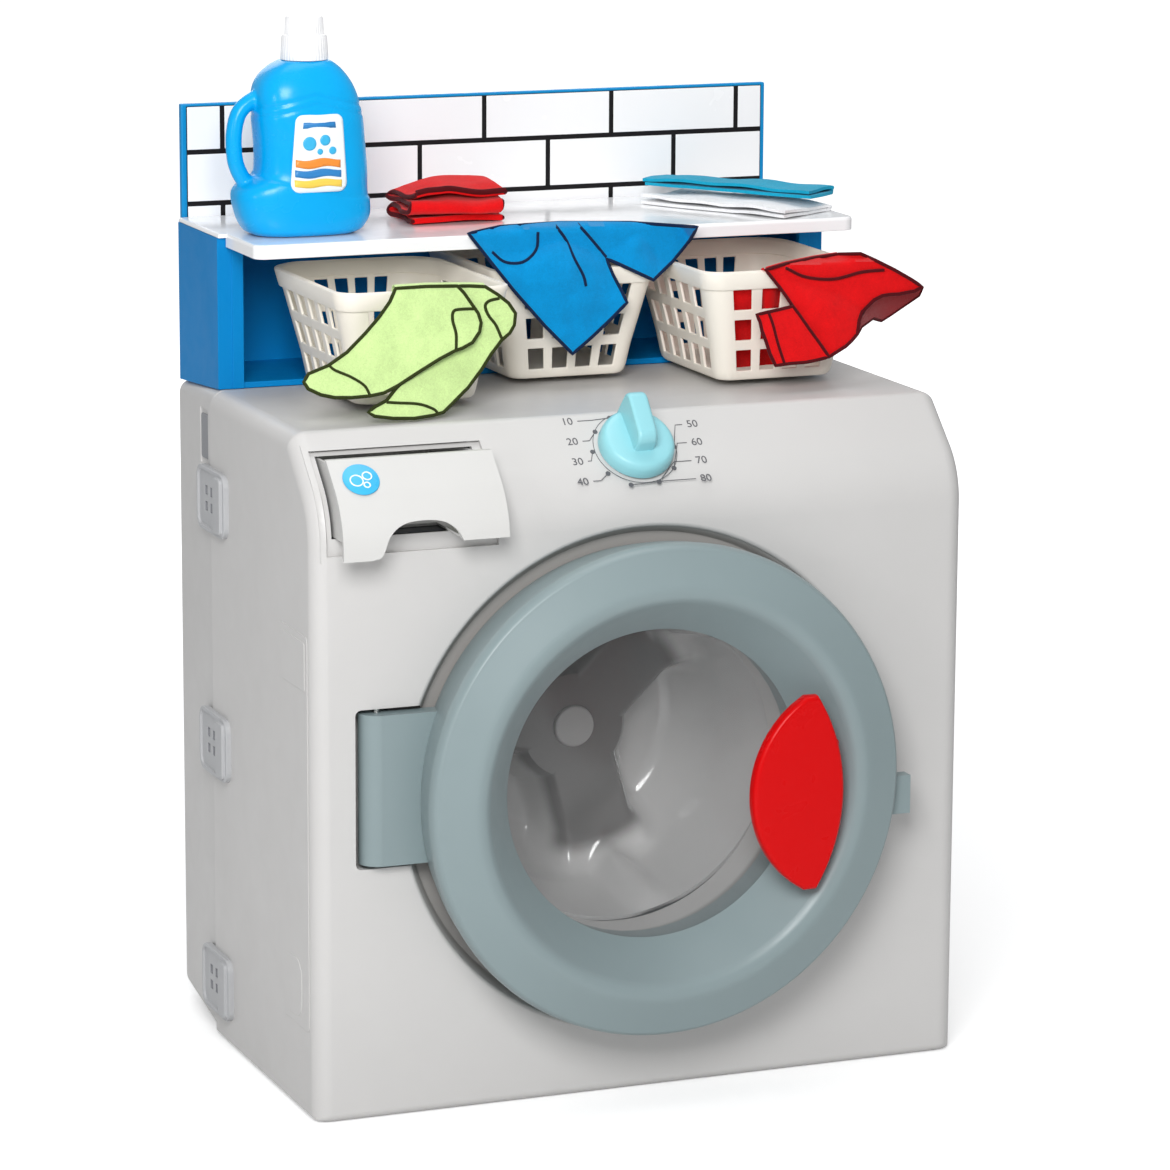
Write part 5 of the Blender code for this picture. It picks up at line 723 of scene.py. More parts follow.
def case_rear():
    """The closed rear half of the case."""
    last = BACK_Y - REAR_EDGE_R
    rings = [rear_ring(SEAM_Y + 0.0003, 0.0, REAR_EDGE_R)]
    for i in range(9):
        a = math.pi / 2 * i / 8
        inset = REAR_EDGE_R * (1 - math.cos(a)) / 2
        rings.append(rear_ring(last + REAR_EDGE_R * math.sin(a), inset, REAR_EDGE_R - inset))
    shell = loft("case_rear", rings, CASE)
    hollow = [rear_ring(SEAM_Y - 0.002, WALL, 0.006), rear_ring(BACK_Y - WALL, WALL, 0.006)]
    cover_low, cover_high = (0.0654, 0.1535, 0.3416), (0.1246, 0.158, 0.3824)
    slots = [((-0.1903, 0.1027, 0.428), (-0.1697, 0.1073, 0.46)),
        ((0.1697, 0.1027, 0.428), (0.1903, 0.1073, 0.46))]
    slots.append((cover_low, cover_high))
    panel = prism("back_panel", rounded_rectangle(-0.19, 0.19, 0.05, 0.31, 0.012, 6), "Y", BACK_Y - 0.0012,
        BACK_Y + 0.01, CASE)
    vents = [((x - 0.0011, BACK_Y - 0.006, 0.345), (x + 0.0011, BACK_Y + 0.002, 0.385))
             for x in [-0.13 + 0.007 * k for k in range(9)]]
    steps = [
        ("DIFFERENCE", loft("rear_inside", hollow, CASE)),
        ("DIFFERENCE", panel),
        ("DIFFERENCE", blocks("rear_slots", slots, CASE)),
        ("DIFFERENCE", blocks("rear_clip_slots", clip_slots(), CASE)),
        ("DIFFERENCE", blocks("vents", vents, CASE)),
        ("DIFFERENCE", block("side_pocket", (-0.236, 0.070, 0.3965), (-0.2255, 0.0905, 0.4345), CASE)),
    ]
    carve(shell, steps, 30)
    soften(shell, 0.0007, 2, 45)
    put(shell, "case", ["rear_shell"])
    boss = lathe("axle_boss", [(AXLE_R, 0.103), (0.014, 0.103), (0.014, 0.1545), (AXLE_R, 0.1545)],
                 along_y(0, DRUM_Z), 32, CASE)
    put(boss, "case")
    # Painted shade: a dark pad on the side pocket's floor.
    flap = prism("side_pocket_painted_shade", rounded_rectangle(0.0725, 0.088, 0.4005, 0.431, 0.002, 4), "X", -0.2268,
        -0.2252, RECESS_SHADE)
    put(soften(flap, 0.0005), "case")


def side_plate():
    """A long shallow plate low on the left side, with two plain panels."""
    face = -CASE_W / 2
    plates = (
        ("side_plate", (-0.1440, -0.0880, 0.0590, 0.3230), 0.004, 0.0005),
        ("side_plate_top", (-0.1395, -0.0925, 0.2860, 0.3185), 0.002, 0.0009),
        ("side_plate_foot", (-0.1300, -0.0960, 0.0640, 0.1040), 0.012, 0.0009),
    )
    for name, (y0, y1, z0, z1), radius, proud in plates:
        made = prism(name, rounded_rectangle(y0, y1, z0, z1, radius, 6), "X", face - proud, face + 0.0002,
            CASE)
        soften(made, 0.0003, 2)
        put(made, "case")


def side_clips():
    """Three clips on each side, with a raised bar in front and four windows behind it, their shallow floors
    in painted shade.
    """
    face = CASE_W / 2 + SLIT
    for label, side in (("left", -1), ("right", 1)):
        for row, z in enumerate(CLIP_ROWS):
            low_z, high_z = z - CLIP_H / 2, z + CLIP_H / 2

            def plate(name, y0, y1, rim, radius, low, high):
                outline = rounded_rectangle(y0, y1, low_z + rim, high_z - rim, radius, 6)
                return prism(name, outline, "X", *sorted((side * (face + low), side * (face + high))),
                    CLIP_SHADED)

            clip = plate("clip_%s_%d" % (label, row + 1), CLIP_Y0, CLIP_Y1, 0.0, 0.009, -0.0015, CLIP_T)
            tray = plate("tray", 0.0385, CLIP_Y1 - 0.0025, 0.003, 0.006, 0.0019, 0.006)
            bar = plate("bar", 0.021, 0.036, 0.003, 0.003, 0.003, CLIP_T + 0.0022)
            low, high = sorted((side * (face + 0.0002), side * (face + 0.006)))
            holes = []
            for dy in (0.047, 0.0585):
                for dz in (-0.0085, 0.0025):
                    holes.append(((low, dy, z + dz), (high, dy + 0.0055, z + dz + 0.006)))
            # The windows' floors take the painted shade.
            windows = blocks("holes", holes, RECESS_SHADE)
            carve(clip, [("UNION", bar), ("DIFFERENCE", tray), ("DIFFERENCE", windows)], 35, "TRANSFER")
            soften(clip, 0.0006)
            put(clip, "case", ["side_clip_%s_%d" % (label, row + 1)])


# Drum
DRUM_ARM_ANGLES = [math.radians(-a) for a in (45, 165, 285)]


def ease(value):
    share = min(max(value, 0.0), 1.0)
    return share * share * (3 - 2 * share)


def drum_profile(angle):
    """The drum's section at an angle: flat on an arm, deep between two arms."""
    offset = min(abs(math.remainder(angle - arm, math.tau)) for arm in DRUM_ARM_ANGLES)
    web_y, pocket_y, floor_r, back_r = DRUM_WEB_Y, 0.010, 0.076, 0.1045
    mouth_r, mouth_y = 0.1135, -0.107

    def floor_y(radius):
        aside = radius * math.sin(offset) if offset < math.pi / 2 else radius
        outside = min(aside - 0.022, radius - 0.036) if radius > 0.036 else 0.0
        return web_y + (pocket_y - web_y) * ease(outside / 0.016)

    lift = 0.013 * math.sin(max(0.0, 1 - offset / math.radians(11)) * math.pi / 2) ** 2
    edge_y = floor_y(floor_r)
    front = [(0.011, web_y)]
    for k in range(1, 19):
        radius = 0.011 + (floor_r - 0.011) * k / 18
        front.append((radius, floor_y(radius)))
    bend_r, bend_y = back_r - floor_r, edge_y + 0.045
    for k in range(1, 9):
        a = math.pi / 2 * k / 8
        front.append((floor_r + (bend_r - lift) * math.sin(a), edge_y - bend_y * (1 - math.cos(a))))
    start_y = front[-1][1]
    for k in range(1, 9):
        share = k / 8
        y = start_y + (mouth_y - start_y) * share
        radius = back_r + (mouth_r - back_r) * share
        front.append((radius - lift * (1 - share) ** 0.5, y))
    back = []
    for i in range(len(front) - 1, 0, -1):
        after = front[min(i + 1, len(front) - 1)]
        along = Vector((after[0] - front[i - 1][0], after[1] - front[i - 1][1])).normalized()
        back.append((front[i][0] - along.y * 0.0025, front[i][1] + along.x * 0.0025))
    hub = [(0.0115, -0.019), (0.0115, 0.033), (AXLE_R, 0.033), (AXLE_R, -0.022), (0.010, -0.022),
        (0.010, web_y)]
    return front + back + hub


def drum_pieces():
    """The turned drum and the disc on its hub."""
    axis = along_y(0, DRUM_Z)
    put(lathe("drum_shell", drum_profile, axis, 216, DRUM, 45), "drum", ["drum"])
    front, back, radius = -0.0303, -0.0273, 0.0143
    cap = [(0, front - 0.0004), (radius * 0.5, front - 0.0003)]
    cap += fillet((radius, front), (-1, 0), (0, 1), 0.0018, 5)
    cap += [(radius, back), (0, back)]
    put(lathe("hub_disc", cap, axis, 64, DRUM_LIGHT, 50), "drum", ["hub_cap"])


# Door
RING_BACK_Y, RING_WALL, RING_R = -0.1495, 0.003, 0.165
RING_INNER_R, RING_INNER_END_Y = 0.1035, -0.172
RING_CREST_R = 0.1344
HANDLE_Z, HANDLE_BACK_Y, HANDLE_T = 0.207, -0.2045, 0.009


def ring_front():
    """The door ring's section, from its back edge over the crest to the window."""
    path = [(0.157, RING_BACK_Y), (0.1618, -0.170)]
    for i in range(13):
        a = math.pi / 2 * i / 12
        path.append((0.1605 + (RING_R - 0.1605) * math.cos(a), -0.190 - 0.009 * math.sin(a)))
    path += [(0.1540, -0.2013), (0.1470, -0.2038), (0.1410, -0.2060)]
    roll = [(0.1410, -0.2060), (0.1376, -0.2069), (0.1345, -0.2069), (0.1310, -0.2060), (0.1284, -0.2042),
        (0.1262, -0.2020)]
    path += [(p.x, p.y) for p in smooth_line(roll, 15)[1:]]
    path += [(0.1210, -0.1953), (0.1150, -0.1874), (0.1090, -0.1795), (RING_INNER_R + 0.0008, -0.1726)]
    path.append((RING_INNER_R, RING_INNER_END_Y + 0.0004))
    return path


def offset_path(path, distance):
    """The same line moved to one side."""
    moved = []
    for i, here in enumerate(path):
        before, after = path[max(i - 1, 0)], path[min(i + 1, len(path) - 1)]
        along = Vector((after[0] - before[0], after[1] - before[1])).normalized()
        moved.append((here[0] + along.y * distance, here[1] - along.x * distance))
    return moved


def door_pieces():
    """The door's ring with its hinge block and tab, its window and its handle."""
    place = along_y(0, DOOR_Z)
    path = ring_front()
    ring = lathe("ring", path + [(RING_INNER_R, RING_BACK_Y)], place, 160, RING, 60)
    face_y = HINGE_Y - 0.0125
    knuckle = [(HINGE_X + 0.012 * math.cos(math.pi / 2 + math.pi * i / 16),
        HINGE_Y + 0.012 * math.sin(math.pi / 2 + math.pi * i / 16))
               for i in range(16)]
    outline = [(HINGE_X + 0.012, RING_BACK_Y - 0.001)] + knuckle + [(HINGE_X, face_y), (-0.139, face_y),
        (-0.139, RING_BACK_Y - 0.001)]
    hinge = prism("hinge_block", outline, "Z", HINGE_Z - 0.050, HINGE_Z + 0.050, RING)
    tab = block("tab", (RING_R - 0.004, -0.190, 0.181), (0.177, -0.180, 0.207), RING)
    inner = offset_path(path[:-1], RING_WALL)[1:]
    hollow = [(0.154, RING_BACK_Y + 0.002), (0.154, RING_BACK_Y)] + inner
    hollow += [(RING_INNER_R + 0.002, RING_INNER_END_Y), (RING_INNER_R - 0.002, RING_INNER_END_Y),
        (RING_INNER_R - 0.002, RING_BACK_Y + 0.002)]
    pin = Matrix.Translation((HINGE_X, HINGE_Y, 0))
    steps = [
        ("UNION", hinge), ("UNION", tab),
        ("DIFFERENCE", lathe("hollow", hollow, place, 96, RING)),
        ("DIFFERENCE", rod("pin_hole", pin, PIN_R, HINGE_Z - 0.06, HINGE_Z + 0.06, 16, RING)),
    ]
    carve(ring, steps, 50)
    soften(ring, 0.0008, 3, 50)
    put(ring, "door", ["door_ring"])
    flange = RING_INNER_END_Y + 0.0003
    dome_r = RING_INNER_R - 0.0003
    front = [(0.1105, flange), (dome_r, flange)]
    back = []
    for i in range(13):
        share = 0.98 * (1 - i / 12)
        rise = 0.012 * (1 - share * share)
        front.append((dome_r * share, flange - rise))
        back.append((dome_r * share, flange - rise + 0.002))
    window = lathe("window", front + list(reversed(back)) + [(0.1105, flange + 0.002)], place, 128, WINDOW,
        50)
    put(window, "door", ["door_window"])
    handle_piece(place, path)
    paint(RING, "door_back_ring")


def lens_outline(inset, steps=22):
    """The handle's outline: a short top and bottom between two unequal arcs."""
    low, high = HANDLE_Z - 0.0655 + inset, HANDLE_Z + 0.0655 - inset
    outline = []
    for x, bulge, start, end in ((0.0988, 0.0195, low, high), (0.0903, -0.0375, high, low)):
        chord = abs(end - start)
        depth = abs(bulge) - inset
        radius = (chord * chord / 4 + depth * depth) / (2 * depth)
        for i in range(steps + 1):
            t = 2.0 * i / steps - 1
            rise = math.sqrt(max(radius ** 2 - (t * chord / 2) ** 2, 0)) - (radius - depth)
            outline.append((x + math.copysign(rise, bulge), start + (end - start) * i / steps))
    return outline


def handle_piece(place, path):
    """The red handle on its foot, clear of the ring's inner slope."""
    back, front = HANDLE_BACK_Y, HANDLE_BACK_Y - HANDLE_T
    levels = [(0.0012, back), (0.0003, back - 0.0006), (0.0, back - 0.0015), (0.0, front + 0.0035)]
    levels += [(0.0005, front + 0.0018), (0.0016, front + 0.0006), (0.0032, front)]
    rings = [[(x, y, z) for x, z in lens_outline(inset)] for inset, y in levels]
    grip = loft("handle", rings, RED, 40)
    foot = prism("foot", rounded_rectangle(0.1068, 0.1168, HANDLE_Z - 0.034, HANDLE_Z + 0.034, 0.003, 4), "Y",
        back - 0.001, RING_INNER_END_Y, RED)
    near = [(r, y - 0.0006) for r, y in path if RING_INNER_R <= r <= RING_CREST_R]
    clear = [(RING_CREST_R, RING_BACK_Y)] + near + [(0.10, path[-1][1]), (0.10, RING_BACK_Y)]
    carve(grip, [("UNION", foot), ("DIFFERENCE", lathe("clearance", clear, place, 96, RED))], 40)
    soften(grip, 0.0004, 2, 50)
    put(grip, "door", ["door_handle"])


# Knob and dial
def knob_pieces():
    """A domed disc with a tall ridge across it."""
    place = panel_frame()
    disc = [(0, 0.0003), (0.0252, 0.0003), (0.0255, 0.0008), (0.0255, 0.0035)]
    disc += [(p.x, p.y) for p in smooth_line([(0.0255, 0.0035), (0.0249, 0.0075), (0.0235, 0.0101),
        (0.0218, 0.0113), (0.019, 0.0118)], 10)[1:]]
    disc += [(0.010, 0.0121), (0, 0.0122)]
    knob = lathe("dial_knob", disc, place, 96, AQUA, 45)
    ridge = rounded(
        [(-0.0115, 0.007), (0.0262, 0.0035), (0.0262, 0.0300), (-0.0115, 0.0255)],
        [0.002, 0.002, 0.0055, 0.0075], 8)
    rings = []
    for x, grow in ((-1.0, -0.0016), (-0.86, -0.0005), (-0.6, 0.0), (0.6, 0.0), (0.86, -0.0005),
            (1.0, -0.0016)):
        ring = []
        for v, h in ridge:
            lean = 1.0 + 0.10 * (0.030 - h) / 0.030
            high = h + grow if h > 0.012 else h
            ring.append(place @ Vector((x * 0.0068 * lean, v + (grow if v > 0 else -grow), high)))
        rings.append(ring)
    carve(knob, [("UNION", loft("ridge", rings, AQUA))], 40)
    soften(knob, 0.0008, 3, 50)
    put(knob, "knob", ["knob"])


DOTS = ((609.5, 418), (595, 432), (592.5, 452), (608, 473.5), (631, 485), (659, 482), (674, 468), (674, 447))
PRINT_LIFT = 0.00015
LEFT_COLUMN, RIGHT_COLUMN = ((567, 422), (583, 482)), ((692, 424), (706, 478))


def on_panel(px, py):
    """Where a point of the photograph lies on the sloped panel."""
    return on_plane(px, py, PANEL_POINT, PANEL_NORMAL) + PANEL_NORMAL * PRINT_LIFT


def dial_print():
    """Plain numbers, dots and leader lines round the knob."""
    rotate = panel_frame().to_3x3().to_4x4()
    middle = panel_frame().to_translation()
    for k, (px, py) in enumerate(DOTS):
        centre = on_panel(px, py)
        local = Matrix.Translation(centre) @ rotate
        dot = lathe("dial_dot_%d" % (k + 1), [(0, 0), (0.0017, 0), (0.0017, 0.00012), (0, 0.00012)], local,
            20, PRINT_GREY)
        put(dot, "case")
    rows = 4
    for label, column, dots, sign in (("left", LEFT_COLUMN, DOTS[:4], -1),
            ("right", RIGHT_COLUMN, DOTS[:3:-1], 1)):
        for k in range(rows):
            share = k / (rows - 1)
            px = column[0][0] + (column[1][0] - column[0][0]) * share
            py = column[0][1] + (column[1][1] - column[0][1]) * share
            spot = on_panel(px, py)
            dot = on_panel(*dots[k])
            near = spot + Vector((-sign * 0.0072, 0, 0))
            knee = near.lerp(Vector((dot.x, near.y, near.z)), 0.45)
            put(tube("dial_line_%s_%d" % (label, k + 1), [near, knee, dot], 0.00028, PRINT_GREY), "case")
            text = bpy.data.curves.new("dial_number", "FONT")
            text.body = str((k + 1) * 10 if sign < 0 else (k + 5) * 10)
            text.size = 0.0080
            text.extrude = 0.00008
            text.align_x, text.align_y = "CENTER", "CENTER"
            sign_obj = link(bpy.data.objects.new("dial_number_%s_%d" % (label, k + 1), text))
            sign_obj.matrix_world = Matrix.Translation(spot) @ rotate
            put(as_mesh(sign_obj, PRINT_GREY), "case")
    ring = [middle + (rotate @ Vector((x, y, PRINT_LIFT))) for x, y in circle(0.0285, 96)]
    put(tube("dial_circle", ring, 0.00022, PRINT_GREY, True), "case")


# Drawer
def front_path(inset, low, high, steps):
    """The front of the open drawer, moved inward by inset."""
    heights = [low + (high - low) * i / steps for i in range(steps + 1)]
    return [(panel_front_y(z, inset) - DRAWER_OUT, z) for z in heights]


def drawer_pieces():
    """The drawer's curved front, its tub and its round badge."""
    x0, x1, low, high = -0.2181, -0.1059, 0.3780, 0.4378
    outline = front_path(0.0, low, high, 30) + list(reversed(front_path(0.0026, low, high, 30)))
    front = prism("drawer_face", outline, "X", x0, x1, DRAWER)
    mid, half = -0.16325, 0.03075
    arch = [(mid - half - 0.006, low - 0.004), (mid + half + 0.006, low - 0.004)]
    arch += [(p.x, p.y) for p in smooth_line(
        [(mid + half + 0.004, low + 0.0002), (mid + half - 0.002, low + 0.0025),
            (mid + half - 0.0075, low + 0.0145),
         (mid + half - 0.017, low + 0.0215), (mid, low + 0.0232), (mid - half + 0.017, low + 0.0215),
         (mid - half + 0.0075, low + 0.0145), (mid - half + 0.002, low + 0.0025),
         (mid - half - 0.004, low + 0.0002)], 48)]
    steps = [
        ("DIFFERENCE", block("step", (mid, -0.22, low - 0.004), (x1 + 0.002, -0.10, low + 0.009), DRAWER)),
        ("DIFFERENCE", prism("notch", arch, "Y", -0.22, -0.10, DRAWER)),
    ]
    carve(front, steps, 30)
    soften(front, 0.0009, 3, 40)
    put(front, "drawer", ["drawer_front"])
    tray_low, tray_high = low + 0.0102, high - 0.0040
    tx0, tx1, back = x0 + 0.004, x1 - 0.004, -0.045
    tray = prism("drawer_tub", front_path(0.0029, tray_low, tray_high, 20) + [(back, tray_high),
        (back, tray_low)], "X", tx0, tx1, DRAWER)
    face = front_path(0.0049, tray_low + 0.002, tray_high - 0.001, 20)
    hollow = face + [(face[-1][0], tray_high + 0.002), (back - 0.002, tray_high + 0.002),
        (back - 0.002, tray_low + 0.002)]
    steps = [("DIFFERENCE", prism("tub_hollow", hollow, "X", tx0 + 0.002, tx1 - 0.002, DRAWER)),
             ("DIFFERENCE", prism("tub_notch", arch, "Y", -0.22, -0.1351, DRAWER))]
    carve(tray, steps, 30)
    soften(tray, 0.0005, 2, 40)
    put(tray, "drawer", ["drawer_tray"])
    rotate = panel_frame().to_3x3().to_4x4()
    spot = Matrix.Translation((-0.1990, panel_front_y(0.4262, 0.0) - DRAWER_OUT, 0.4262)) @ rotate
    disc = [(0, 0.0003)] + [(0.0120, 0.0003), (0.0122, 0.0006), (0.0119, 0.0011), (0.0113, 0.0013),
        (0, 0.0014)]
    put(lathe("badge_disc", disc, spot, 64, BADGE, 40), "drawer", ["drawer_badge"])
    for k, (u, v, size) in enumerate(((-0.0035, -0.0012, 0.0042), (0.0042, 0.0020, 0.0030),
            (0.0026, -0.0050, 0.0020))):
        loop = [spot @ Vector((u + x, v + y, 0.0014)) for x, y in circle(size, 32)]
        put(tube("badge_bubble_%d" % (k + 1), loop, 0.0005, LABEL_WHITE, True), "drawer")
    # Painted shade: the drawer guide is painted near black, for the shade behind the drawer.
    paint(DARK, "drawer_guide")


# Shelf unit
def shelf_pieces():
    """The blue bay, the white shelf over it and the board behind."""
    front, back, wall, top, bottom = 0.0625, 0.1505, 0.003, 0.5527, 0.4440
    x = 0.2222
    post, rib = 0.018, 0.008
    plan = []
    for s in (-1, 1):
        half = [(s * x, back), (s * x, front), (s * (x - post + rib), front),
            (s * (x - post + rib), front - 0.001),
                (s * (x - post), front - 0.001), (s * (x - post), front + 0.004),
                (s * (x - wall), front + 0.004),
                (s * (x - wall), back - wall)]
        plan += half if s < 0 else list(reversed(half))

    def rear_top(y):
        return CASE_H - REAR_TOP_DROP * (y - SEAM_Y) / (BACK_Y - SEAM_Y) + 0.0003

    rings = [[(px, py, rear_top(py)) for px, py in plan], [(px, py, top) for px, py in plan]]
    unit = loft("shelf_walls", rings, BLUE)
    floor_plan = [(-x + 0.001, front + 0.0005), (x - 0.001, front + 0.0005), (x - 0.001, back - 0.001),
        (-x + 0.001, back - 0.001)]
    floor = loft("floor", [[(px, py, rear_top(py)) for px, py in floor_plan],
        [(px, py, 0.4540) for px, py in floor_plan]], BLUE)
    carve(unit, [("UNION", floor)], 30)
    soften(unit, 0.0009, 3, 40)
    put(unit, "case", ["shelf_unit"])
    legs = blocks("shelf_legs", [((s * 0.18 - 0.010, 0.103, 0.4290),
        (s * 0.18 + 0.010, 0.107, 0.4475)) for s in (-1, 1)], BLUE)
    put(legs, "case")

    def plan_at(inset, skirt):
        half, rear_half = 0.2166 - inset, 0.2225 - inset
        y0, radius = SHELF_FRONT_Y + inset, max(0.008 - inset, 0.0006)
        corners = fillet((-half, y0), (0, 1), (1, 0), radius, 8) + fillet((half, y0), (-1, 0), (0, 1), radius,
            8)
        if skirt:
            end = 0.0612 - inset
            return corners + [(half, end), (-half, end)]
        step, y1 = 0.0590 + inset, 0.1487 - inset
        corners += [(half, step), (rear_half, step), (rear_half, y1)]
        return corners + [(-rear_half, y1), (-rear_half, step), (-half, step)]

    rings = []
    for inset, z in ((0.0, 0.5530), (0.0, SHELF_TOP_Z - 0.0022), (0.0003, SHELF_TOP_Z - 0.0012),
            (0.0009, SHELF_TOP_Z - 0.0004), (0.0022, SHELF_TOP_Z)):
        rings.append([(px, py, z) for px, py in plan_at(inset, False)])
    plate = loft("shelf_board", rings, WHITE, 30)
    skirt = loft("skirt", [[(px, py, z) for px, py in plan_at(0.0, True)] for z in (0.5465, 0.5535)], WHITE)
    under = loft("under", [[(px, py, z) for px, py in plan_at(WALL, True)] for z in (0.5445, 0.5532)], WHITE)
    carve(plate, [("UNION", skirt), ("DIFFERENCE", under)], 30)
    soften(plate, 0.0007, 3, 40)
    put(plate, "case", ["shelf_top"])
    low, high = (-0.2190, 0.1508, 0.4520), (0.2160, 0.1563, 0.6330)
    board = block("splash_board", low, high, BLUE_BACK)
    soften(board, 0.0009, 3)
    put(board, "case", ["backsplash_board"])
    tile_pieces()


def tile_pieces():
    """White glazed bricks over dark joints, in a plain running bond."""
    x0, x1, z0, z1 = -0.2155, 0.2125, 0.5530, 0.6313
    base_y, tile_y = 0.1504, 0.14925
    put(block("tile_joints", (x0, base_y - 0.0008, z0), (x1, base_y, z1), GROUT), "case",
        ["tile_panel"])
    gap = 0.0017
    rows = ((0.5300, 0.5645, 0.0), (0.5645, 0.6000, 0.0479), (0.6000, 0.6350, 0.0))
    pairs = []
    for low, high, shift in rows:
        for k in range(-3, 4):
            left = 0.0015 + 0.0958 * k + shift
            a, b = max(left + gap, x0 + 0.0004), min(left + 0.0958 - gap, x1 - 0.0004)
            c, d = max(low + gap, z0 + 0.0004), min(high - gap, z1 - 0.0004)
            if b - a > 0.003:
                pairs.append(((a, tile_y, c), (b, base_y - 0.0006, d)))
    tiles = blocks("tiles", pairs, TILE)
    soften(tiles, 0.0004, 2)
    put(tiles, "case")


# Baskets
BASKETS = (("left", -0.1215, -0.0536), ("middle", 0.0105, 0.0070), ("right", 0.1400, -0.0478))
BASKET_W, BASKET_D, BASKET_FLARE = 0.086, 0.122, 0.018
BASKET_HOLES = (4, 5, 4, 5)


def basket_ring(centre_x, front_y, grow, per_hole, arc):
    """Points round a basket, and for each stretch whether it crosses a hole column."""
    x0, x1 = centre_x - BASKET_W / 2 - grow, centre_x + BASKET_W / 2 + grow
    y0, y1 = front_y - grow, front_y + BASKET_D + grow
    corners = [(x0, y0), (x1, y0), (x1, y1), (x0, y1)]
    radii = [0.010 + grow / 4, 0.010 + grow / 4, 0.024 + grow / 4, 0.024 + grow / 4]
    points, marks = [], []
    for i in range(4):
        here, after = Vector(corners[i]), Vector(corners[(i + 1) % 4])
        along = (after - here).normalized()
        start, end = here + along * radii[i], after - along * radii[(i + 1) % 4]
        count = BASKET_HOLES[i]
        for k in range(count):
            for step in range(per_hole + 1):
                share = (k + 0.5 + (step / per_hole - 0.5) * 0.64) / count
                points.append(start.lerp(end, share))
                marks.append(step < per_hole)
        turn = (Vector(corners[(i + 2) % 4]) - after).normalized()
        for point in fillet(after, -along, turn, radii[(i + 1) % 4], arc):
            points.append(Vector(point))
            marks.append(False)
    return points, marks


def basket_piece(label, centre_x, front_y):
    """A tapering lattice basket with a rolled rim."""
    height = BASKET_TOP_Z - BASKET_BASE_Z
    levels = [(0.0, -0.0022), (0.03, -0.0006), (0.085, 0.0), (0.275, 0.0), (0.365, 0.0), (0.555, 0.0),
        (0.645, 0.0), (0.832, 0.0), (0.88, 0.0), (1.0, 0.0)]
    hole_levels = (2, 4, 6)
    points, rows, marks = [], [], []
    for share, extra in levels:
        ring, marks = basket_ring(centre_x, front_y,
            BASKET_FLARE * share - 0.0016 * min(share * 6, 1) + extra, 1, 6)
        rows.append(list(range(len(points), len(points) + len(ring))))
        points += [(p.x, p.y, BASKET_BASE_Z + height * share) for p in ring]
    count = len(rows[0])
    faces = []
    for level in range(len(rows) - 1):
        for i in range(count):
            if level in hole_levels and marks[i]:
                continue
            j = (i + 1) % count
            faces.append((rows[level][i], rows[level][j], rows[level + 1][j], rows[level + 1][i]))
    faces.append(tuple(rows[0]))
    body = piece("basket_%s_lattice" % label, points, faces, CREAM)
    work = bmesh.new()
    work.from_mesh(body.data)
    work.faces.ensure_lookup_table()
    if work.faces[len(work.faces) - 1].normal.z > 0:
        bmesh.ops.reverse_faces(work, faces=work.faces)
    work.to_mesh(body.data)
    work.free()
    thicken(body, 0.0020).use_even_offset = True
    soften(body, 0.0006, 2, 40)
    rings = []
    section = ((0.0006, -0.0125), (0.0022, -0.0121), (0.0024, -0.0110), (0.0024, -0.0014), (0.0018, -0.0003),
        (0.0008, 0.0),
               (-0.0010, 0.0), (-0.0018, -0.0006), (-0.0020, -0.0020), (-0.0020, -0.0100))
    for out, drop in section:
        share = 1 + drop / height
        ring, _ = basket_ring(centre_x, front_y, BASKET_FLARE * share - 0.0022 + out, 1, 8)
        rings.append([(p.x, p.y, BASKET_TOP_Z + drop) for p in ring])
    rim = loft("basket_%s_rim" % label, rings, CREAM, 50, True)
    put(body, "%s_basket" % label, ["basket_" + label])
    put(rim, "%s_basket" % label)


# Bottle
BOTTLE_X, BOTTLE_Y, BOTTLE_HALF_D = -0.165, 0.047, 0.0275
BOTTLE_BASE = SHELF_TOP_Z + 0.0003
BOTTLE_LEVELS = (
    (0.0000, -0.0370, 0.0310, 0.82), (0.0022, -0.0415, 0.0368, 0.93), (0.0050, -0.0440, 0.0395, 0.97),
    (0.0125, -0.0477, 0.0434, 1.00), (0.0250, -0.0505, 0.0430, 1.00), (0.0320, -0.0480, 0.0427, 1.00),
    (0.0390, -0.0372, 0.0425, 1.00), (0.0480, -0.0350, 0.0420, 1.00), (0.0680, -0.0355, 0.0400, 1.00),
    (0.0850, -0.0355, 0.0365, 0.97), (0.0960, -0.0352, 0.0330, 0.92), (0.1040, -0.0320, 0.0285, 0.82),
    (0.1110, -0.0250, 0.0225, 0.68), (0.1155, -0.0165, 0.0165, 0.54),
)
GRIP_POINTS = (
    (-0.0230, 0.0945), (-0.0350, 0.0905), (-0.0450, 0.0830), (-0.0490, 0.0720),
    (-0.0498, 0.0600), (-0.0485, 0.0480), (-0.0440, 0.0380), (-0.0360, 0.0270))
ROUND_SHARE = 0.72


def bottle_ring(z, left, right, depth, steps=56):
    """The bottle's outline at a height."""
    centre, half = (left + right) / 2, (right - left) / 2
    ring = []
    for i in range(steps):
        c, s = math.cos(math.tau * i / steps), math.sin(math.tau * i / steps)
        x = centre + half * math.copysign(abs(c) ** ROUND_SHARE, c)
        y = BOTTLE_HALF_D * depth * math.copysign(abs(s) ** ROUND_SHARE, s)
        ring.append((BOTTLE_X + x, BOTTLE_Y + y, BOTTLE_BASE + z))
    return ring


def bottle_level(z):
    """The bottle's left and right edges and its depth share at a height."""
    for a, b in zip(BOTTLE_LEVELS, BOTTLE_LEVELS[1:]):
        if a[0] <= z <= b[0]:
            f = (z - a[0]) / (b[0] - a[0])
            return [p + (q - p) * f for p, q in zip(a[1:], b[1:])]
    return BOTTLE_LEVELS[-1][1:]


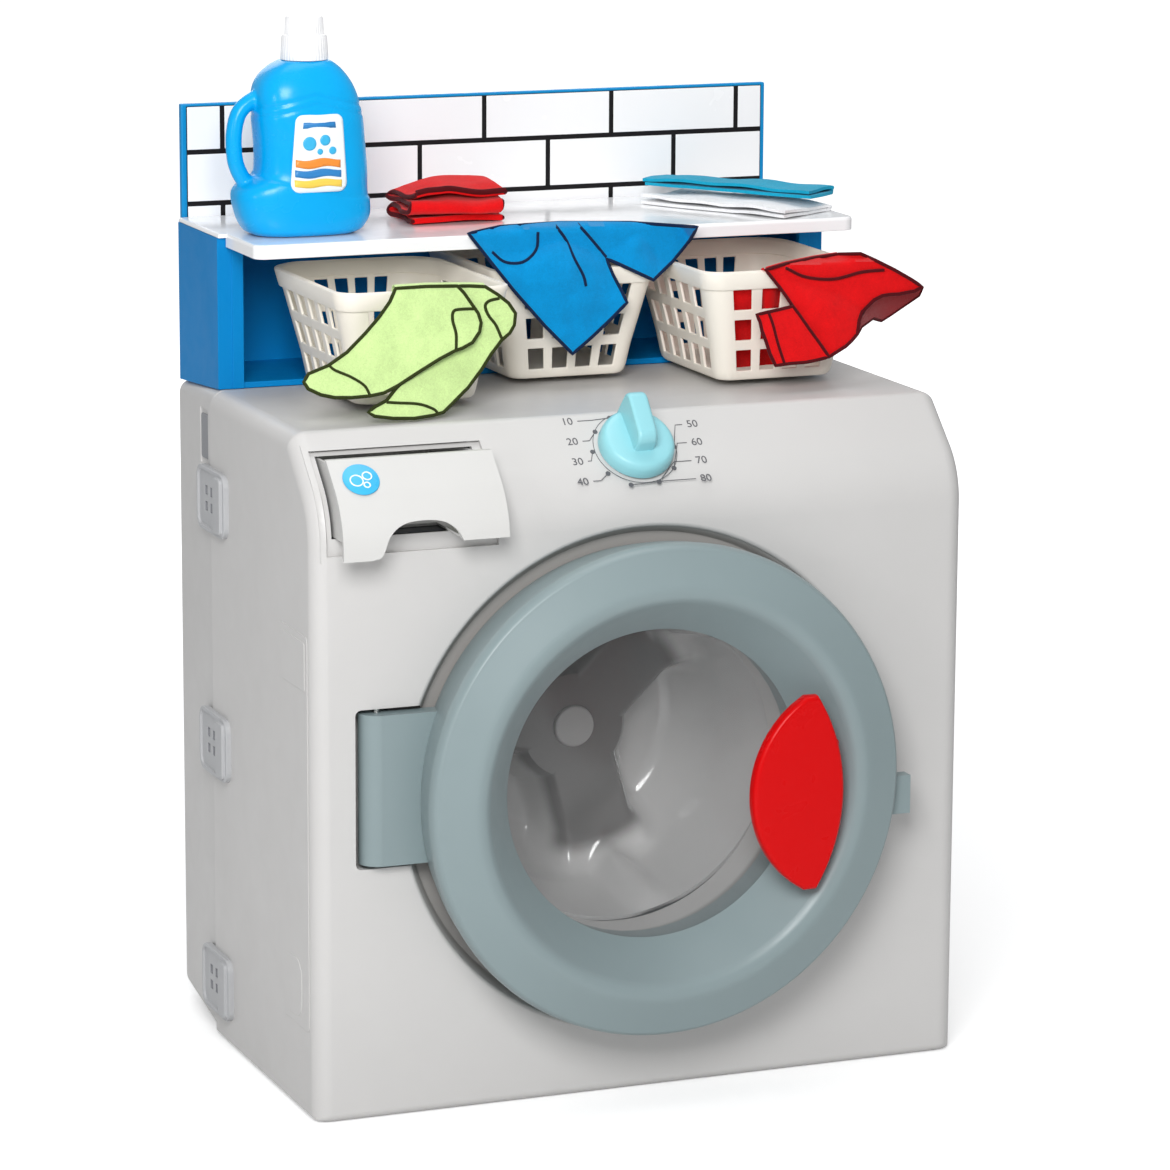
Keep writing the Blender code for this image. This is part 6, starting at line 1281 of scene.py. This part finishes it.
def bottle_front_y(x, z):
    """Where the bottle's front lies."""
    left, right, depth = bottle_level(z)
    centre, half = (left + right) / 2, (right - left) / 2
    power = 2 / ROUND_SHARE
    rest = max(1 - abs((x - centre) / half) ** power, 0.0)
    return BOTTLE_Y - BOTTLE_HALF_D * depth * rest ** (1 / power)


def bottle_pieces():
    """A bottle with a loop handle, its ribbed cap and its label."""
    place = Matrix.Translation((BOTTLE_X, BOTTLE_Y, BOTTLE_BASE))
    body = loft("bottle_body", [bottle_ring(*level) for level in smooth_line(BOTTLE_LEVELS, 52)], BOTTLE, 60)
    grip_line = [(BOTTLE_X + p.x, BOTTLE_Y, BOTTLE_BASE + p.y) for p in smooth_line(GRIP_POINTS, 40)]
    grip = as_mesh(tube("grip", grip_line, 0.0055, BOTTLE, False, 8), BOTTLE)
    neck = rod("neck", place, 0.0115, 0.108, 0.1300, 48, BOTTLE)
    work = bmesh.new()
    for part in (body, grip, neck):
        work.from_mesh(part.data)
    work.to_mesh(body.data)
    work.free()
    for part in (grip, neck):
        bpy.data.objects.remove(part, do_unlink=True)
    remesh = body.modifiers.new("skin", "REMESH")
    remesh.mode = "VOXEL"
    remesh.voxel_size = 0.0011
    smooth = body.modifiers.new("smooth", "SMOOTH")
    smooth.factor, smooth.iterations = 0.5, 5
    settle(body, 180)
    for vertex in body.data.vertices:
        x, z = vertex.co.x - BOTTLE_X, vertex.co.z - BOTTLE_BASE
        inward = (Vector((BOTTLE_X, BOTTLE_Y, vertex.co.z)) - vertex.co).normalized()
        swoosh = 0.0385 - 0.016 * ease((x + 0.05) / 0.09)
        shoulder = 0.094 - 0.25 * abs(x)
        step = 0.0011 * ease((z - swoosh) / 0.0022) * (1 - ease((z - 0.060) / 0.02))
        groove = 0.0007 * math.exp(-((z - shoulder) / 0.0011) ** 2)
        groove += 0.0005 * math.exp(-((z - shoulder + 0.006) / 0.0011) ** 2)
        if x > -0.037 and z < 0.108:
            vertex.co += inward * (step * (1 if vertex.co.y < BOTTLE_Y + 0.02 else 0.6) + groove)
    body.data.materials.clear()
    body.data.materials.append(BOTTLE)
    put(body, "soap_bottle", ["bottle"])
    skirt_low, step_z, top_z = 0.1158, 0.1320, 0.1445

    def cap_profile(angle):
        rib = 0.00035 * (0.5 + 0.5 * math.cos(angle * 40)) ** 2
        return [
            (0.0118, skirt_low), (0.0155 + rib, skirt_low), (0.0157 + rib, skirt_low + 0.001),
            (0.0148 + rib, step_z - 0.001),
            (0.0143, step_z), (0.0130 + rib, step_z + 0.0004), (0.0127 + rib, step_z + 0.002),
            (0.0123 + rib, top_z - 0.0013),
            (0.0118, top_z - 0.0003), (0.0108, top_z), (0, top_z), (0, 0.1303), (0.0118, 0.1303)]

    put(lathe("bottle_top", cap_profile, place, 240, CAP, 40), "soap_bottle", ["bottle_cap"])
    label_pieces()


def wrap(name, outline, lift, look, cell=0.0016):
    """A printed patch that follows the bottle's front."""
    points = fill_points(outline, cell)
    flat, _, faces = triangles(outline, points)
    placed = [(BOTTLE_X + u, bottle_front_y(u, v) - lift, BOTTLE_BASE + v) for u, v in flat]
    made = piece(name, placed, faces, look, 60)
    thicken(made, 0.00012, 0.0)
    return put(made, "soap_bottle")


def label_pieces():
    """A generic label: a pale shield, three waves of colour and a few bubbles."""
    corners = [(-0.0195, 0.0300), (0.0205, 0.0300), (0.0175, 0.0815), (-0.0150, 0.0815)]
    shield = rounded(corners, [0.006, 0.006, 0.005, 0.005], 6)
    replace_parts(wrap("label_shield", shield, 0.0003, LABEL_WHITE), "bottle_label")

    def wave(low, high, swing, reach):
        xs = [-reach + 2 * reach * i / 20 for i in range(21)]
        bottom = [(x, low + swing * math.sin(x * 260)) for x in xs]
        top = [(x, high + swing * math.sin(x * 260 + 0.7)) for x in reversed(xs)]
        return bottom + top

    bands = ((0.0335, 0.0385, 0.0006, 0.0165, YELLOW), (0.0400, 0.0450, 0.0007, 0.0160, LABEL_BLUE),
             (0.0465, 0.0520, 0.0008, 0.0155, ORANGE))
    for k, (low, high, swing, reach, look) in enumerate(bands):
        wrap("label_wave_%d" % (k + 1), wave(low, high, swing, reach), 0.00055, look)
    wrap("label_bar", [(-0.0105, 0.0725), (0.0125, 0.0725), (0.0120, 0.0765), (-0.0100, 0.0765)], 0.00055,
        LABEL_BLUE)
    for k, (u, v, size) in enumerate(((-0.0060, 0.0625, 0.0046), (0.0048, 0.0645, 0.0036),
            (0.0100, 0.0575, 0.0026), (0.0012, 0.0570, 0.0020))):
        disc = [(u + x, v + y) for x, y in circle(size, 28)]
        wrap("label_bubble_%d" % (k + 1), disc, 0.00055, BADGE, 0.001)


# Cloths
def fill_points(outline, cell):
    """Grid points inside an outline, clear of its border."""
    xs, ys = [p[0] for p in outline], [p[1] for p in outline]
    inside = []
    rows = int((max(ys) - min(ys)) / cell)
    columns = int((max(xs) - min(xs)) / cell)
    for r in range(1, rows + 1):
        for c in range(1, columns + 1):
            x = min(xs) + cell * (c - (0.5 if r % 2 else 0.0))
            y = min(ys) + cell * (r - 0.5)
            if contains(outline, x, y) and border_distance(outline, x, y) > cell * 0.6:
                inside.append((x, y))
    return inside


def contains(outline, x, y):
    """Whether a point lies inside an outline."""
    odd = False
    for i, (x1, y1) in enumerate(outline):
        x0, y0 = outline[i - 1]
        if (y0 > y) != (y1 > y) and x < (x1 - x0) * (y - y0) / (y1 - y0) + x0:
            odd = not odd
    return odd


def border_distance(outline, x, y):
    best = 1e9
    spot = Vector((x, y))
    for i, b in enumerate(outline):
        a, b = Vector(outline[i - 1]), Vector(b)
        along = b - a
        t = min(max((spot - a).dot(along) / max(along.length_squared, 1e-12), 0), 1)
        best = min(best, (spot - a - along * t).length)
    return best


def triangles(outline, inside):
    points = [Vector(p) for p in outline] + [Vector(p) for p in inside]
    loop = list(range(len(outline)))
    verts, edges, faces = geometry.delaunay_2d_cdt(points, [], [loop], 1, 1e-7)[:3]
    return [(v.x, v.y) for v in verts], edges, [tuple(f) for f in faces]


class Drape:
    """A cloth's place: each point of the photograph to a point in space.

    The given points fix how deep the cloth lies, and a smooth plate fills between.
    A ledge is a corner (front y, top z) that the cloth bends over.
    """

    def __init__(self, known, ledges=(), ripple=0.0):
        self.ledges = ledges
        self.ripple = ripple
        spots = numpy.array([(px / 100, py / 100) for px, py, _, _ in known])
        depths = []
        for px, py, axis, value in known:
            line = sight(px, py)
            depths.append((value - EYE[axis]) / line[axis])
        self.spots = spots
        count = len(spots)
        kernel = self.kernel(spots)
        ones = numpy.hstack([numpy.ones((count, 1)), spots])
        system = numpy.zeros((count + 3, count + 3))
        system[:count, :count] = kernel + numpy.eye(count) * 1e-5
        system[:count, count:] = ones
        system[count:, :count] = ones.T
        self.weights = numpy.linalg.solve(system, numpy.array(depths + [0, 0, 0]))

    def kernel(self, points):
        distance = numpy.linalg.norm(points[:, None, :] - self.spots[None, :, :], axis=2)
        return distance ** 2 * numpy.log(distance + 1e-9)

    def point(self, px, py, toward=0.0):
        spot = numpy.array([[px / 100, py / 100]])
        count = len(self.spots)
        depth = float((self.kernel(spot) @ self.weights[:count])[0] + self.weights[count:] @ numpy.array(
            [1, px / 100, py / 100]))
        line = sight(px, py)
        wave = noise.noise(Vector((px / 34, py / 34, 1.7))) + 0.5 * noise.noise(
            Vector((px / 15, py / 15, 4.1)))
        depth -= self.ripple * wave
        for y, z in self.ledges:
            depth = min(depth, max((y - EYE.y) / line.y, (z - EYE.z) / line.z))
        return EYE + line * (depth - toward)


def cloth(name, outline, drape, look, edge_look, body, nodes, back=(), strokes=(),
        cell=3.2, thickness=0.0011):
    """A felt cut-out: a fine mesh laid on its drape, a dark edge and sewn lines."""
    dense = []
    for i, b in enumerate(outline):
        a, b = Vector(outline[i - 1]), Vector(b)
        count = max(int((b - a).length / (cell * 1.2)), 1)
        dense += [tuple(a.lerp(b, k / count)) for k in range(count)]
    flat_points, _, faces = triangles(dense, fill_points(dense, cell))
    points = [drape.point(px, py) for px, py in flat_points]
    border = [drape.point(px, py, 0.0010) for px, py in dense]
    if back:
        first, last, offsets = back
        chosen = [p for p in dense if min(first[0], last[0]) - 0.5 <= p[0] <= max(first[0], last[0]) + 0.5
                  and border_distance([first, last, last], *p) < 4.0]
        chosen.sort()
        rows = [[drape.point(*p) for p in chosen]]
        for dy, dz in offsets:
            rows.append([p + Vector((0, dy, dz)) for p in rows[0]])
        faces += grid_faces(len(rows) - 1, len(chosen) - 1, len(points))
        for row in rows:
            points += row
    made = piece(name, points, faces, look, 80)
    work = bmesh.new()
    work.from_mesh(made.data)
    bmesh.ops.remove_doubles(work, verts=work.verts, dist=0.00005)
    bmesh.ops.recalc_face_normals(work, faces=work.faces)
    work.faces.ensure_lookup_table()
    if work.faces[0].normal.dot(forward) > 0:
        bmesh.ops.reverse_faces(work, faces=work.faces)
    work.to_mesh(made.data)
    work.free()
    thicken(made, thickness, 1.0)
    settle(made, 80)
    made.data.materials.clear()
    made.data.materials.append(look)
    put(made, body, nodes)
    extras = [put(tube(name + "_edge", border, 0.00120, edge_look, True), body)]
    for k, stroke in enumerate(strokes):
        line = [drape.point(p.x, p.y, 0.0012) for p in smooth_line(stroke, 24)]
        extras.append(put(tube("%s_seam_%d" % (name, k + 1), line, 0.00105, edge_look), body))
    return made


def sock_pieces():
    """Two flat socks that hang over the left basket's front rim."""
    rim_y = -0.0716 - 0.0010
    hook = ((0.0035, 0.0010), (0.0062, 0.0004), (0.0074, -0.0040), (0.0085, -0.0100), (0.0100, -0.0170))
    front = [
        (395.6, 288.5), (426, 286.5), (457.3, 286), (464, 293), (470.1, 301.8), (478.2, 313.4), (481, 322.7),
        (479.4, 332),
        (472.4, 342.5), (462, 348.3), (455, 350.7), (439.8, 358.8), (421.2, 370.4), (397.9, 385.6),
        (384, 393), (370, 396),
        (351.4, 397.7), (335, 397.7), (321, 394.9), (308.3, 389), (303.7, 382), (308.3, 374), (328, 365.8),
        (346.7, 352.5),
        (365.4, 333.2), (379.3, 316.9), (389.8, 301.8)]
    rear = [
        (457.3, 286), (471, 286), (485.2, 286.7), (498, 294.8), (508.5, 303), (515.5, 313.4), (514.3, 325),
        (509.7, 333.2),
        (501.5, 340.2), (491.1, 354.2), (481.7, 369.3), (467.8, 387.9), (451.5, 404.2), (443.3, 412.3),
        (432.9, 415.4),
        (414.2, 418.4), (393.3, 418.4), (374.7, 416.3), (368.2, 412.3), (374.7, 407), (386.3, 400.7),
        (395.6, 389),
        (418, 366), (444, 344), (463, 322), (462, 300)]
    drape = Drape([
        (395.6, 289, Y, rim_y - 0.003), (457, 286, Y, rim_y - 0.003), (400, 320, Y, -0.082),
        (460, 320, Y, -0.080),
        (340, 372, Y, -0.094), (400, 372, Y, -0.089), (320, 393, Y, -0.104), (365, 394, Y, -0.100)],
        [(rim_y - 0.002, 0.5345)], 0.0016)
    strokes = (((329.3, 365.8), (335, 370.4), (351.4, 377.4), (364.2, 385.6), (369.5, 394.5)),
               ((474.8, 308.8), (462, 309.2), (453.8, 311.1), (452.6, 320), (456.1, 334), (456.1, 349)))
    cloth("sock_one", front, drape, FELT_GREEN, EDGE_GREEN, "left_basket", ["sock_front"],
          ((395.6, 288.5), (457.3, 286), hook), strokes)
    drape = Drape([
        (457, 286, Y, rim_y), (486, 286.7, Y, rim_y), (512, 318, Y, -0.076), (470, 330, Y, -0.0765),
        (480, 370, Y, -0.081),
        (430, 370, Y, -0.0835), (445, 408, Y, -0.0935), (400, 395, Y, -0.0945), (375, 411, Y, -0.1010),
        (410, 416, Y, -0.0995)],
        [(rim_y, 0.5325), (-0.30, 0.4522)], 0.0012)
    strokes = (((386.3, 402.3), (397.9, 403), (418.9, 404.2), (432.9, 408.9), (438, 413.5)),
               ((499.2, 298.3), (489, 301), (485.2, 306.3), (488.7, 315.8), (495.7, 325), (501.5, 338)))
    cloth("sock_two", rear, drape, FELT_GREEN, EDGE_GREEN, "left_basket", ["sock_back"],
          ((457.3, 286), (485.2, 286.7), hook), strokes)


def shorts_piece():
    """The shorts, laid over the shelf's front edge."""
    edge = SHELF_FRONT_Y - 0.0012
    top = SHELF_TOP_Z + 0.0018
    outline = [
        (468.5, 233.5), (500, 226.5), (560, 222.5), (630, 222.5), (697.5, 227), (690, 240), (672, 262),
        (653.3, 280),
        (636, 272), (620, 264.5), (606, 258.5), (613, 275), (621, 290), (627, 302.6), (612, 318), (592, 337),
        (572.5, 353.8),
        (545, 326), (515, 292), (490, 261)]
    drape = Drape([
        (470, 233, Z, top), (560, 222.5, Z, top), (640, 222.5, Z, top), (697, 227, Z, top),
        (490, 246, Y, edge), (560, 241, Y, edge),
        (640, 237, Y, edge), (687, 235.5, Y, edge), (572, 353.5, Y, -0.0195), (627, 302, Y, -0.0160),
        (606, 262, Y, -0.0100),
        (653, 279.5, Y, -0.0135), (520, 290, Y, -0.0125)], [(edge, top)], 0.0022)
    strokes = (((556, 226), (566, 240), (574, 258), (583, 275), (586, 286)),
        ((578, 224), (592, 240), (606, 257)),
               ((492, 252), (505, 262), (523, 262), (536, 250), (538, 232)))
    cloth("shorts", outline, drape, FELT_BLUE, EDGE_BLUE, "middle_basket", ["shorts_cloth"],
          (), strokes)


def shirt_pieces():
    """The shirt over the right basket's rim, with one sleeve and a turned-up fold."""
    top = BASKET_TOP_Z + 0.0035
    rim_y = -0.0658 - 0.0012
    body_outline = [
        (765.5, 269.8), (785.4, 263.8), (814.5, 257.7), (838.7, 254.1), (860.5, 253.6), (875.1, 260.1),
        (894.5, 269.8),
        (911.4, 279.5), (922.3, 286.8), (915, 291), (899.3, 294), (890, 294.6), (882.3, 295.8), (874, 300),
        (867.8, 306.2), (862, 312),
        (859.3, 320), (857.5, 334), (852, 340.5), (846, 346.2), (829, 357), (818, 348), (806, 330),
        (797, 315), (792.7, 306.2),
        (785.4, 295.3), (778.5, 286), (773.3, 279.5)]
    known = [
        (765.5, 269.8, Y, rim_y), (778, 286, Y, -0.0690), (814, 258, Z, top + 0.001),
        (840, 254, Z, top + 0.002), (860, 253.6, Z, top + 0.003),
        (800, 285, Y, -0.0700), (830, 300, Y, -0.0720), (792, 306, Y, -0.0715), (829, 357, Y, -0.0760),
        (857, 334, Y, -0.0720),
        (868, 306, Y, -0.0640), (899, 294, Y, -0.0540), (922, 286.8, Y, -0.0480), (894, 270, Y, -0.0400),
        (810, 335, Y, -0.0745)]
    drape = Drape(known, [(rim_y, top)], 0.0020)
    hook = ((0.0035, 0.0010), (0.0064, 0.0002), (0.0080, -0.0060), (0.0098, -0.0150), (0.0125, -0.0300))
    stroke = (((786, 268), (806, 277), (834, 279), (862, 272), (884, 270)),)
    cloth("shirt_body", body_outline, drape, FELT_RED, EDGE_RED, "right_basket", ["shirt_cloth"],
          ((765.5, 269.8), (838.7, 254.1), hook), stroke)
    sleeve_outline = [
        (756.8, 314.7), (768, 312), (778.1, 309.8), (792.7, 306.2), (800, 316), (809, 329), (820, 344),
        (829, 357), (817, 360),
        (804.8, 362.4), (790, 363.5), (775.7, 365.6), (770, 354), (766, 341.3), (762, 331), (760, 321.9)]
    sleeve = Drape([
        (756.8, 314.7, Y, -0.0770), (792.7, 306.2, Y, -0.0745), (829, 357, Y, -0.0785),
        (775.7, 365.6, Y, -0.0815), (790, 335, Y, -0.0790)], (), 0.0012)
    cloth("shirt_sleeve", sleeve_outline, sleeve, FELT_RED, EDGE_RED, "right_basket", (),
          (),
          (((768.5, 312.5), (773, 325), (778, 344), (784.5, 364)),))
    under_outline = [(922.3, 287.5), (918.7, 295.3), (909, 302), (899.3, 308.6), (890, 315), (881.1, 320.7),
        (872.7, 318.3), (861, 327), (857.5, 334),
                     (859.3, 318.3), (867.8, 304.5), (882.3, 295.0), (899.3, 293.2), (912, 291)]
    under = Drape([
        (922, 287, Y, -0.0470), (899, 308, Y, -0.0420), (881, 320, Y, -0.0440), (858, 333, Y, -0.0690),
        (882, 295, Y, -0.0570), (868, 305, Y, -0.0620)], (), 0.0008)
    # The fold takes the red felt in painted shade.
    cloth("shirt_fold", under_outline, under, FELT_RED_SHADED, EDGE_RED, "right_basket", ())


def inner_cloth():
    """The rest of the shirt, crumpled inside the right basket's front."""
    columns, rows = 26, 20
    points = []
    for r in range(rows + 1):
        for c in range(columns + 1):
            u, v = c / columns, r / rows
            x = 0.098 + 0.083 * u
            z = 0.4610 + 0.062 * v
            y = -0.0425 + 0.0085 * (1 - v) - 0.016 * v
            y += 0.0060 * noise.noise(Vector((u * 4.2, v * 3.4, 8.3))) * (1 - 0.5 * v)
            points.append((x - 0.008 * (1 - v) * (u - 0.5), y + 0.004, z))
    made = piece("shirt_inside", points, grid_faces(rows, columns), FELT_RED, 80)
    thicken(made, 0.0011)
    settle(made, 80)
    put(made, "right_basket")


def folded(name, place, width, depth, layer, layers, thickness, wobble, look, edge_look, body, nodes,
        seed):
    """A cloth folded to and fro, so that the folds show along its long sides."""
    x, y, base_z, turn = place
    half = depth / 2 - layer / 2
    path = []
    for k in range(layers):
        z = layer * (k + 0.5)
        ends = (-half, half) if k % 2 == 0 else (half, -half)
        for i in range(17):
            path.append((ends[0] + (ends[1] - ends[0]) * i / 16, z))
        if k < layers - 1:
            side = math.copysign(1, ends[1])
            for i in range(1, 8):
                a = -math.pi / 2 + math.pi * i / 8
                path.append((ends[1] + side * layer / 2 * math.cos(a) * 1.3,
                    z + layer / 2 + layer / 2 * math.sin(a)))
    placed = Matrix.Translation((x, y, base_z + thickness / 2)) @ Matrix.Rotation(turn, 4, "Z")
    columns = 44
    points = []
    height = layer * layers
    for r, (v, z) in enumerate(path):
        for c in range(columns + 1):
            u = (c / columns - 0.5) * width
            level = z / height
            rise = noise.noise(Vector((u * 26 + seed, v * 24, level * 1.4))) * wobble * (0.25 + level)
            edge = abs(c / columns - 0.5) * 2
            droop = -layer * 0.22 * level * max(edge - 0.72, 0) / 0.28
            shift = noise.noise(Vector((u * 18 + seed, level * 3.1, 2.2))) * wobble * 0.9
            along = noise.noise(Vector((v * 30, level * 2.6, seed))) * wobble * 1.2
            points.append(placed @ Vector((u + along * edge, v + shift,
                max(z - layer / 2 + rise + droop, 0.0) + layer * 0.15 * level)))
    made = piece(name, points, grid_faces(len(path) - 1, columns), look, 80)
    thicken(made, thickness, 0.0)
    settle(made, 80)
    put(made, body, nodes)
    border = [Vector(points[(len(path) - 1) * (columns + 1) + c]) + Vector(
        (0, 0, thickness * 0.35)) for c in range(columns + 1)]
    if edge_look:
        put(tube(name + "_edge", border, thickness * 0.5, edge_look), body)
        for side in (0, columns):
            line = [Vector(points[r * (columns + 1) + side]) for r in range(len(path))]
            put(tube("%s_side_%d" % (name, 1 if side else 0), line, thickness * 0.42,
                edge_look), body)
    return made


def towel_pieces():
    """The three folded cloths on the shelf."""
    top = SHELF_TOP_Z + 0.0003
    folded("towel_red_fold", (-0.053, 0.075, top, math.radians(3)), 0.066, 0.048, 0.0064, 4, 0.0038, 0.0068,
           FELT_RED, EDGE_RED, "red_towel", ["towel_red"], 3.3)
    folded("towel_white_fold", (0.156, 0.064, top, math.radians(-60)), 0.124, 0.056, 0.0042, 2, 0.0020,
        0.0030,
           FELT_WHITE, None, "towel_stack", ["towel_white"], 7.9)
    folded("towel_teal_fold", (0.162, 0.074, top + 0.0110, math.radians(-54)), 0.134, 0.034, 0.0036, 2,
        0.0021, 0.0030,
           FELT_TEAL, None, "towel_stack", ["towel_teal"], 12.4)


# Light and floor
SKY_STRENGTH = 0.42
LAMPS = (
    ("key_light", (-0.75, -1.50, 1.20), 0.7, 25),
    ("top_light", (0.1, 0.1, 2.4), 1.4, 14),
    ("strip_light", (-2.3, -1.5, 0.8), 0.38, 4),
    ("back_fill", (0.4, 2.6, 1.6), 1.8, 16),
)
LAMP_AIM = Vector((0, 0, 0.3))
FLOOR_HALF = 9


def camera_mix(tree, other, seen):
    """Shows one shader to the camera and to see-through rays, and the other to the rest."""
    path = tree.nodes.new("ShaderNodeLightPath")
    either = add_node(tree, "ShaderNodeMath", operation="MAXIMUM")
    tree.links.new(path.outputs["Is Camera Ray"], either.inputs[0])
    tree.links.new(path.outputs["Is Transmission Ray"], either.inputs[1])
    mix = tree.nodes.new("ShaderNodeMixShader")
    for source, socket in zip((either, other, seen), mix.inputs):
        tree.links.new(source.outputs[0], socket)
    return mix


def light_scene():
    """A dim sky that the camera sees as white, and four soft lamps."""
    world = bpy.data.worlds.new("studio")
    world.use_nodes = True
    bpy.context.scene.world = world
    tree = world.node_tree
    background = tree.nodes["Background"]
    background.inputs["Color"].default_value = (0.97, 0.985, 1.0, 1)
    background.inputs["Strength"].default_value = SKY_STRENGTH
    white = add_node(tree, "ShaderNodeBackground", Color=(1, 1, 1, 1), Strength=1.0)
    mix = camera_mix(tree, background, white)
    tree.links.new(mix.outputs[0], tree.nodes["World Output"].inputs["Surface"])
    for name, spot, size, power in LAMPS:
        data = bpy.data.lights.new(name, "AREA")
        data.shape = "SQUARE"
        data.size = size
        data.energy = power
        lamp = link(bpy.data.objects.new(name, data))
        lamp.location = spot
        lamp.rotation_mode = "QUATERNION"
        lamp.rotation_quaternion = (LAMP_AIM - Vector(spot)).to_track_quat("-Z", "Y")


def make_floor():
    """A pale floor that glows a little more the further it lies from the toy."""
    corners = [(x * FLOOR_HALF, y * FLOOR_HALF, 0) for x, y in ((-1, -1), (1, -1), (1, 1), (-1, 1))]
    made = bpy.data.materials.new("pale_floor")
    made.use_nodes = True
    floor = piece("floor", corners, [(0, 1, 2, 3)], made)
    tree = made.node_tree
    shader = tree.nodes["Principled BSDF"]
    shader.inputs["Base Color"].default_value = (0.78, 0.78, 0.78, 1)
    shader.inputs["Roughness"].default_value = 0.7
    shader.inputs["Specular IOR Level"].default_value = 0.1
    glow = tree.nodes.new("ShaderNodeEmission")
    place = tree.nodes.new("ShaderNodeTexCoord")
    length = vector_step(tree, place, "Object", "LENGTH")
    rise = remap(tree, length, "Value", 0.45, 2.2, 0.38, 0.80)
    wire(tree, rise, "Result", glow, "Strength")
    nothing = add_node(tree, "ShaderNodeEmission", Strength=0.0)
    both = tree.nodes.new("ShaderNodeAddShader")
    tree.links.new(shader.outputs[0], both.inputs[0])
    tree.links.new(camera_mix(tree, nothing, glow).outputs[0], both.inputs[1])
    tree.links.new(both.outputs[0], tree.nodes["Material Output"].inputs["Surface"])


make_camera()
case_front()
case_rear()
side_clips()
side_plate()
drum_pieces()
door_pieces()
knob_pieces()
dial_print()
drawer_pieces()
shelf_pieces()
for basket_label, basket_x, basket_y in BASKETS:
    basket_piece(basket_label, basket_x, basket_y)
bottle_pieces()
sock_pieces()
shorts_piece()
shirt_pieces()
inner_cloth()
towel_pieces()
paint(STEEL, "drum_axle", "axle_screw", "axle_washer", "hinge_pin_upper", "hinge_pin_lower",
    "handle_screw_lower",
      "handle_screw_upper", "knob_retaining_clip", "click_spring", "board_screw_left", "board_screw_right",
      "battery_cover_screw")
paint(DARK, "door_catch", "knob_shaft", "rotary_switch", "sound_box", "speaker", "battery_box")
paint(BRASS, "battery_1", "battery_2")
paint(CASE, "battery_cover")
light_scene()
make_floor()
bpy.context.scene.view_settings.view_transform = "Standard"
